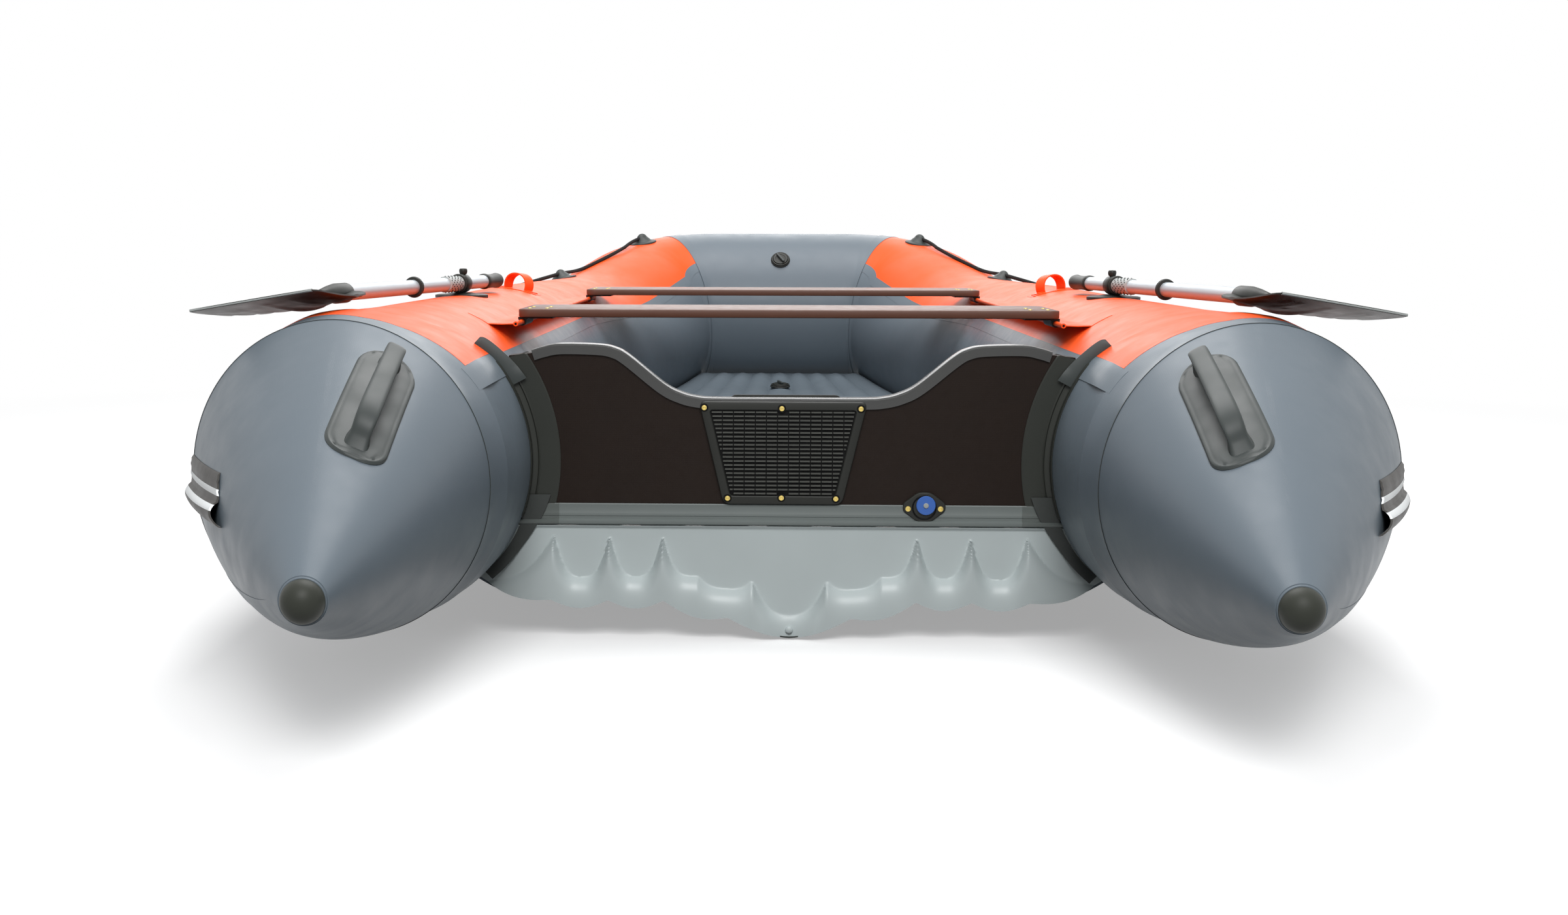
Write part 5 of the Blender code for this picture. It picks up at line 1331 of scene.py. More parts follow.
@dataclass
class SternMoulding:
    """The fluted moulding over the stern end of the floor."""

    shop: Workshop
    floor: AirFloor
    face: float = -0.0033
    top: float = 0.1826
    shoulder_out: float = 0.452
    bulge: float = 0.021
    run_out: float = 0.013
    columns: int = 420
    rows: int = 76
    peaks: tuple = ((0.0, 0.036), (0.0605, 0.0924), (0.1492, 0.0994), (0.2066, 0.1666), (0.2933, 0.1666),
                    (0.384, 0.1666), (0.52, 0.088))
    sags: tuple = (0.0, 0.017, 0.0, 0.068, 0.070, 0.0)
    sag_powers: tuple = (2.8, 3.0, 4.0, 3.0, 3.0, 3.2)
    keel_relief: float = 0.4
    keel_half: float = 0.045
    lip: float = 0.003
    lip_height: float = 0.006
    back: float = 0.0035
    rivet_height: float = 0.013
    rivet: tuple = ((0.0062, -0.004), (0.0062, 0.0012), (0.0054, 0.0026), (0.0032, 0.0036), (0.0, 0.0040))

    def build(self) -> None:
        """Raise the moulding from a grid of heights, with its rivet."""
        across = np.linspace(-1, 1, self.columns)
        up = np.linspace(0, 1, self.rows) ** 0.9
        under = self.floor.bottom()
        slope = (self.floor.corner_out - self.shoulder_out) / (self.top - self.floor.corner_height)
        low = np.interp(np.abs(across) * self.floor.corner_out, under[:, 0], under[:, 1])
        z = low[None, :] + (self.top - low)[None, :] * up[:, None]
        limit = self.floor.corner_out - slope * np.maximum(z - self.floor.corner_height, 0)
        x = across[None, :] * limit
        stand = self.relief(np.abs(x), z)
        lip = self.lip * (1 - ease((self.top - z) / self.lip_height))
        outer = np.stack([x, self.face - stand - lip, z], -1)
        inner = np.stack([x, self.back - stand * 0.98, z], -1)
        mesh = shell("stern_cap_moulding", outer, inner, crease=50.0)
        self.shop.piece(mesh, FORMED_PVC, stands_for=("stern_moulding",))
        place = Matrix.Translation((0, self.face - self.bulge * self.keel_relief, self.rivet_height))
        self.shop.piece(turned("keel_rivet", self.rivet, place @ TO_AFT, 24), FORMED_PVC)

    def relief(self, x: np.ndarray, z: np.ndarray) -> np.ndarray:
        """How far the face stands out: a flat panel over skirts that flare aft.

        Args:
            x: Distances from the middle.
            z: Heights.

        Returns:
            Distances aft of the flat panel.
        """
        border = np.full_like(x, -1.0)
        for k, sag in enumerate(self.sags):
            (x0, z0), (x1, z1) = self.peaks[k], self.peaks[k + 1]
            share = (x - x0) / (x1 - x0)
            inside = (share >= 0) & (share <= 1)
            chord = z0 + (z1 - z0) * share
            if k == len(self.sags) - 1:
                chord = z1 + (z0 - z1) * np.clip(1 - share, 0, 1) ** self.sag_powers[k]
            elif sag == 0.0:
                chord = z0 + (z1 - z0) * np.clip(share, 0, 1) ** self.sag_powers[k]
            droop = sag * (1 - np.abs(2 * share - 1) ** self.sag_powers[k])
            border = np.where(inside, chord - droop, border)
        depth = np.maximum(border - z, 0)
        fade = self.keel_relief + (1 - self.keel_relief) * ease(x / self.keel_half)
        return self.bulge * fade * (1 - np.exp(-depth / self.run_out))


@dataclass
class Transom:
    """The plywood transom with its trim, holders, foot strip and tapes."""

    shop: Workshop
    thickness: float = 0.035
    trim_face: float = 0.016
    trim_side: float = 0.0036
    trim_wall: float = 0.0028
    trim_edge: tuple = ((0.0, 0.3895), (0.118, 0.3895), (0.150, 0.3915), (0.176, 0.398), (0.205, 0.413),
                        (0.2605, 0.4575), (0.284, 0.4705), (0.312, 0.4755), (0.372, 0.4765), (0.400, 0.4715),
                        (0.4180, 0.4660))
    strip_half: float = 0.441
    strip_heights_mm: tuple = (218.5, 217.2, 204.0, 203.2, 198.5, 197.7, 194.0, 193.2, 192.6, 191.5, 188.5,
                               185.5, 183.8, 183.4)
    strip_stands_mm: tuple = (2.6, 3.5, 3.5, 3.9, 3.9, 3.3, 3.3, 4.6, 6.4, 7.6, 8.2, 7.6, 6.0, 0.5)
    taped_from: float = 0.375
    tape_left: tuple = ((0.4945, 0.1080), (0.4700, 0.1320), (0.4500, 0.1610), (0.4370, 0.1880),
                        (0.4300, 0.2150), (0.4270, 0.2330))
    tape_right: tuple = ((0.4770, 0.0920), (0.4540, 0.1130), (0.4250, 0.1480), (0.3990, 0.1840),
                         (0.3830, 0.2100), (0.3730, 0.2330))
    tape_share: float = 0.72
    tape_thickness: float = 0.0012
    holder_start: float = -110.0
    holder_end: float = -50.0
    holder_top: float = 0.4655
    holder_round: float = 0.0011
    holder_lean: float = 0.27
    holder_wall: float = 0.0117
    holder_bead: float = 0.0335
    holder_lip: float = 0.305
    flange_aft: float = 0.022
    flange_forward: float = 0.052
    ear_degrees: tuple = (-62.0, -56.5, -53.0, -49.5, -45.3, -42.8, -41.6)
    ear_reaches: tuple = (0.2850, 0.2812, 0.2785, 0.2760, 0.2732, 0.2705, 0.2665)
    ear_face: float = -0.0115
    ear_thickness: float = 0.0028
    ear_cup: float = 0.004

    def build(self) -> None:
        """Make the transom's pieces."""
        self.shop.dress("transom_board", BOARD_PLY)
        self.trim()
        self.strip()
        for side_name, side in SIDES.items():
            self.holder(side_name, side)
            self.corner_tape(side_name, side)

    def trim(self) -> None:
        """The extruded edging over the board, with three fine ridges on top."""
        half = smooth_line(self.trim_edge, 6)
        path = np.concatenate([half[::-1] * (-1, 1), half[1:]])
        normal = normals(path)
        aft, fore = -self.trim_side, self.thickness + self.trim_side
        turn = np.linspace(math.pi, 0, 19)
        middle, reach = (aft + fore) / 2, (fore - aft) / 2
        over_y = middle + reach * stretched(np.cos(turn), 0.35)
        over_d = -0.0035 + 0.0045 * np.sin(turn) ** 0.5 + 0.0006 * np.cos(np.linspace(0, 8 * math.pi, 19))
        y = np.concatenate([[aft, aft], over_y, [fore, fore]])
        d = np.concatenate([[-self.trim_face, -0.008], over_d, [-0.008, -self.trim_face]])
        low, high = aft + self.trim_wall, fore - self.trim_wall
        y_in = np.clip(y, low, high)
        d_in = np.where((y > low) & (y < high), d - self.trim_wall, d)
        grids = []
        for depth, offset in ((y, d), (y_in, np.minimum(d_in, -0.0025))):
            flat = path[:, None] + normal[:, None] * offset[None, :, None]
            level = np.broadcast_to(depth, flat.shape[:2])
            grids.append(np.stack([flat[..., 0], level, flat[..., 1]], -1))
        mesh = shell("edge_trim", *grids, crease=32.0)
        self.shop.piece(mesh, TRIM_RUBBER, stands_for=("transom_trim",))

    def strip(self) -> None:
        """The grey strip along the board's foot, with its grooves and bead."""
        z = np.array(self.strip_heights_mm) * MM
        y = -np.array(self.strip_stands_mm) * MM
        x = np.linspace(-self.strip_half, self.strip_half, 32)
        outer = np.stack(np.broadcast_arrays(x[:, None], y[None, :], z[None, :]), -1)
        inner = outer.copy()
        inner[..., 1] = -0.0002
        mesh = shell("foot_strip", outer, inner, crease=30.0)
        self.shop.piece(mesh, STRIP_RUBBER, stands_for=("stern_strip",))
        for side_name, side in SIDES.items():
            x = side * np.linspace(self.taped_from, self.strip_half + 0.002, 6)
            outer = np.stack(np.broadcast_arrays(x[:, None], y[None, :] - 0.0006, z[None, :]), -1)
            inner = outer + np.array((0, 0.0004, 0))
            self.shop.piece(shell(f"strip_tape_{side_name}", outer, inner, crease=30.0), STRIP_TAPE)

    def holder(self, side_name: str, side: float) -> None:
        """The rubber channel that grips the board's edge, with its bead and flanges.

        Args:
            side_name: "port" or "starboard".
            side: -1 or 1.
        """
        foot, base, lip = TUBE.radius + 0.0004, TUBE.radius + self.holder_wall, self.holder_lip
        aft, fore = -0.0004, self.thickness + 0.0004
        bead = TUBE.radius + self.holder_bead
        start, end = -self.flange_aft, self.thickness + self.flange_forward
        section = np.array([
            (foot, start), (foot, end), (foot + 0.0014, end), (foot + 0.003, fore + 0.030),
            (base - 0.005, fore + 0.010), (base, fore + 0.0046), (base + 0.004, fore + 0.0034),
            (lip - 0.002, fore + 0.0032), (lip, fore + 0.0022), (lip, fore),
            (base, fore), (base, aft), (lip, aft), (lip, aft - 0.0020), (lip - 0.002, aft - 0.0032),
            (lip - 0.008, aft - 0.0032), (bead + 0.002, aft - 0.0034), (bead, aft - 0.0052),
            (bead - 0.002, aft - 0.0034), (base + 0.014, aft - 0.0040), (base + 0.010, aft - 0.0060),
            (base + 0.006, aft - 0.0080), (base - 0.003, aft - 0.0115), (foot + 0.003, aft - 0.016),
            (foot + 0.0014, start),
        ])
        rings = []
        for a in np.radians(np.linspace(self.holder_start, self.holder_end, 44)):
            skin = TUBE.radius + TUBE.swell(section[:, 1], a)
            reach = np.maximum(section[:, 0], skin + np.clip(section[:, 0] - TUBE.radius, 0.0002, 0.003))
            out = TUBE.half_spacing + reach * math.sin(a)
            crest = self.holder_top - self.holder_lean * np.maximum(out - self.trim_edge[-1][0], 0)
            rise = TUBE.height + reach * math.cos(a)
            level = crest - self.holder_round * np.logaddexp(0, (crest - rise) / self.holder_round)
            rings.append(np.stack([out, section[:, 1], level], -1))
        mesh = loft(f"board_holder_{side_name}", mirrored(np.array(rings), side), 30.0)
        self.shop.piece(mesh, HOLDER_RUBBER, stands_for=(f"transom_holder_{side_name}",))
        self.tongue(side_name, side)

    def tongue(self, side_name: str, side: float) -> None:
        """The leaf-shaped end of the holder's flange, standing over the tube.

        Args:
            side_name: "port" or "starboard".
            side: -1 or 1.
        """
        table = smooth_line(list(zip(self.ear_degrees, self.ear_reaches)), 8)
        spin = np.radians(table[:, 0])
        foot = TUBE.radius + TUBE.swell(self.ear_face, spin) - 0.0006
        share = np.sin(np.linspace(0, math.pi / 2, 12))
        stand = np.maximum(table[:, 1], foot + 0.0004) - foot
        reach = foot[:, None] + stand[:, None] * share[None, :]
        cup = self.ear_cup * (share ** 2)[None, :] * ease((spin - spin[0]) / 0.1)[:, None]
        grids = []
        for depth in (0.0, self.ear_thickness):
            forward = self.ear_face + cup + depth * (1 - 0.6 * share[None, :] ** 6)
            grids.append(mirrored(TUBE.around(forward, spin[:, None], reach), side))
        self.shop.piece(shell(f"holder_tongue_{side_name}", *grids), HANDLE_RUBBER)

    def corner_tape(self, side_name: str, side: float) -> None:
        """The dark tape from the holder's foot down over the moulding's end.

        Args:
            side_name: "port" or "starboard".
            side: -1 or 1.
        """
        left, right = smooth_line(self.tape_left, 5), smooth_line(self.tape_right, 5)
        share = np.linspace(0.0, self.tape_share, 7)[None, :, None]
        flat = left[:, None] * (1 - share) + right[:, None] * share
        aft = -0.0075 - 0.022 * ease((0.150 - flat[..., 1]) / 0.07)
        outer = mirrored(np.stack([flat[..., 0], aft, flat[..., 1]], -1), side)
        inner = outer + (0, self.tape_thickness, 0)
        self.shop.piece(shell(f"corner_tape_{side_name}", outer, inner), DARK_PVC)


class PointScatter:
    """A geometry tree that sets copies of a small part on given points."""

    def __init__(self, name: str, finish: Finish) -> None:
        """Build the tree.

        Args:
            name: The tree's name.
            finish: The copies' material.
        """
        self.tree = bpy.data.node_groups.new(name, "GeometryNodeTree")
        face = self.tree.interface
        face.new_socket("Points", in_out="INPUT", socket_type="NodeSocketGeometry")
        self.part = face.new_socket("Part", in_out="INPUT", socket_type="NodeSocketObject")
        face.new_socket("Copies", in_out="OUTPUT", socket_type="NodeSocketGeometry")
        source = add(self.tree, "NodeGroupInput")
        part = add(self.tree, "GeometryNodeObjectInfo", {"Object": source.outputs["Part"]})
        stretch = add(self.tree, "GeometryNodeInputNamedAttribute", {"Name": "stretch"},
                      data_type="FLOAT_VECTOR")
        placed = add(self.tree, "GeometryNodeInstanceOnPoints", {
            "Points": source.outputs["Points"], "Instance": part.outputs["Geometry"],
            "Scale": stretch.outputs[0],
        })
        real = add(self.tree, "GeometryNodeRealizeInstances", {"Geometry": placed.outputs["Instances"]})
        painted = add(self.tree, "GeometryNodeSetMaterial", {
            "Geometry": real.outputs["Geometry"], "Material": finish.material()})
        add(self.tree, "NodeGroupOutput", {"Copies": painted.outputs["Geometry"]})

    def mesh(self, name: str, part: bpy.types.Mesh, points: np.ndarray,
             stretch: np.ndarray | None = None) -> bpy.types.Mesh:
        """Set the copies and turn them into a plain mesh.

        Args:
            name: The mesh's name.
            part: One copy's shape, about its own origin.
            points: Where the copies go.
            stretch: Scale of each copy along X, Y and Z, or none for 1.

        Returns:
            The mesh.
        """
        spots = bpy.data.meshes.new(name + "_points")
        spots.from_pydata(np.asarray(points, float).tolist(), [], [])
        layer = spots.attributes.new("stretch", "FLOAT_VECTOR", "POINT")
        scale = np.ones((len(points), 3)) if stretch is None else np.asarray(stretch, float)
        layer.data.foreach_set("vector", scale.astype(np.float32).ravel())
        carrier = bpy.data.objects.new(name + "_carrier", spots)
        unit = bpy.data.objects.new(name + "_unit", part)
        for thing in (carrier, unit):
            bpy.context.scene.collection.objects.link(thing)
        step = carrier.modifiers.new("Copies", "NODES")
        step.node_group = self.tree
        step[self.part.identifier] = unit
        bpy.context.view_layer.update()
        seen = carrier.evaluated_get(bpy.context.evaluated_depsgraph_get())
        made = bpy.data.meshes.new_from_object(seen)
        made.name = name
        carrier.modifiers.remove(step)
        for thing in (carrier, unit):
            bpy.data.objects.remove(thing, do_unlink=True)
        return made


def screw_head(radius: float = 0.0043) -> bpy.types.Mesh:
    """A countersunk screw's head with its drive recess, facing aft.

    Args:
        radius: Radius of the head.

    Returns:
        The mesh about its own origin.
    """
    profile = [(radius, -0.0012), (radius, 0.0004), (radius * 0.93, 0.0012), (radius * 0.45, 0.0016),
               (radius * 0.40, 0.0002), (0.0, 0.0)]
    return turned("screw_head", profile, TO_AFT, 20, 30.0)


@dataclass
class MotorPads:
    """The moulded pads for an outboard motor's clamp."""

    shop: Workshop
    offset: float = -0.012
    top_half: float = 0.136
    foot_half: float = 0.096
    top: float = 0.386
    foot: float = 0.219
    face: float = -0.0083
    column_pitch: float = 0.0178
    row_pitch: float = 0.0066
    rows: int = 21
    columns: int = 15
    rib_height: float = 0.0030
    rib_depth: float = 0.0032
    rib_gap: float = 0.0016
    rib_taper: tuple = (0.985, 0.55)
    screw_clear: float = 0.012
    border: float = 0.0135
    recess_depth: float = 0.0036
    washer: tuple = ((0.0068, -0.0006), (0.0068, 0.0002), (0.0046, 0.0004), (0.0, 0.0004))
    inner_corners: tuple = ((-0.099, 0.393), (0.084, 0.393), (0.084, 0.235), (-0.099, 0.235))
    inner_faces: tuple = (0.0354, 0.0433)
    screws: tuple = ((-0.139, 0.376), (-0.014, 0.375), (0.113, 0.375), (-0.101, 0.229), (-0.014, 0.230),
                     (0.074, 0.229))

    def build(self) -> None:
        """Make both pads, their ribs and screws."""
        corners = [(self.offset - self.top_half, self.top), (self.offset + self.top_half, self.top),
                   (self.offset + self.foot_half, self.foot), (self.offset - self.foot_half, self.foot)]
        outline = rounded_outline(corners, 0.013, 8)
        slope = (self.top_half - self.foot_half) / (self.top - self.foot)
        lean = math.hypot(1, slope)
        wide = self.top_half - self.border * (lean + slope)
        narrow = self.foot_half - self.border * (lean - slope)
        high, low = self.top - self.border, self.foot + self.border
        recess = rounded_outline([(self.offset - wide, high), (self.offset + wide, high),
                                  (self.offset + narrow, low), (self.offset - narrow, low)], 0.006, 8)
        self.frame(outline, recess)
        self.ribs()
        scatter = PointScatter("screws", ZINC)
        seats = np.array([(x, self.face, z) for x, z in self.screws])
        self.shop.piece(scatter.mesh("pad_screws", screw_head(), seats - (0, 0.0004, 0)), ZINC)
        scatter = PointScatter("washers", BLACK_AND_PAINTED_SHADE)
        ring = turned("washer", self.washer, TO_AFT, 24)
        self.shop.piece(scatter.mesh("pad_screw_seats", ring, seats), BLACK_AND_PAINTED_SHADE)
        inner = rounded_outline(self.inner_corners, 0.012, 6)
        mesh = plate("inner_clamp_pad", inner, *self.inner_faces, 0.0025)
        self.shop.piece(mesh, BLACK_ABS, stands_for=("inner_motor_pad",))

    def frame(self, outline: np.ndarray, recess: np.ndarray) -> None:
        """The pad's raised border with the recess for the ribs.

        Args:
            outline: The pad's outer edge.
            recess: The recess's edge.
        """
        deep = self.face + self.recess_depth
        steps = [(outline, 0.0, -0.0003), (outline, 0.0, self.face + 0.0022),
                 (outline, 0.0009, self.face + 0.0006), (outline, 0.0024, self.face),
                 (recess, -0.0010, self.face), (recess, 0.0, self.face + 0.0006), (recess, 0.0006, deep)]
        rings = [standing(inset(edge, drop), y) for edge, drop, y in steps]
        mesh = loft("outer_clamp_pad", np.array(rings), 28.0)
        self.shop.piece(mesh, BLACK_ABS, stands_for=("outer_motor_pad",))
        # The recess's floor is near-black: painted shade in the slots between the ribs.
        ground = plate("pad_recess", inset(recess, 0.0008), deep + 0.0004, deep - 0.0002, 0.0001)
        self.shop.piece(ground, BLACK_AND_PAINTED_SHADE)

    def ribs(self) -> None:
        """The rows of short ribs, cut off at the sloping border and round the screws."""
        points, sizes = [], []
        middle = (self.top + self.foot) / 2
        for row in range(self.rows):
            z = middle + ((self.rows - 1) / 2 - row) * self.row_pitch
            share = (z - self.foot) / (self.top - self.foot)
            half = self.foot_half + (self.top_half - self.foot_half) * share - self.border - 0.003
            for column in range(self.columns):
                centre = (column - (self.columns - 1) / 2) * self.column_pitch
                low = max(centre - (self.column_pitch - self.rib_gap) / 2, -half)
                high = min(centre + (self.column_pitch - self.rib_gap) / 2, half)
                spot = ((low + high) / 2 + self.offset, z)
                near = min(math.hypot(spot[0] - x, spot[1] - zs) for x, zs in self.screws)
                if high - low > 0.002 and near > self.screw_clear:
                    points.append((spot[0], self.face + self.rib_depth / 2, spot[1]))
                    sizes.append((high - low, self.rib_depth, self.rib_height))
        unit = bmesh.new()
        bmesh.ops.create_cube(unit, size=1.0)
        for vert in unit.verts:
            if vert.co.y < 0:
                vert.co.x *= self.rib_taper[0]
                vert.co.z *= self.rib_taper[1]
        block = bpy.data.meshes.new("rib")
        unit.to_mesh(block)
        unit.free()
        # The ribs' lighter grey is a painted highlight of their lit edges.
        scatter = PointScatter("clamp_ribs", RIB_HIGHLIGHT_ABS)
        mesh = scatter.mesh("pad_ribs", block, np.array(points), np.array(sizes))
        self.shop.piece(mesh, RIB_HIGHLIGHT_ABS)


@dataclass
class Drain:
    """The drain's flange and its blue flap."""

    shop: Workshop
    out: float = 0.2170
    height: float = 0.2155
    half_width: float = 0.0345
    half_height: float = 0.0245
    flap_radius: float = 0.0155
    hinge_raise: float = 0.0035
    screw_out: float = 0.0262

    def build(self) -> None:
        """Make the flange, its screws, the flap and its rivet."""
        shape = rounded_outline([
            (-self.half_width, 0.006), (-0.010, self.half_height), (0.010, self.half_height),
            (self.half_width, 0.006), (self.half_width, -0.006), (0.010, -self.half_height),
            (-0.010, -self.half_height), (-self.half_width, -0.006),
        ], [0.005, 0.008, 0.008, 0.005, 0.005, 0.008, 0.008, 0.005], 6) + (self.out, self.height)
        self.shop.piece(plate("drain_plate", shape, -0.0003, -0.0064, 0.002), BLACK_ABS,
                        stands_for=("drain_flange",))
        middle = Matrix.Translation((self.out, -0.0064, self.height))
        # The near-black ring and disc round the flap: painted shade in the drain's well.
        ring = [(0.0200, -0.0008), (0.0200, 0.0010), (0.0188, 0.0016), (0.0176, 0.0010), (0.0172, -0.0012),
                (0.0, -0.0012)]
        self.shop.piece(turned("drain_ring", ring, middle @ TO_AFT, 48, 30.0), BLACK_AND_PAINTED_SHADE)
        sleeve = [(0.0125, 0.0), (0.0125, 0.041), (0.0115, 0.042), (0.0105, 0.0415), (0.010, 0.02),
                  (0.0, 0.02)]
        back = Matrix.Translation((self.out + 0.0025, 0.0, self.height + self.hinge_raise))
        self.shop.piece(turned("drain_sleeve", sleeve, back @ TO_BOW, 36), BLACK_ABS)
        low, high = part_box("drain_flap")
        spot = Vector(((low.x + high.x) / 2, (low.y + high.y) / 2 - self.shop.stern,
                       high.z - self.flap_radius - 0.0018))
        disc = [(self.flap_radius, -0.0016), (self.flap_radius, 0.0012), (self.flap_radius - 0.0008, 0.0019),
                (0.0075, 0.0022), (0.0, 0.0022)]
        place = Matrix.Translation(spot) @ TO_AFT
        self.shop.piece(turned("flap_disc", disc, place, 48, 30.0), BLUE_ABS, "drain_cover", ("drain_flap",))
        pin = [(0.0043, 0.0015), (0.0043, 0.0030), (0.0036, 0.0038), (0.0, 0.0041)]
        self.shop.piece(turned("flap_rivet", pin, place, 24), PALE_SLEEVE, "drain_cover")
        scatter = PointScatter("drain_fixings", ZINC)
        points = np.array([(self.out + way * self.screw_out, -0.0070, self.height - 0.0022)
                           for way in (-1, 1)])
        self.shop.piece(scatter.mesh("drain_screws", screw_head(0.0046), points), ZINC)


@dataclass
class CarryHandle:
    """A moulded rubber handle on each stern cone."""

    shop: Workshop
    share: float = 0.3590
    angle: float = math.radians(-23.5)
    turn: float = math.radians(-2.6)
    length: float = 0.262
    width: float = 0.092
    end_radius: float = 0.042
    plate: float = 0.005
    reach: float = 0.1
    grip_height: float = 0.0395
    grip_half_width: float = 0.0122
    grip_half_depth: float = 0.0064

    def build(self) -> None:
        """Make both handles."""
        for side_name, side in SIDES.items():
            plate_mesh = self.base(f"handle_plate_{side_name}", side)
            self.shop.piece(plate_mesh, HANDLE_RUBBER, stands_for=(f"carry_handle_{side_name}",))
            self.shop.piece(self.bar(f"handle_bar_{side_name}", side), HANDLE_RUBBER)

    def over_cone(self, along: np.ndarray, across: np.ndarray, height: np.ndarray | float) -> np.ndarray:
        """Points over the handle's place on the cone.

        Args:
            along: Distance forward from its middle.
            across: Distance outboard.
            height: Height over the cone.

        Returns:
            Points with the arguments' common shape.
        """
        share = self.share - along / TUBE.cone_length
        turned_by = along * math.tan(self.turn) / TUBE.cone_radius(self.share)
        angle = self.angle + turned_by + across / TUBE.cone_radius(share)
        return TUBE.on_cone(share, angle, height)

    def base(self, name: str, side: float) -> bpy.types.Mesh:
        """The plate, with a rim round a slight dish.

        Args:
            name: The mesh's name.
            side: -1 or 1.

        Returns:
            The mesh.
        """
        half, wide, r = self.length / 2, self.width / 2, self.end_radius
        along = half * crowded(41)
        over = np.maximum(np.abs(along) - (half - r), 0)
        width = wide - r + np.sqrt(np.maximum(r ** 2 - over ** 2, 0))
        across = width[:, None] * crowded(25)[None, :]
        depth = np.minimum(width[:, None] - np.abs(across), (half - np.abs(along))[:, None] + 0.0005)
        height = 0.0016 + 0.0030 * ease(depth / 0.0025) - 0.0016 * np.exp(-((depth - 0.0075) / 0.0014) ** 2)
        outer = self.over_cone(along[:, None], across, height)
        inner = self.over_cone(along[:, None], across, 0.0004)
        return shell(name, mirrored(outer, side), mirrored(inner, side), crease=45.0)

    def bar(self, name: str, side: float) -> bpy.types.Mesh:
        """The broad flat bar and the posts that it grows from.

        Args:
            name: The mesh's name.
            side: -1 or 1.

        Returns:
            The mesh.
        """
        turn = np.linspace(0, math.pi, 49)
        along = -self.reach * stretched(np.cos(turn), 0.32)
        lift = self.plate * 0.6 + (self.grip_height - self.plate * 0.6) * np.abs(np.sin(turn)) ** 0.42
        post = 1 - ease(lift / self.grip_height * 1.6)
        path = np.stack([along, lift], -1)
        normal = normals(path)
        spin = np.linspace(0, 2 * math.pi, 28, endpoint=False)
        u, v = stretched(np.cos(spin), 0.55), stretched(np.sin(spin), 0.55)
        rings = []
        for k in range(len(turn)):
            wide = self.grip_half_width * (1 + 0.45 * post[k] ** 1.5)
            deep = self.grip_half_depth * (1 + 1.5 * post[k] ** 2)
            flat = path[k] + normal[k] * deep * v[:, None]
            height = np.maximum(flat[:, 1], 0.0035)
            rings.append(self.over_cone(flat[:, 0], wide * u, height))
        return loft(name, mirrored(np.array(rings), side), 50.0)


@dataclass
class LiftLoops:
    """Fabric lift loops on the tubes."""

    shop: Workshop
    forward: float = 1.42
    angle: float = math.radians(-10)
    patch: float = 0.11
    span: float = 0.06
    height: float = 0.036
    width: float = 0.03
    half_web: float = 0.0014
    foot_length: float = 0.018
    foot_height: float = 0.0032
    turn: float = math.radians(60)

    def build(self) -> None:
        """Make both loops with their patches."""
        for side_name, side in SIDES.items():
            half = self.patch / 2
            places = half * crowded(21)
            width = half * np.sqrt(np.clip(1 - (np.abs(places) / half) ** 5, 0.02, 1))
            angles = self.angle + width[:, None] * crowded(15)[None, :] / TUBE.radius
            rows = [mirrored(TUBE.on_straight(self.forward + places, angles, h), side)
                    for h in (0.0026, 0.0002)]
            mesh = shell(f"loop_patch_{side_name}", *rows)
            self.shop.piece(mesh, ORANGE_PVC, stands_for=(f"lift_loop_{side_name}",))
            self.web(side_name, side)

    def web(self, side_name: str, side: float) -> None:
        """The arched web, its feet turned out flat on the patch.

        Args:
            side_name: "port" or "starboard".
            side: -1 or 1.
        """
        turn = np.linspace(0, math.pi, 31)
        along = -self.span / 2 * np.cos(turn)
        lift = 0.002 + self.height * np.sin(turn) ** 0.75
        foot = np.linspace(self.foot_length, 0, 6)[:-1]
        along = np.concatenate([along[0] - foot, along, along[-1] + foot[::-1]])
        low = np.full_like(foot, self.foot_height)
        lift = np.concatenate([low, lift, low])
        path = np.stack([along, lift], -1)
        normal = normals(path)
        slip = np.linspace(-1, 1, 7) * self.width / 2
        grids = []
        for offset in (self.half_web, -self.half_web):
            flat = path + normal * offset
            forward = self.forward + flat[:, :1] * math.cos(self.turn) - slip[None, :] * math.sin(self.turn)
            sideways = flat[:, :1] * math.sin(self.turn) + slip[None, :] * math.cos(self.turn)
            spin = self.angle + sideways / TUBE.radius
            grids.append(mirrored(TUBE.around(forward, spin, TUBE.radius + flat[:, 1:]), side))
        self.shop.piece(shell(f"loop_web_{side_name}", *grids, crease=60.0), ORANGE_PVC)


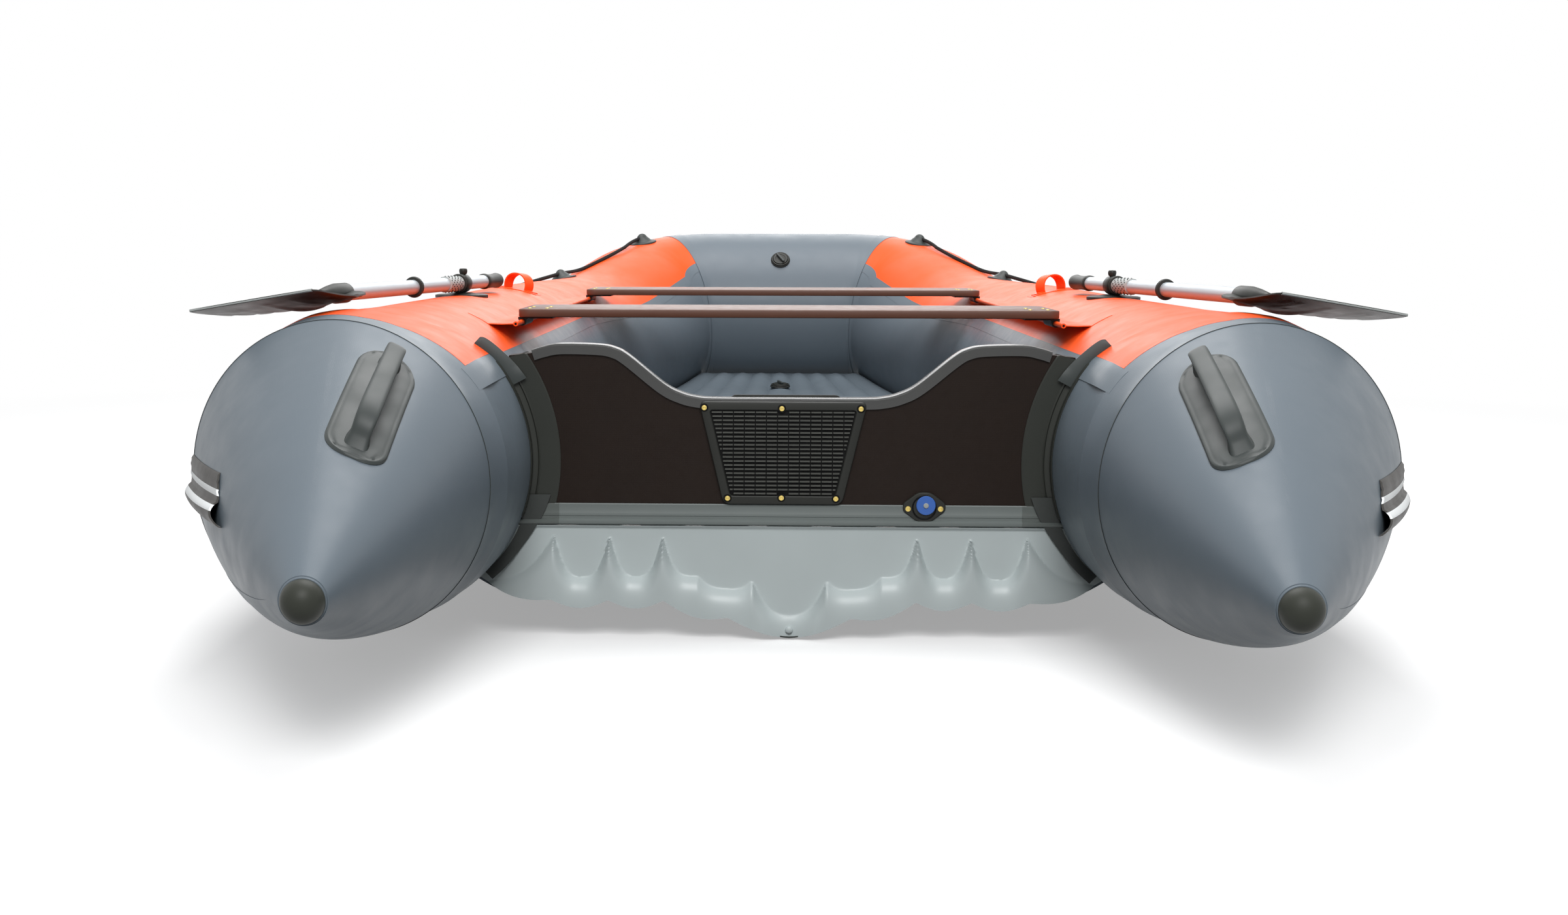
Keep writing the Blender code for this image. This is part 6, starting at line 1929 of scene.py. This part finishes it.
@dataclass
class Seats:
    """Plywood seats on slides that run along beads on the tubes."""

    shop: Workshop
    half: float = 0.503
    depth: float = 0.25
    thickness: float = 0.015
    top: float = 0.5145
    corner: float = 0.022
    aft_seat: float = 0.45
    forward_seat: float = 1.715
    bead_out: float = 0.4967
    bead_height: float = 0.4905
    bead_radius: float = 0.0045
    track_aft: float = 0.38
    track_forward: float = 1.86
    slide_inboard: float = 0.440
    slide_length: float = 0.10
    slide_wall: float = 0.0025
    slide_flange: float = 0.003
    mouth: float = 0.0022
    setback: float = 0.02
    screw_outs: tuple = (0.452, 0.485)
    screw_places: tuple = (0.02, 0.08)
    foot_angle: float = math.radians(-33)
    foot_reaches: tuple = (0.0, 0.004, 0.010, 0.018, 0.027, 0.036)
    web_half: float = 0.0008
    slack: float = 0.0012
    slack_wave: float = 31.0
    track_steps: int = 75

    def build(self) -> None:
        """Make tracks, slides and seats."""
        for seat, aft in (("aft", self.aft_seat), ("forward", self.forward_seat)):
            body = f"{seat}_seat"
            half, fore = self.half, aft + self.depth
            outline = rounded_outline([(-half, aft), (half, aft), (half, fore), (-half, fore)],
                                      self.corner, 8)
            base = self.top - self.thickness
            rings = []
            for drop, level in ((0.0022, base), (0.0006, base + 0.0006), (0, base + 0.002),
                                (0, self.top - 0.002), (0.0006, self.top - 0.0006), (0.0022, self.top)):
                ring = inset(outline, drop)
                rings.append(np.stack([ring[:, 0], ring[:, 1], np.full(len(ring), level)], -1))
            mesh = loft(f"seat_{seat}", np.array(rings), 50.0)
            self.shop.piece(mesh, SEAT_PLY, body, (f"seat_board_{seat}",))
            scatter = PointScatter(f"seat_screws_{seat}", ZINC)
            head = screw_head(0.004)
            head.transform(TO_BOW)
            spots = [(s * x, aft + self.setback + y, self.top) for s in (-1, 1) for x in self.screw_outs
                     for y in self.screw_places]
            self.shop.piece(scatter.mesh(f"slide_screws_{seat}", head, np.array(spots)), ZINC, body)
            for side_name, side in SIDES.items():
                self.slide(seat, side_name, side, aft)
        for side_name, side in SIDES.items():
            self.track(side_name, side)

    def slide(self, seat: str, side_name: str, side: float, aft: float) -> None:
        """The plastic flange and channel under a seat's end, open outboard for the web.

        Args:
            seat: "aft" or "forward".
            side_name: "port" or "starboard".
            side: -1 or 1.
            aft: The seat's aft edge.
        """
        inside = self.bead_radius + 0.0008
        top = self.top - self.thickness - 0.0003
        under = top - self.slide_flange
        x, z = self.bead_out, self.bead_height
        gap = math.asin(self.mouth / inside)
        turn = np.linspace(gap, 2 * math.pi - gap, 18)
        bore = [(x + inside * math.cos(a), z + inside * math.sin(a)) for a in turn]
        outer = inside + self.slide_wall
        round_back = [(x + outer * math.cos(a), z + outer * math.sin(a))
                      for a in np.linspace(2 * math.pi - 0.4, math.pi, 12)]
        outline = np.array(bore + round_back + [
            (x - outer, under - 0.002), (x - outer - 0.003, under), (self.slide_inboard, under),
            (self.slide_inboard, top), (x + outer, top), (x + outer, z + outer * 0.6),
            (x + outer - 0.001, z + self.mouth)])
        places = np.array([0, 0.0005, self.slide_length - 0.0005, self.slide_length]) + aft + self.setback
        rings = np.array([standing(outline, y) for y in places])
        mesh = loft(f"slide_{seat}_{side_name}", mirrored(rings, side), 30.0)
        self.shop.piece(mesh, BLACK_ABS, f"{seat}_seat", (f"seat_slide_{seat}_{side_name}",))

    def boundary(self, points: np.ndarray, axis: int, inner: float, outer: float,
                 clear: float) -> np.ndarray:
        """Find where lines along X or Z meet the tube.

        Args:
            points: One point on each line.
            axis: 0 for lines along X, 2 for lines along Z.
            inner: A coordinate inside the tube.
            outer: A coordinate outside it.
            clear: Height over the skin.

        Returns:
            One coordinate for each line.
        """
        held = np.full(len(points), inner)
        free = np.full(len(points), outer)
        swell = TUBE.swell(points[:, 1], np.full(len(points), self.foot_angle))
        for _ in range(20):
            middle = (held + free) / 2
            probe = points.copy()
            probe[:, axis] = middle
            under = TUBE.distance(probe) < TUBE.radius + swell + clear
            held, free = np.where(under, middle, held), np.where(under, free, middle)
        return (held + free) / 2

    def track(self, side_name: str, side: float) -> None:
        """The orange flap, glued down outboard of the bead that it ends in.

        Args:
            side_name: "port" or "starboard".
            side: -1 or 1.
        """
        forward = np.linspace(self.track_aft, self.track_forward, self.track_steps)
        level = np.full_like(forward, self.bead_height)
        line = np.stack([np.full_like(forward, TUBE.half_spacing), forward, level], -1)
        meet = self.boundary(line, 0, TUBE.half_spacing - 0.05, 0.40, 0.001)
        crest = TUBE.height + TUBE.radius + TUBE.crown + 0.01
        lanes = []
        for reach in self.foot_reaches:
            spots = np.stack([meet + reach, forward, level], -1)
            lanes.append((meet + reach, self.boundary(spots, 2, TUBE.height, crest, 0.0004)))
        middle = self.setback + self.slide_length / 2
        free = np.minimum(np.abs(forward - self.aft_seat - middle),
                          np.abs(forward - self.forward_seat - middle))
        slack = self.slack * ease((free - 0.06) / 0.1) * np.sin(forward * self.slack_wave)
        half, x0, z0 = self.web_half, self.bead_out, self.bead_height
        start = math.asin(half / self.bead_radius)
        turn = np.linspace(start, 2 * math.pi - start, 24)
        bead = [(x0 + self.bead_radius * math.cos(a), z0 + self.bead_radius * math.sin(a)) for a in turn]
        rings = []
        for k, y in enumerate(forward):
            web = (x0 + meet[k]) / 2
            under = [(web, z0 - half + slack[k])] + [(x[k] + 0.0005, z[k]) for x, z in lanes]
            over = [(x[k], max(z[k] + 2 * half, z0 + half)) for x, z in reversed(lanes)]
            rings.append(standing(np.array(bead + under + over + [(web, z0 + half + slack[k])]), y))
        self.shop.piece(loft(f"track_bead_{side_name}", mirrored(np.array(rings), side), 50.0), ORANGE_PVC,
                        stands_for=(f"seat_track_{side_name}",))
        # Near-black discs at the bead's ends: painted shade in its bores.
        hole = [(0.0022, 0.0), (0.0022, 0.0006), (0.0, 0.0006)]
        for end, y, way in (("aft", self.track_aft, TO_AFT), ("forward", self.track_forward, TO_BOW)):
            place = Matrix.Translation((side * x0, y, z0)) @ way
            self.shop.piece(turned(f"bead_{end}_bore_{side_name}", hole, place, 16), BLACK_AND_PAINTED_SHADE)


@dataclass
class Oars:
    """Oars that lie along the tubes on their turning locks."""

    shop: Workshop
    out: float = 0.678
    forward: float = 0.87
    height: float = 0.551
    turn: float = math.radians(8)
    radius: float = 0.014
    inboard: float = 0.26
    grip_length: float = 0.11
    root: float = 0.66
    tip: float = 1.05
    roll: float = math.radians(9.5)
    half_widths: tuple = (0.016, 0.045, 0.078, 0.096, 0.104, 0.106)
    length_shares: tuple = (0, 0.1, 0.28, 0.5, 0.8, 1)
    dish: float = -0.018
    half_thickness: float = 0.0021
    spine_height: float = 0.006
    spine_half: float = 0.009
    rib_height: float = 0.0010
    rib_pitch: float = 0.016
    edge_radius: float = 0.0024
    # Rings on the shaft: place along it, height and width.
    collars: tuple = (("collar", -0.30, 0.0065, 0.012), ("stop", -0.022, 0.006, 0.008))
    dimple: tuple = ((0.0, -0.0024), (0.0018, -0.0016), (0.0024, 0.0), (0.0018, 0.0016), (0.0, 0.0024))
    dimple_rows: tuple = (-0.106, -0.040)
    socket_radius: float = 0.0175

    def build(self) -> None:
        """Make both oars."""
        for side_name, side in SIDES.items():
            lay = Matrix.Translation((side * self.out, self.forward, self.height)) \
                @ Matrix.Rotation(side * self.turn, 4, "Z")
            self.shaft(side_name, lay @ TO_BOW)
            self.lock(side_name, side, lay)
            self.blade(side_name, lay @ Matrix.Rotation(side * self.roll, 4, "Y"))

    def shaft(self, side_name: str, along: Matrix) -> None:
        """The tube, its grip, its sleeve and its collars.

        Args:
            side_name: "port" or "starboard".
            along: Turns Z into the shaft's forward direction.
        """
        body = f"{side_name}_oar"
        r, grip = self.radius, self.inboard - self.grip_length
        tube = [(r * 0.8, -self.root), (r, -self.root + 0.001), (r, grip)]
        end = self.inboard
        waist = [(r, grip), (r + 0.0025, grip + 0.003), (r + 0.003, grip + 0.012),
                 (r + 0.0014, grip + 0.03), (r + 0.001, grip + 0.06), (r + 0.0018, end - 0.022),
                 (r + 0.0028, end - 0.012), (r + 0.002, end - 0.004), (r * 0.6, end), (0, end)]
        sleeve = [(r + 0.0001, -0.115), (r + 0.0022, -0.114), (r + 0.0022, -0.030), (r + 0.0001, -0.029)]
        parts = [("shaft", tube, ANODISED, (f"oar_shaft_{side_name}",)),
                 ("grip", waist, BLACK_ABS, (f"oar_grip_{side_name}",)), ("sleeve", sleeve, PALE_SLEEVE, ())]
        for name, place, size, width in self.collars:
            ring = [(r, place - width / 2), (r + size * 0.8, place - width / 2 + 0.001), (r + size, place),
                    (r + size * 0.8, place + width / 2 - 0.001), (r, place + width / 2)]
            parts.append((name, ring, BLACK_ABS, ()))
        for name, profile, finish, nodes in parts:
            self.shop.piece(turned(f"{name}_{side_name}", profile, along, 40), finish, body, nodes)
        dots = []
        for row, place in enumerate(np.linspace(*self.dimple_rows, 8)):
            for k in range(12):
                angle = (k + 0.5 * (row % 2)) * math.pi / 6
                dots.append(((r + 0.0022) * math.cos(angle), (r + 0.0022) * math.sin(angle), place))
        # The sleeve's holes are near-black dimples: painted shade inside the holes.
        ball = turned("dimple", self.dimple, Matrix.Identity(4), 10)
        scatter = PointScatter(f"perforations_{side_name}", BLACK_AND_PAINTED_SHADE)
        mesh = scatter.mesh(f"sleeve_holes_{side_name}", ball, np.array(dots),
                            np.array([(0.55, 0.55, 0.9)] * len(dots)))
        mesh.transform(along)
        self.shop.piece(mesh, BLACK_AND_PAINTED_SHADE, body)

    def lock(self, side_name: str, side: float, lay: Matrix) -> None:
        """The lock's base on the tube, its pin and the clamp round the shaft.

        Args:
            side_name: "port" or "starboard".
            side: -1 or 1.
            lay: The oar's place.
        """
        body = f"{side_name}_oar"
        foot = TUBE.height + TUBE.radius - self.height
        base_place = Matrix.Translation((side * self.out, self.forward, self.height))
        base = [(0.055, foot - 0.004), (0.055, foot + 0.0012), (0.050, foot + 0.0026),
                (0.030, foot + 0.0040), (0.022, foot + 0.0060), (0.013, -0.0200), (0.0125, -0.0195),
                (0.0062, -0.0195), (0.0, -0.0195)]
        self.shop.piece(turned(f"lock_base_{side_name}", base, base_place, 48), BLACK_ABS,
                        stands_for=(f"oarlock_base_{side_name}",))
        pin = [(0.0055, foot + 0.002), (0.0055, -0.010), (0.0, -0.010)]
        self.shop.piece(turned(f"lock_pin_{side_name}", pin, lay, 24), BLACK_ABS, body)
        r = self.radius
        ring = [(r + 0.0003, -0.015), (r + 0.0045, -0.015), (r + 0.0058, -0.012), (r + 0.0058, 0.012),
                (r + 0.0045, 0.015), (r + 0.0003, 0.015)]
        mesh = turned(f"lock_clamp_{side_name}", ring, lay @ TO_BOW, 40, 30.0)
        self.shop.piece(mesh, BLACK_ABS, body, (f"oarlock_{side_name}",))
        knob = [(0.004, 0.0), (0.0075, 0.002), (0.0085, 0.006), (0.0085, 0.010), (0.007, 0.0125),
                (0.0, 0.013)]
        place = lay @ Matrix.Translation((side * -0.004, 0, r + 0.004))
        self.shop.piece(turned(f"lock_knob_{side_name}", knob, place, 24), BLACK_ABS, body)

    def blade(self, side_name: str, place: Matrix) -> None:
        """The dished blade with its ribs, pale edge and socket.

        Args:
            side_name: "port" or "starboard".
            place: The blade's frame; it runs along -Y.
        """
        body = f"{side_name}_oar"
        share = np.linspace(0, 1, 34)
        table = smooth_line(list(zip(self.length_shares, self.half_widths)), 8)
        half = np.interp(share, table[:, 0], table[:, 1])
        half = half * np.sqrt(np.clip(1 - np.clip((share - 0.93) / 0.075, 0, 1) ** 2 * 0.12, 0, 1))
        lanes = np.linspace(-1, 1, 31)
        x = half[:, None] * lanes[None, :]
        y = -(self.root + (self.tip - self.root) * share)[:, None] + 0 * x
        sag = self.dish * np.sin(math.pi * share)[:, None] * (1 - 0.25 * lanes[None, :] ** 2)
        ridge = np.exp(-(x / self.spine_half) ** 2)
        spine = ridge * self.spine_height * (1 - ease((share - 0.35) / 0.5))[:, None]
        ribbed = ((share > 0.25) & (share < 0.9))[:, None]
        ribs = self.rib_height * (np.cos(x / self.rib_pitch * 2 * math.pi) > 0.75) * ribbed
        thick = self.half_thickness * (1 - 0.45 * np.abs(lanes[None, :]) ** 4) + 0 * x
        outer = np.stack([x, y, sag + thick + spine + ribs], -1)
        inner = np.stack([x, y, sag - thick - spine * 0.8 - ribs], -1)
        mesh = shell(f"blade_{side_name}", outer, inner, crease=45.0)
        mesh.transform(place)
        self.shop.piece(mesh, BLACK_ABS, body, (f"oar_blade_{side_name}",))
        rim = np.stack([half[-1] * lanes, np.full(31, -self.tip + 0.002), np.zeros(31)], -1)
        line = np.array([(place @ Vector(p)) for p in rim])
        edge = sweep(f"blade_edge_{side_name}", line, self.edge_radius, 10)
        self.shop.piece(edge, PALE_SLEEVE, body)
        r, root = self.socket_radius, -self.root
        socket = [(r * 0.3, root - 0.118), (r * 0.5, root - 0.112), (r * 0.82, root - 0.075),
                  (r, root - 0.045), (r, root - 0.001), (r * 0.98, root + 0.001)]
        self.shop.piece(turned(f"socket_{side_name}", socket, place @ TO_BOW, 32), BLACK_ABS, body)


@dataclass
class GrabLines:
    """The rope over each shoulder and the rubber eyes that hold it."""

    shop: Workshop
    radius: float = 0.005
    lift: float = 0.015
    upper_share: float = 0.3
    lower_forward: float = 2.18
    lower_angle: float = math.radians(12)
    end_forward: float = 1.70
    end_angle: float = math.radians(36)
    droop: float = math.radians(3)
    clear: float = 0.0003
    steps: int = 40
    eye_patch: tuple = ((0.042, -0.0022), (0.0418, 0.0010), (0.040, 0.0022), (0.030, 0.0032),
                        (0.026, 0.0052), (0.022, 0.010))
    eye_loop: tuple = ((0.019, 0.0155), (0.0155, 0.0205), (0.0105, 0.0245), (0.005, 0.0265),
                       (0.0001, 0.027))
    loop_narrowing: float = 0.72

    def build(self) -> None:
        """Make both lines with their eyes."""
        route, stops = self.route()
        for side_name, side in SIDES.items():
            line = sweep(f"rope_{side_name}", mirrored(route, side), self.radius, 12)
            self.shop.piece(line, BRAID, stands_for=(f"grab_line_{side_name}",))
            for name, (place, up, along) in stops.items():
                self.eye(name, side_name, side, place, up, along)

    def station(self, forward: float) -> tuple[np.ndarray, np.ndarray]:
        """The tube's axis where it passes a place along the boat.

        Args:
            forward: The place.

        Returns:
            A point and the direction there.
        """
        points, tangents = TUBE.side_line(0.02)
        point = np.array([np.interp(forward, points[:, 1], points[:, k]) for k in range(3)])
        tangent = np.array([np.interp(forward, points[:, 1], tangents[:, k]) for k in range(3)])
        return point, tangent / np.linalg.norm(tangent)

    def route(self) -> tuple[np.ndarray, dict]:
        """The rope's centreline, and where its eyes stand.

        Returns:
            Points, and for each eye its foot, its outward direction and the rope's direction.
        """
        corner = TUBE.arc(3, np.array([self.upper_share]))[0]
        marks = [(corner, 0.0), (self.station(self.lower_forward), self.lower_angle),
                 (self.station(self.end_forward), self.end_angle)]
        points = []
        for (first, a0), (second, a1) in zip(marks, marks[1:]):
            for share in np.arange(self.steps) / self.steps:
                forward = first[0][1] + (second[0][1] - first[0][1]) * share
                angle = a0 + (a1 - a0) * ease(share) + self.droop * math.sin(math.pi * share) ** 2
                where = first if share == 0 else self.station(forward)
                raised = (self.lift - self.radius) * abs(math.cos(math.pi * share)) ** 3
                points.append(self.over(where, angle, self.radius + self.clear + raised)[0])
        points.append(self.over(marks[-1][0], self.end_angle, self.radius + self.clear)[0])
        path = np.array(points)
        stops = {}
        for name, index, (where, angle) in (("upper", 0, marks[0]), ("lower", self.steps, marks[1]),
                                            ("end", len(path) - 1, marks[2])):
            foot, up = self.over(where, angle, 0.0004)
            before, after = path[max(index - 1, 0)], path[min(index + 1, len(path) - 1)]
            stops[name] = (foot, up, (after - before) / np.linalg.norm(after - before))
        return path, stops

    def over(self, where: tuple[np.ndarray, np.ndarray], angle: float,
             height: float) -> tuple[np.ndarray, np.ndarray]:
        """A point over the tube.

        Args:
            where: The axis there.
            angle: From the top, outboard.
            height: Height over the skin.

        Returns:
            The point and the outward direction.
        """
        point = TUBE.ring(where[0][None], where[1][None], np.array([angle]), TUBE.radius + height)[0, 0]
        up = point - where[0]
        return point, up / np.linalg.norm(up)

    def eye(self, name: str, side_name: str, side: float, foot: np.ndarray, up: np.ndarray,
            along: np.ndarray) -> None:
        """A round rubber patch with the loop that the rope runs through.

        Args:
            name: Which eye.
            side_name: "port" or "starboard".
            side: -1 or 1.
            foot: Its place on the tube.
            up: Outward direction.
            along: The rope's direction.
        """
        across = np.cross(along, up)
        across /= np.linalg.norm(across)
        run = np.cross(up, across)
        spin = np.linspace(0, 2 * math.pi, 40, endpoint=False)
        rings = []
        for profile, breadth in ((self.eye_patch, 1.0), (self.eye_loop, self.loop_narrowing)):
            spokes = np.cos(spin)[:, None] * across * breadth + np.sin(spin)[:, None] * run
            rings += [foot + up * h + r * spokes for r, h in profile]
        stands = (f"rope_eye_{name}_{side_name}",) if name != "end" else ()
        mesh = loft(f"eye_{name}_{side_name}", mirrored(np.array(rings), side), 50.0)
        self.shop.piece(mesh, HANDLE_RUBBER, stands_for=stands)


@dataclass
class Valves:
    """Air valves with their turning caps."""

    shop: Workshop
    radius: float = 0.0285
    well: float = 0.0225
    bow_angle: float = math.radians(-48)
    floor_tilt: float = math.radians(6.45)
    side_angle: float = math.radians(-78)
    side_places: tuple = (("aft", 0.17), ("forward", 1.46))
    bar_halves: tuple = (0.0034, 0.0185)

    def build(self) -> None:
        """Make the bow, floor and side valves."""
        middle = np.array([[0.0, TUBE.bow_forward, TUBE.height + TUBE.bow_rise]])
        away = np.array([[-1.0, 0, 0]])
        foot = TUBE.ring(middle, away, np.array([self.bow_angle]), TUBE.radius + 0.0003)[0, 0]
        self.valve("bow_valve", "bow_cap", foot, (foot - middle[0]) / TUBE.radius, math.radians(35),
                   ("bow_valve_body",), ("bow_valve_cap",))
        low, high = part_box("floor_valve_body")
        up = np.array((0.0, -math.sin(self.floor_tilt), math.cos(self.floor_tilt)))
        centre = np.array((low + high) / 2) - (0, self.shop.stern, 0)
        self.valve("floor_valve", "floor_cap", centre - up * 0.0035, up, math.radians(20),
                   ("floor_valve_body",), ("floor_valve_cap",))
        for side_name, side in SIDES.items():
            up = np.array((math.sin(self.side_angle), 0, math.cos(self.side_angle)))
            for name, place in self.side_places:
                spot = TUBE.on_straight(np.array([place]), np.array([self.side_angle]), 0.0004)[0, 0]
                self.valve(f"side_valve_{name}_{side_name}", "hull", mirrored(spot, side),
                           mirrored(up, side), 0.3)

    def valve(self, name: str, cap_body: str, foot: np.ndarray, up: np.ndarray, bar_turn: float,
              seat_nodes: tuple[str, ...] = (), cap_nodes: tuple[str, ...] = ()) -> None:
        """One valve: its seat, its cap and the bar to turn it by.

        Args:
            name: The valve's name.
            cap_body: The body that its cap rides on.
            foot: Its place on the skin.
            up: Outward direction.
            bar_turn: How far the bar is turned.
            seat_nodes: Nodes that the seat replaces.
            cap_nodes: Nodes that the cap replaces.
        """
        z = Vector(up).normalized()
        x = Vector((1, 0, 0)) - z * z.x if abs(z.x) < 0.9 else Vector((0, 1, 0))
        x.normalize()
        place = Matrix((x, z.cross(x), z)).transposed().to_4x4()
        place.translation = Vector(foot)
        seat = [(self.radius, -0.001), (self.radius, 0.0022), (self.radius - 0.0016, 0.0034),
                (0.0262, 0.0066), (0.0250, 0.0072), (0.0232, 0.0070), (self.well, 0.0060),
                (self.well, 0.0030), (0.0, 0.0030)]
        self.shop.piece(turned(f"{name}_seat", seat, place, 48, 30.0), BLACK_ABS, stands_for=seat_nodes)
        cap = [(0.0217, 0.0034), (0.0217, 0.0076), (0.0208, 0.0088), (0.0150, 0.0092), (0.0140, 0.0084),
               (0.0, 0.0080)]
        self.shop.piece(turned(f"{name}_lid", cap, place, 48, 30.0), BLACK_ABS, cap_body, cap_nodes)
        wide, long = self.bar_halves
        outline = rounded_outline([(-wide, -long), (wide, -long), (wide, long), (-wide, long)], 0.003, 5)
        bar = plate(f"{name}_bar", outline, 0.0075, 0.0155, 0.0018, upright=False)
        bar.transform(place @ Matrix.Rotation(bar_turn, 4, "Z"))
        self.shop.piece(bar, HANDLE_RUBBER, cap_body)


@dataclass
class Studio:
    """A pale floor, soft light and the photograph's camera."""

    shop: Workshop
    eye: tuple = (-0.0385, -2.8825, 0.649)
    lens: float = 41.19
    pitch: float = math.radians(-7.07)
    yaw: float = math.radians(1.68)
    roll: float = math.radians(-0.136)
    shift: tuple = (0.04454, 0.0011)
    fade_near: float = 2.2
    fade_far: float = 4.5
    paper_lift: float = 0.35
    sky_strength: float = 0.38
    floor_reach: float = 30.0
    floor_height: float = -0.003
    # Name, place, aim, width and watts of each lamp.
    lamps: tuple = (
        ("key_light", (0.2, -5.5, 4.4), (0, -0.5, 0.3), 3.0, 290.0),
        ("top_light", (0.0, 0.9, 4.0), (0, 0.6, 0.3), 2.8, 140.0),
        ("right_light", (4.0, -1.0, 2.0), (0.2, -0.2, 0.3), 2.2, 7.0),
        ("left_light", (-4.0, -1.2, 2.0), (-0.2, -0.2, 0.3), 2.2, 7.0),
        ("bow_light", (0.0, 5.2, 2.6), (0, 0.8, 0.3), 2.6, 40.0),
    )

    def build(self) -> None:
        """Set up the camera, the floor, the lamps and the world."""
        self.camera()
        self.floor()
        for lamp in self.lamps:
            self.lamp(*lamp)
        self.world()
        bpy.context.scene.view_settings.view_transform = "Standard"

    def camera(self) -> None:
        """The camera at the photograph's place and angle."""
        lens = bpy.data.cameras.new("photo_camera")
        lens.sensor_width = 36.0
        lens.lens = self.lens
        lens.shift_x, lens.shift_y = self.shift
        seen = bpy.data.objects.new("photo_camera", lens)
        turn = Matrix.Rotation(self.yaw, 4, "Z") @ Matrix.Rotation(self.pitch, 4, "X") \
            @ Matrix.Rotation(self.roll, 4, "Y") @ TO_AFT
        seen.matrix_world = Matrix.Translation(Vector(self.eye) + Vector((0, self.shop.stern, 0))) @ turn
        bpy.context.scene.collection.objects.link(seen)
        bpy.context.scene.camera = seen

    @staticmethod
    def seen(tree: bpy.types.NodeTree) -> bpy.types.NodeSocket:
        """1 for what the camera and gloss see, and 0 for light that falls on the boat.

        Args:
            tree: The material's or the sky's tree.

        Returns:
            The grey value.
        """
        ray = add(tree, "ShaderNodeLightPath").outputs
        return maths(tree, "MAXIMUM", ray["Is Camera Ray"], ray["Is Glossy Ray"])

    def floor(self) -> None:
        """A wide pale floor that keeps the shadow near the boat and fades to white."""
        mesh = bpy.data.meshes.new("studio_floor")
        reach = self.floor_reach
        mesh.from_pydata([(x * reach, y * reach, self.floor_height)
                          for x, y in ((-1, -1), (1, -1), (1, 1), (-1, 1))], [], [(0, 1, 2, 3)])
        ground = bpy.data.objects.new("studio_floor", mesh)
        bpy.context.scene.collection.objects.link(ground)
        made = bpy.data.materials.new("studio_paper")
        made.use_nodes = True
        tree = made.node_tree
        tree.nodes.clear()
        seen = self.seen(tree)
        place = add(tree, "ShaderNodeTexCoord")
        away = add(tree, "ShaderNodeVectorMath", {0: place.outputs["Object"]}, operation="LENGTH")
        far = add(tree, "ShaderNodeMapRange", {
            "Value": away.outputs["Value"], "From Min": self.fade_near, "From Max": self.fade_far})
        paper = add(tree, "ShaderNodeBsdfDiffuse", {"Color": linear("#dcdcdc")})
        lift = add(tree, "ShaderNodeEmission", {"Color": (1, 1, 1, 1), "Strength": self.paper_lift})
        near = add(tree, "ShaderNodeAddShader", {0: paper.outputs[0], 1: lift.outputs[0]})
        white = add(tree, "ShaderNodeEmission", {"Color": (1, 1, 1, 1), "Strength": 1.0})
        shown = add(tree, "ShaderNodeMixShader", {
            0: far.outputs["Result"], 1: near.outputs[0], 2: white.outputs[0]})
        quiet = add(tree, "ShaderNodeBsdfDiffuse", {"Color": linear("#484848")})
        blend = add(tree, "ShaderNodeMixShader", {0: seen, 1: quiet.outputs[0], 2: shown.outputs[0]})
        add(tree, "ShaderNodeOutputMaterial", {"Surface": blend.outputs[0]})
        mesh.materials.append(made)

    def lamp(self, name: str, spot: tuple, aim: tuple, size: float, power: float) -> None:
        """A soft square lamp.

        Args:
            name: Its name.
            spot: Where it stands.
            aim: What it points at.
            size: Its width.
            power: Its power in watts.
        """
        light = bpy.data.lights.new(name, "AREA")
        light.shape, light.size, light.energy = "SQUARE", size, power
        held = bpy.data.objects.new(name, light)
        way = Vector(aim) - Vector(spot)
        held.matrix_world = Matrix.Translation(spot) @ way.to_track_quat("-Z", "Y").to_matrix().to_4x4()
        bpy.context.scene.collection.objects.link(held)

    def world(self) -> None:
        """A soft grey sky that the camera and gloss see as white."""
        sky = bpy.data.worlds.new("studio_sky")
        bpy.context.scene.world = sky
        sky.use_nodes = True
        tree = sky.node_tree
        tree.nodes.clear()
        seen = self.seen(tree)
        soft = add(tree, "ShaderNodeBackground", {"Color": linear("#f0f2f5"), "Strength": self.sky_strength})
        white = add(tree, "ShaderNodeBackground", {"Color": (1, 1, 1, 1), "Strength": 1.0})
        blend = add(tree, "ShaderNodeMixShader", {0: seen, 1: soft.outputs[0], 2: white.outputs[0]})
        add(tree, "ShaderNodeOutputWorld", {"Surface": blend.outputs[0]})


def corners(box: tuple) -> list[list[float]]:
    """A box's corners as plain lists."""
    return [[float(v) for v in corner] for corner in box]


def main() -> None:
    """Load the frame, build every sub-assembly and log how many pieces were made."""
    logging.basicConfig(level=logging.INFO, format="%(name)s: %(message)s")
    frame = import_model()
    shop = Workshop(frame)
    floor = AirFloor(shop)
    for assembly in (Studio(shop), AirTubes(shop), RubStrake(shop), floor, SternMoulding(shop, floor),
                     Transom(shop), MotorPads(shop), Drain(shop), CarryHandle(shop), LiftLoops(shop),
                     Seats(shop), Oars(shop), GrabLines(shop), Valves(shop)):
        assembly.build()
    log.info("%d pieces made", shop.count)


if __name__ == "__main__":
    main()
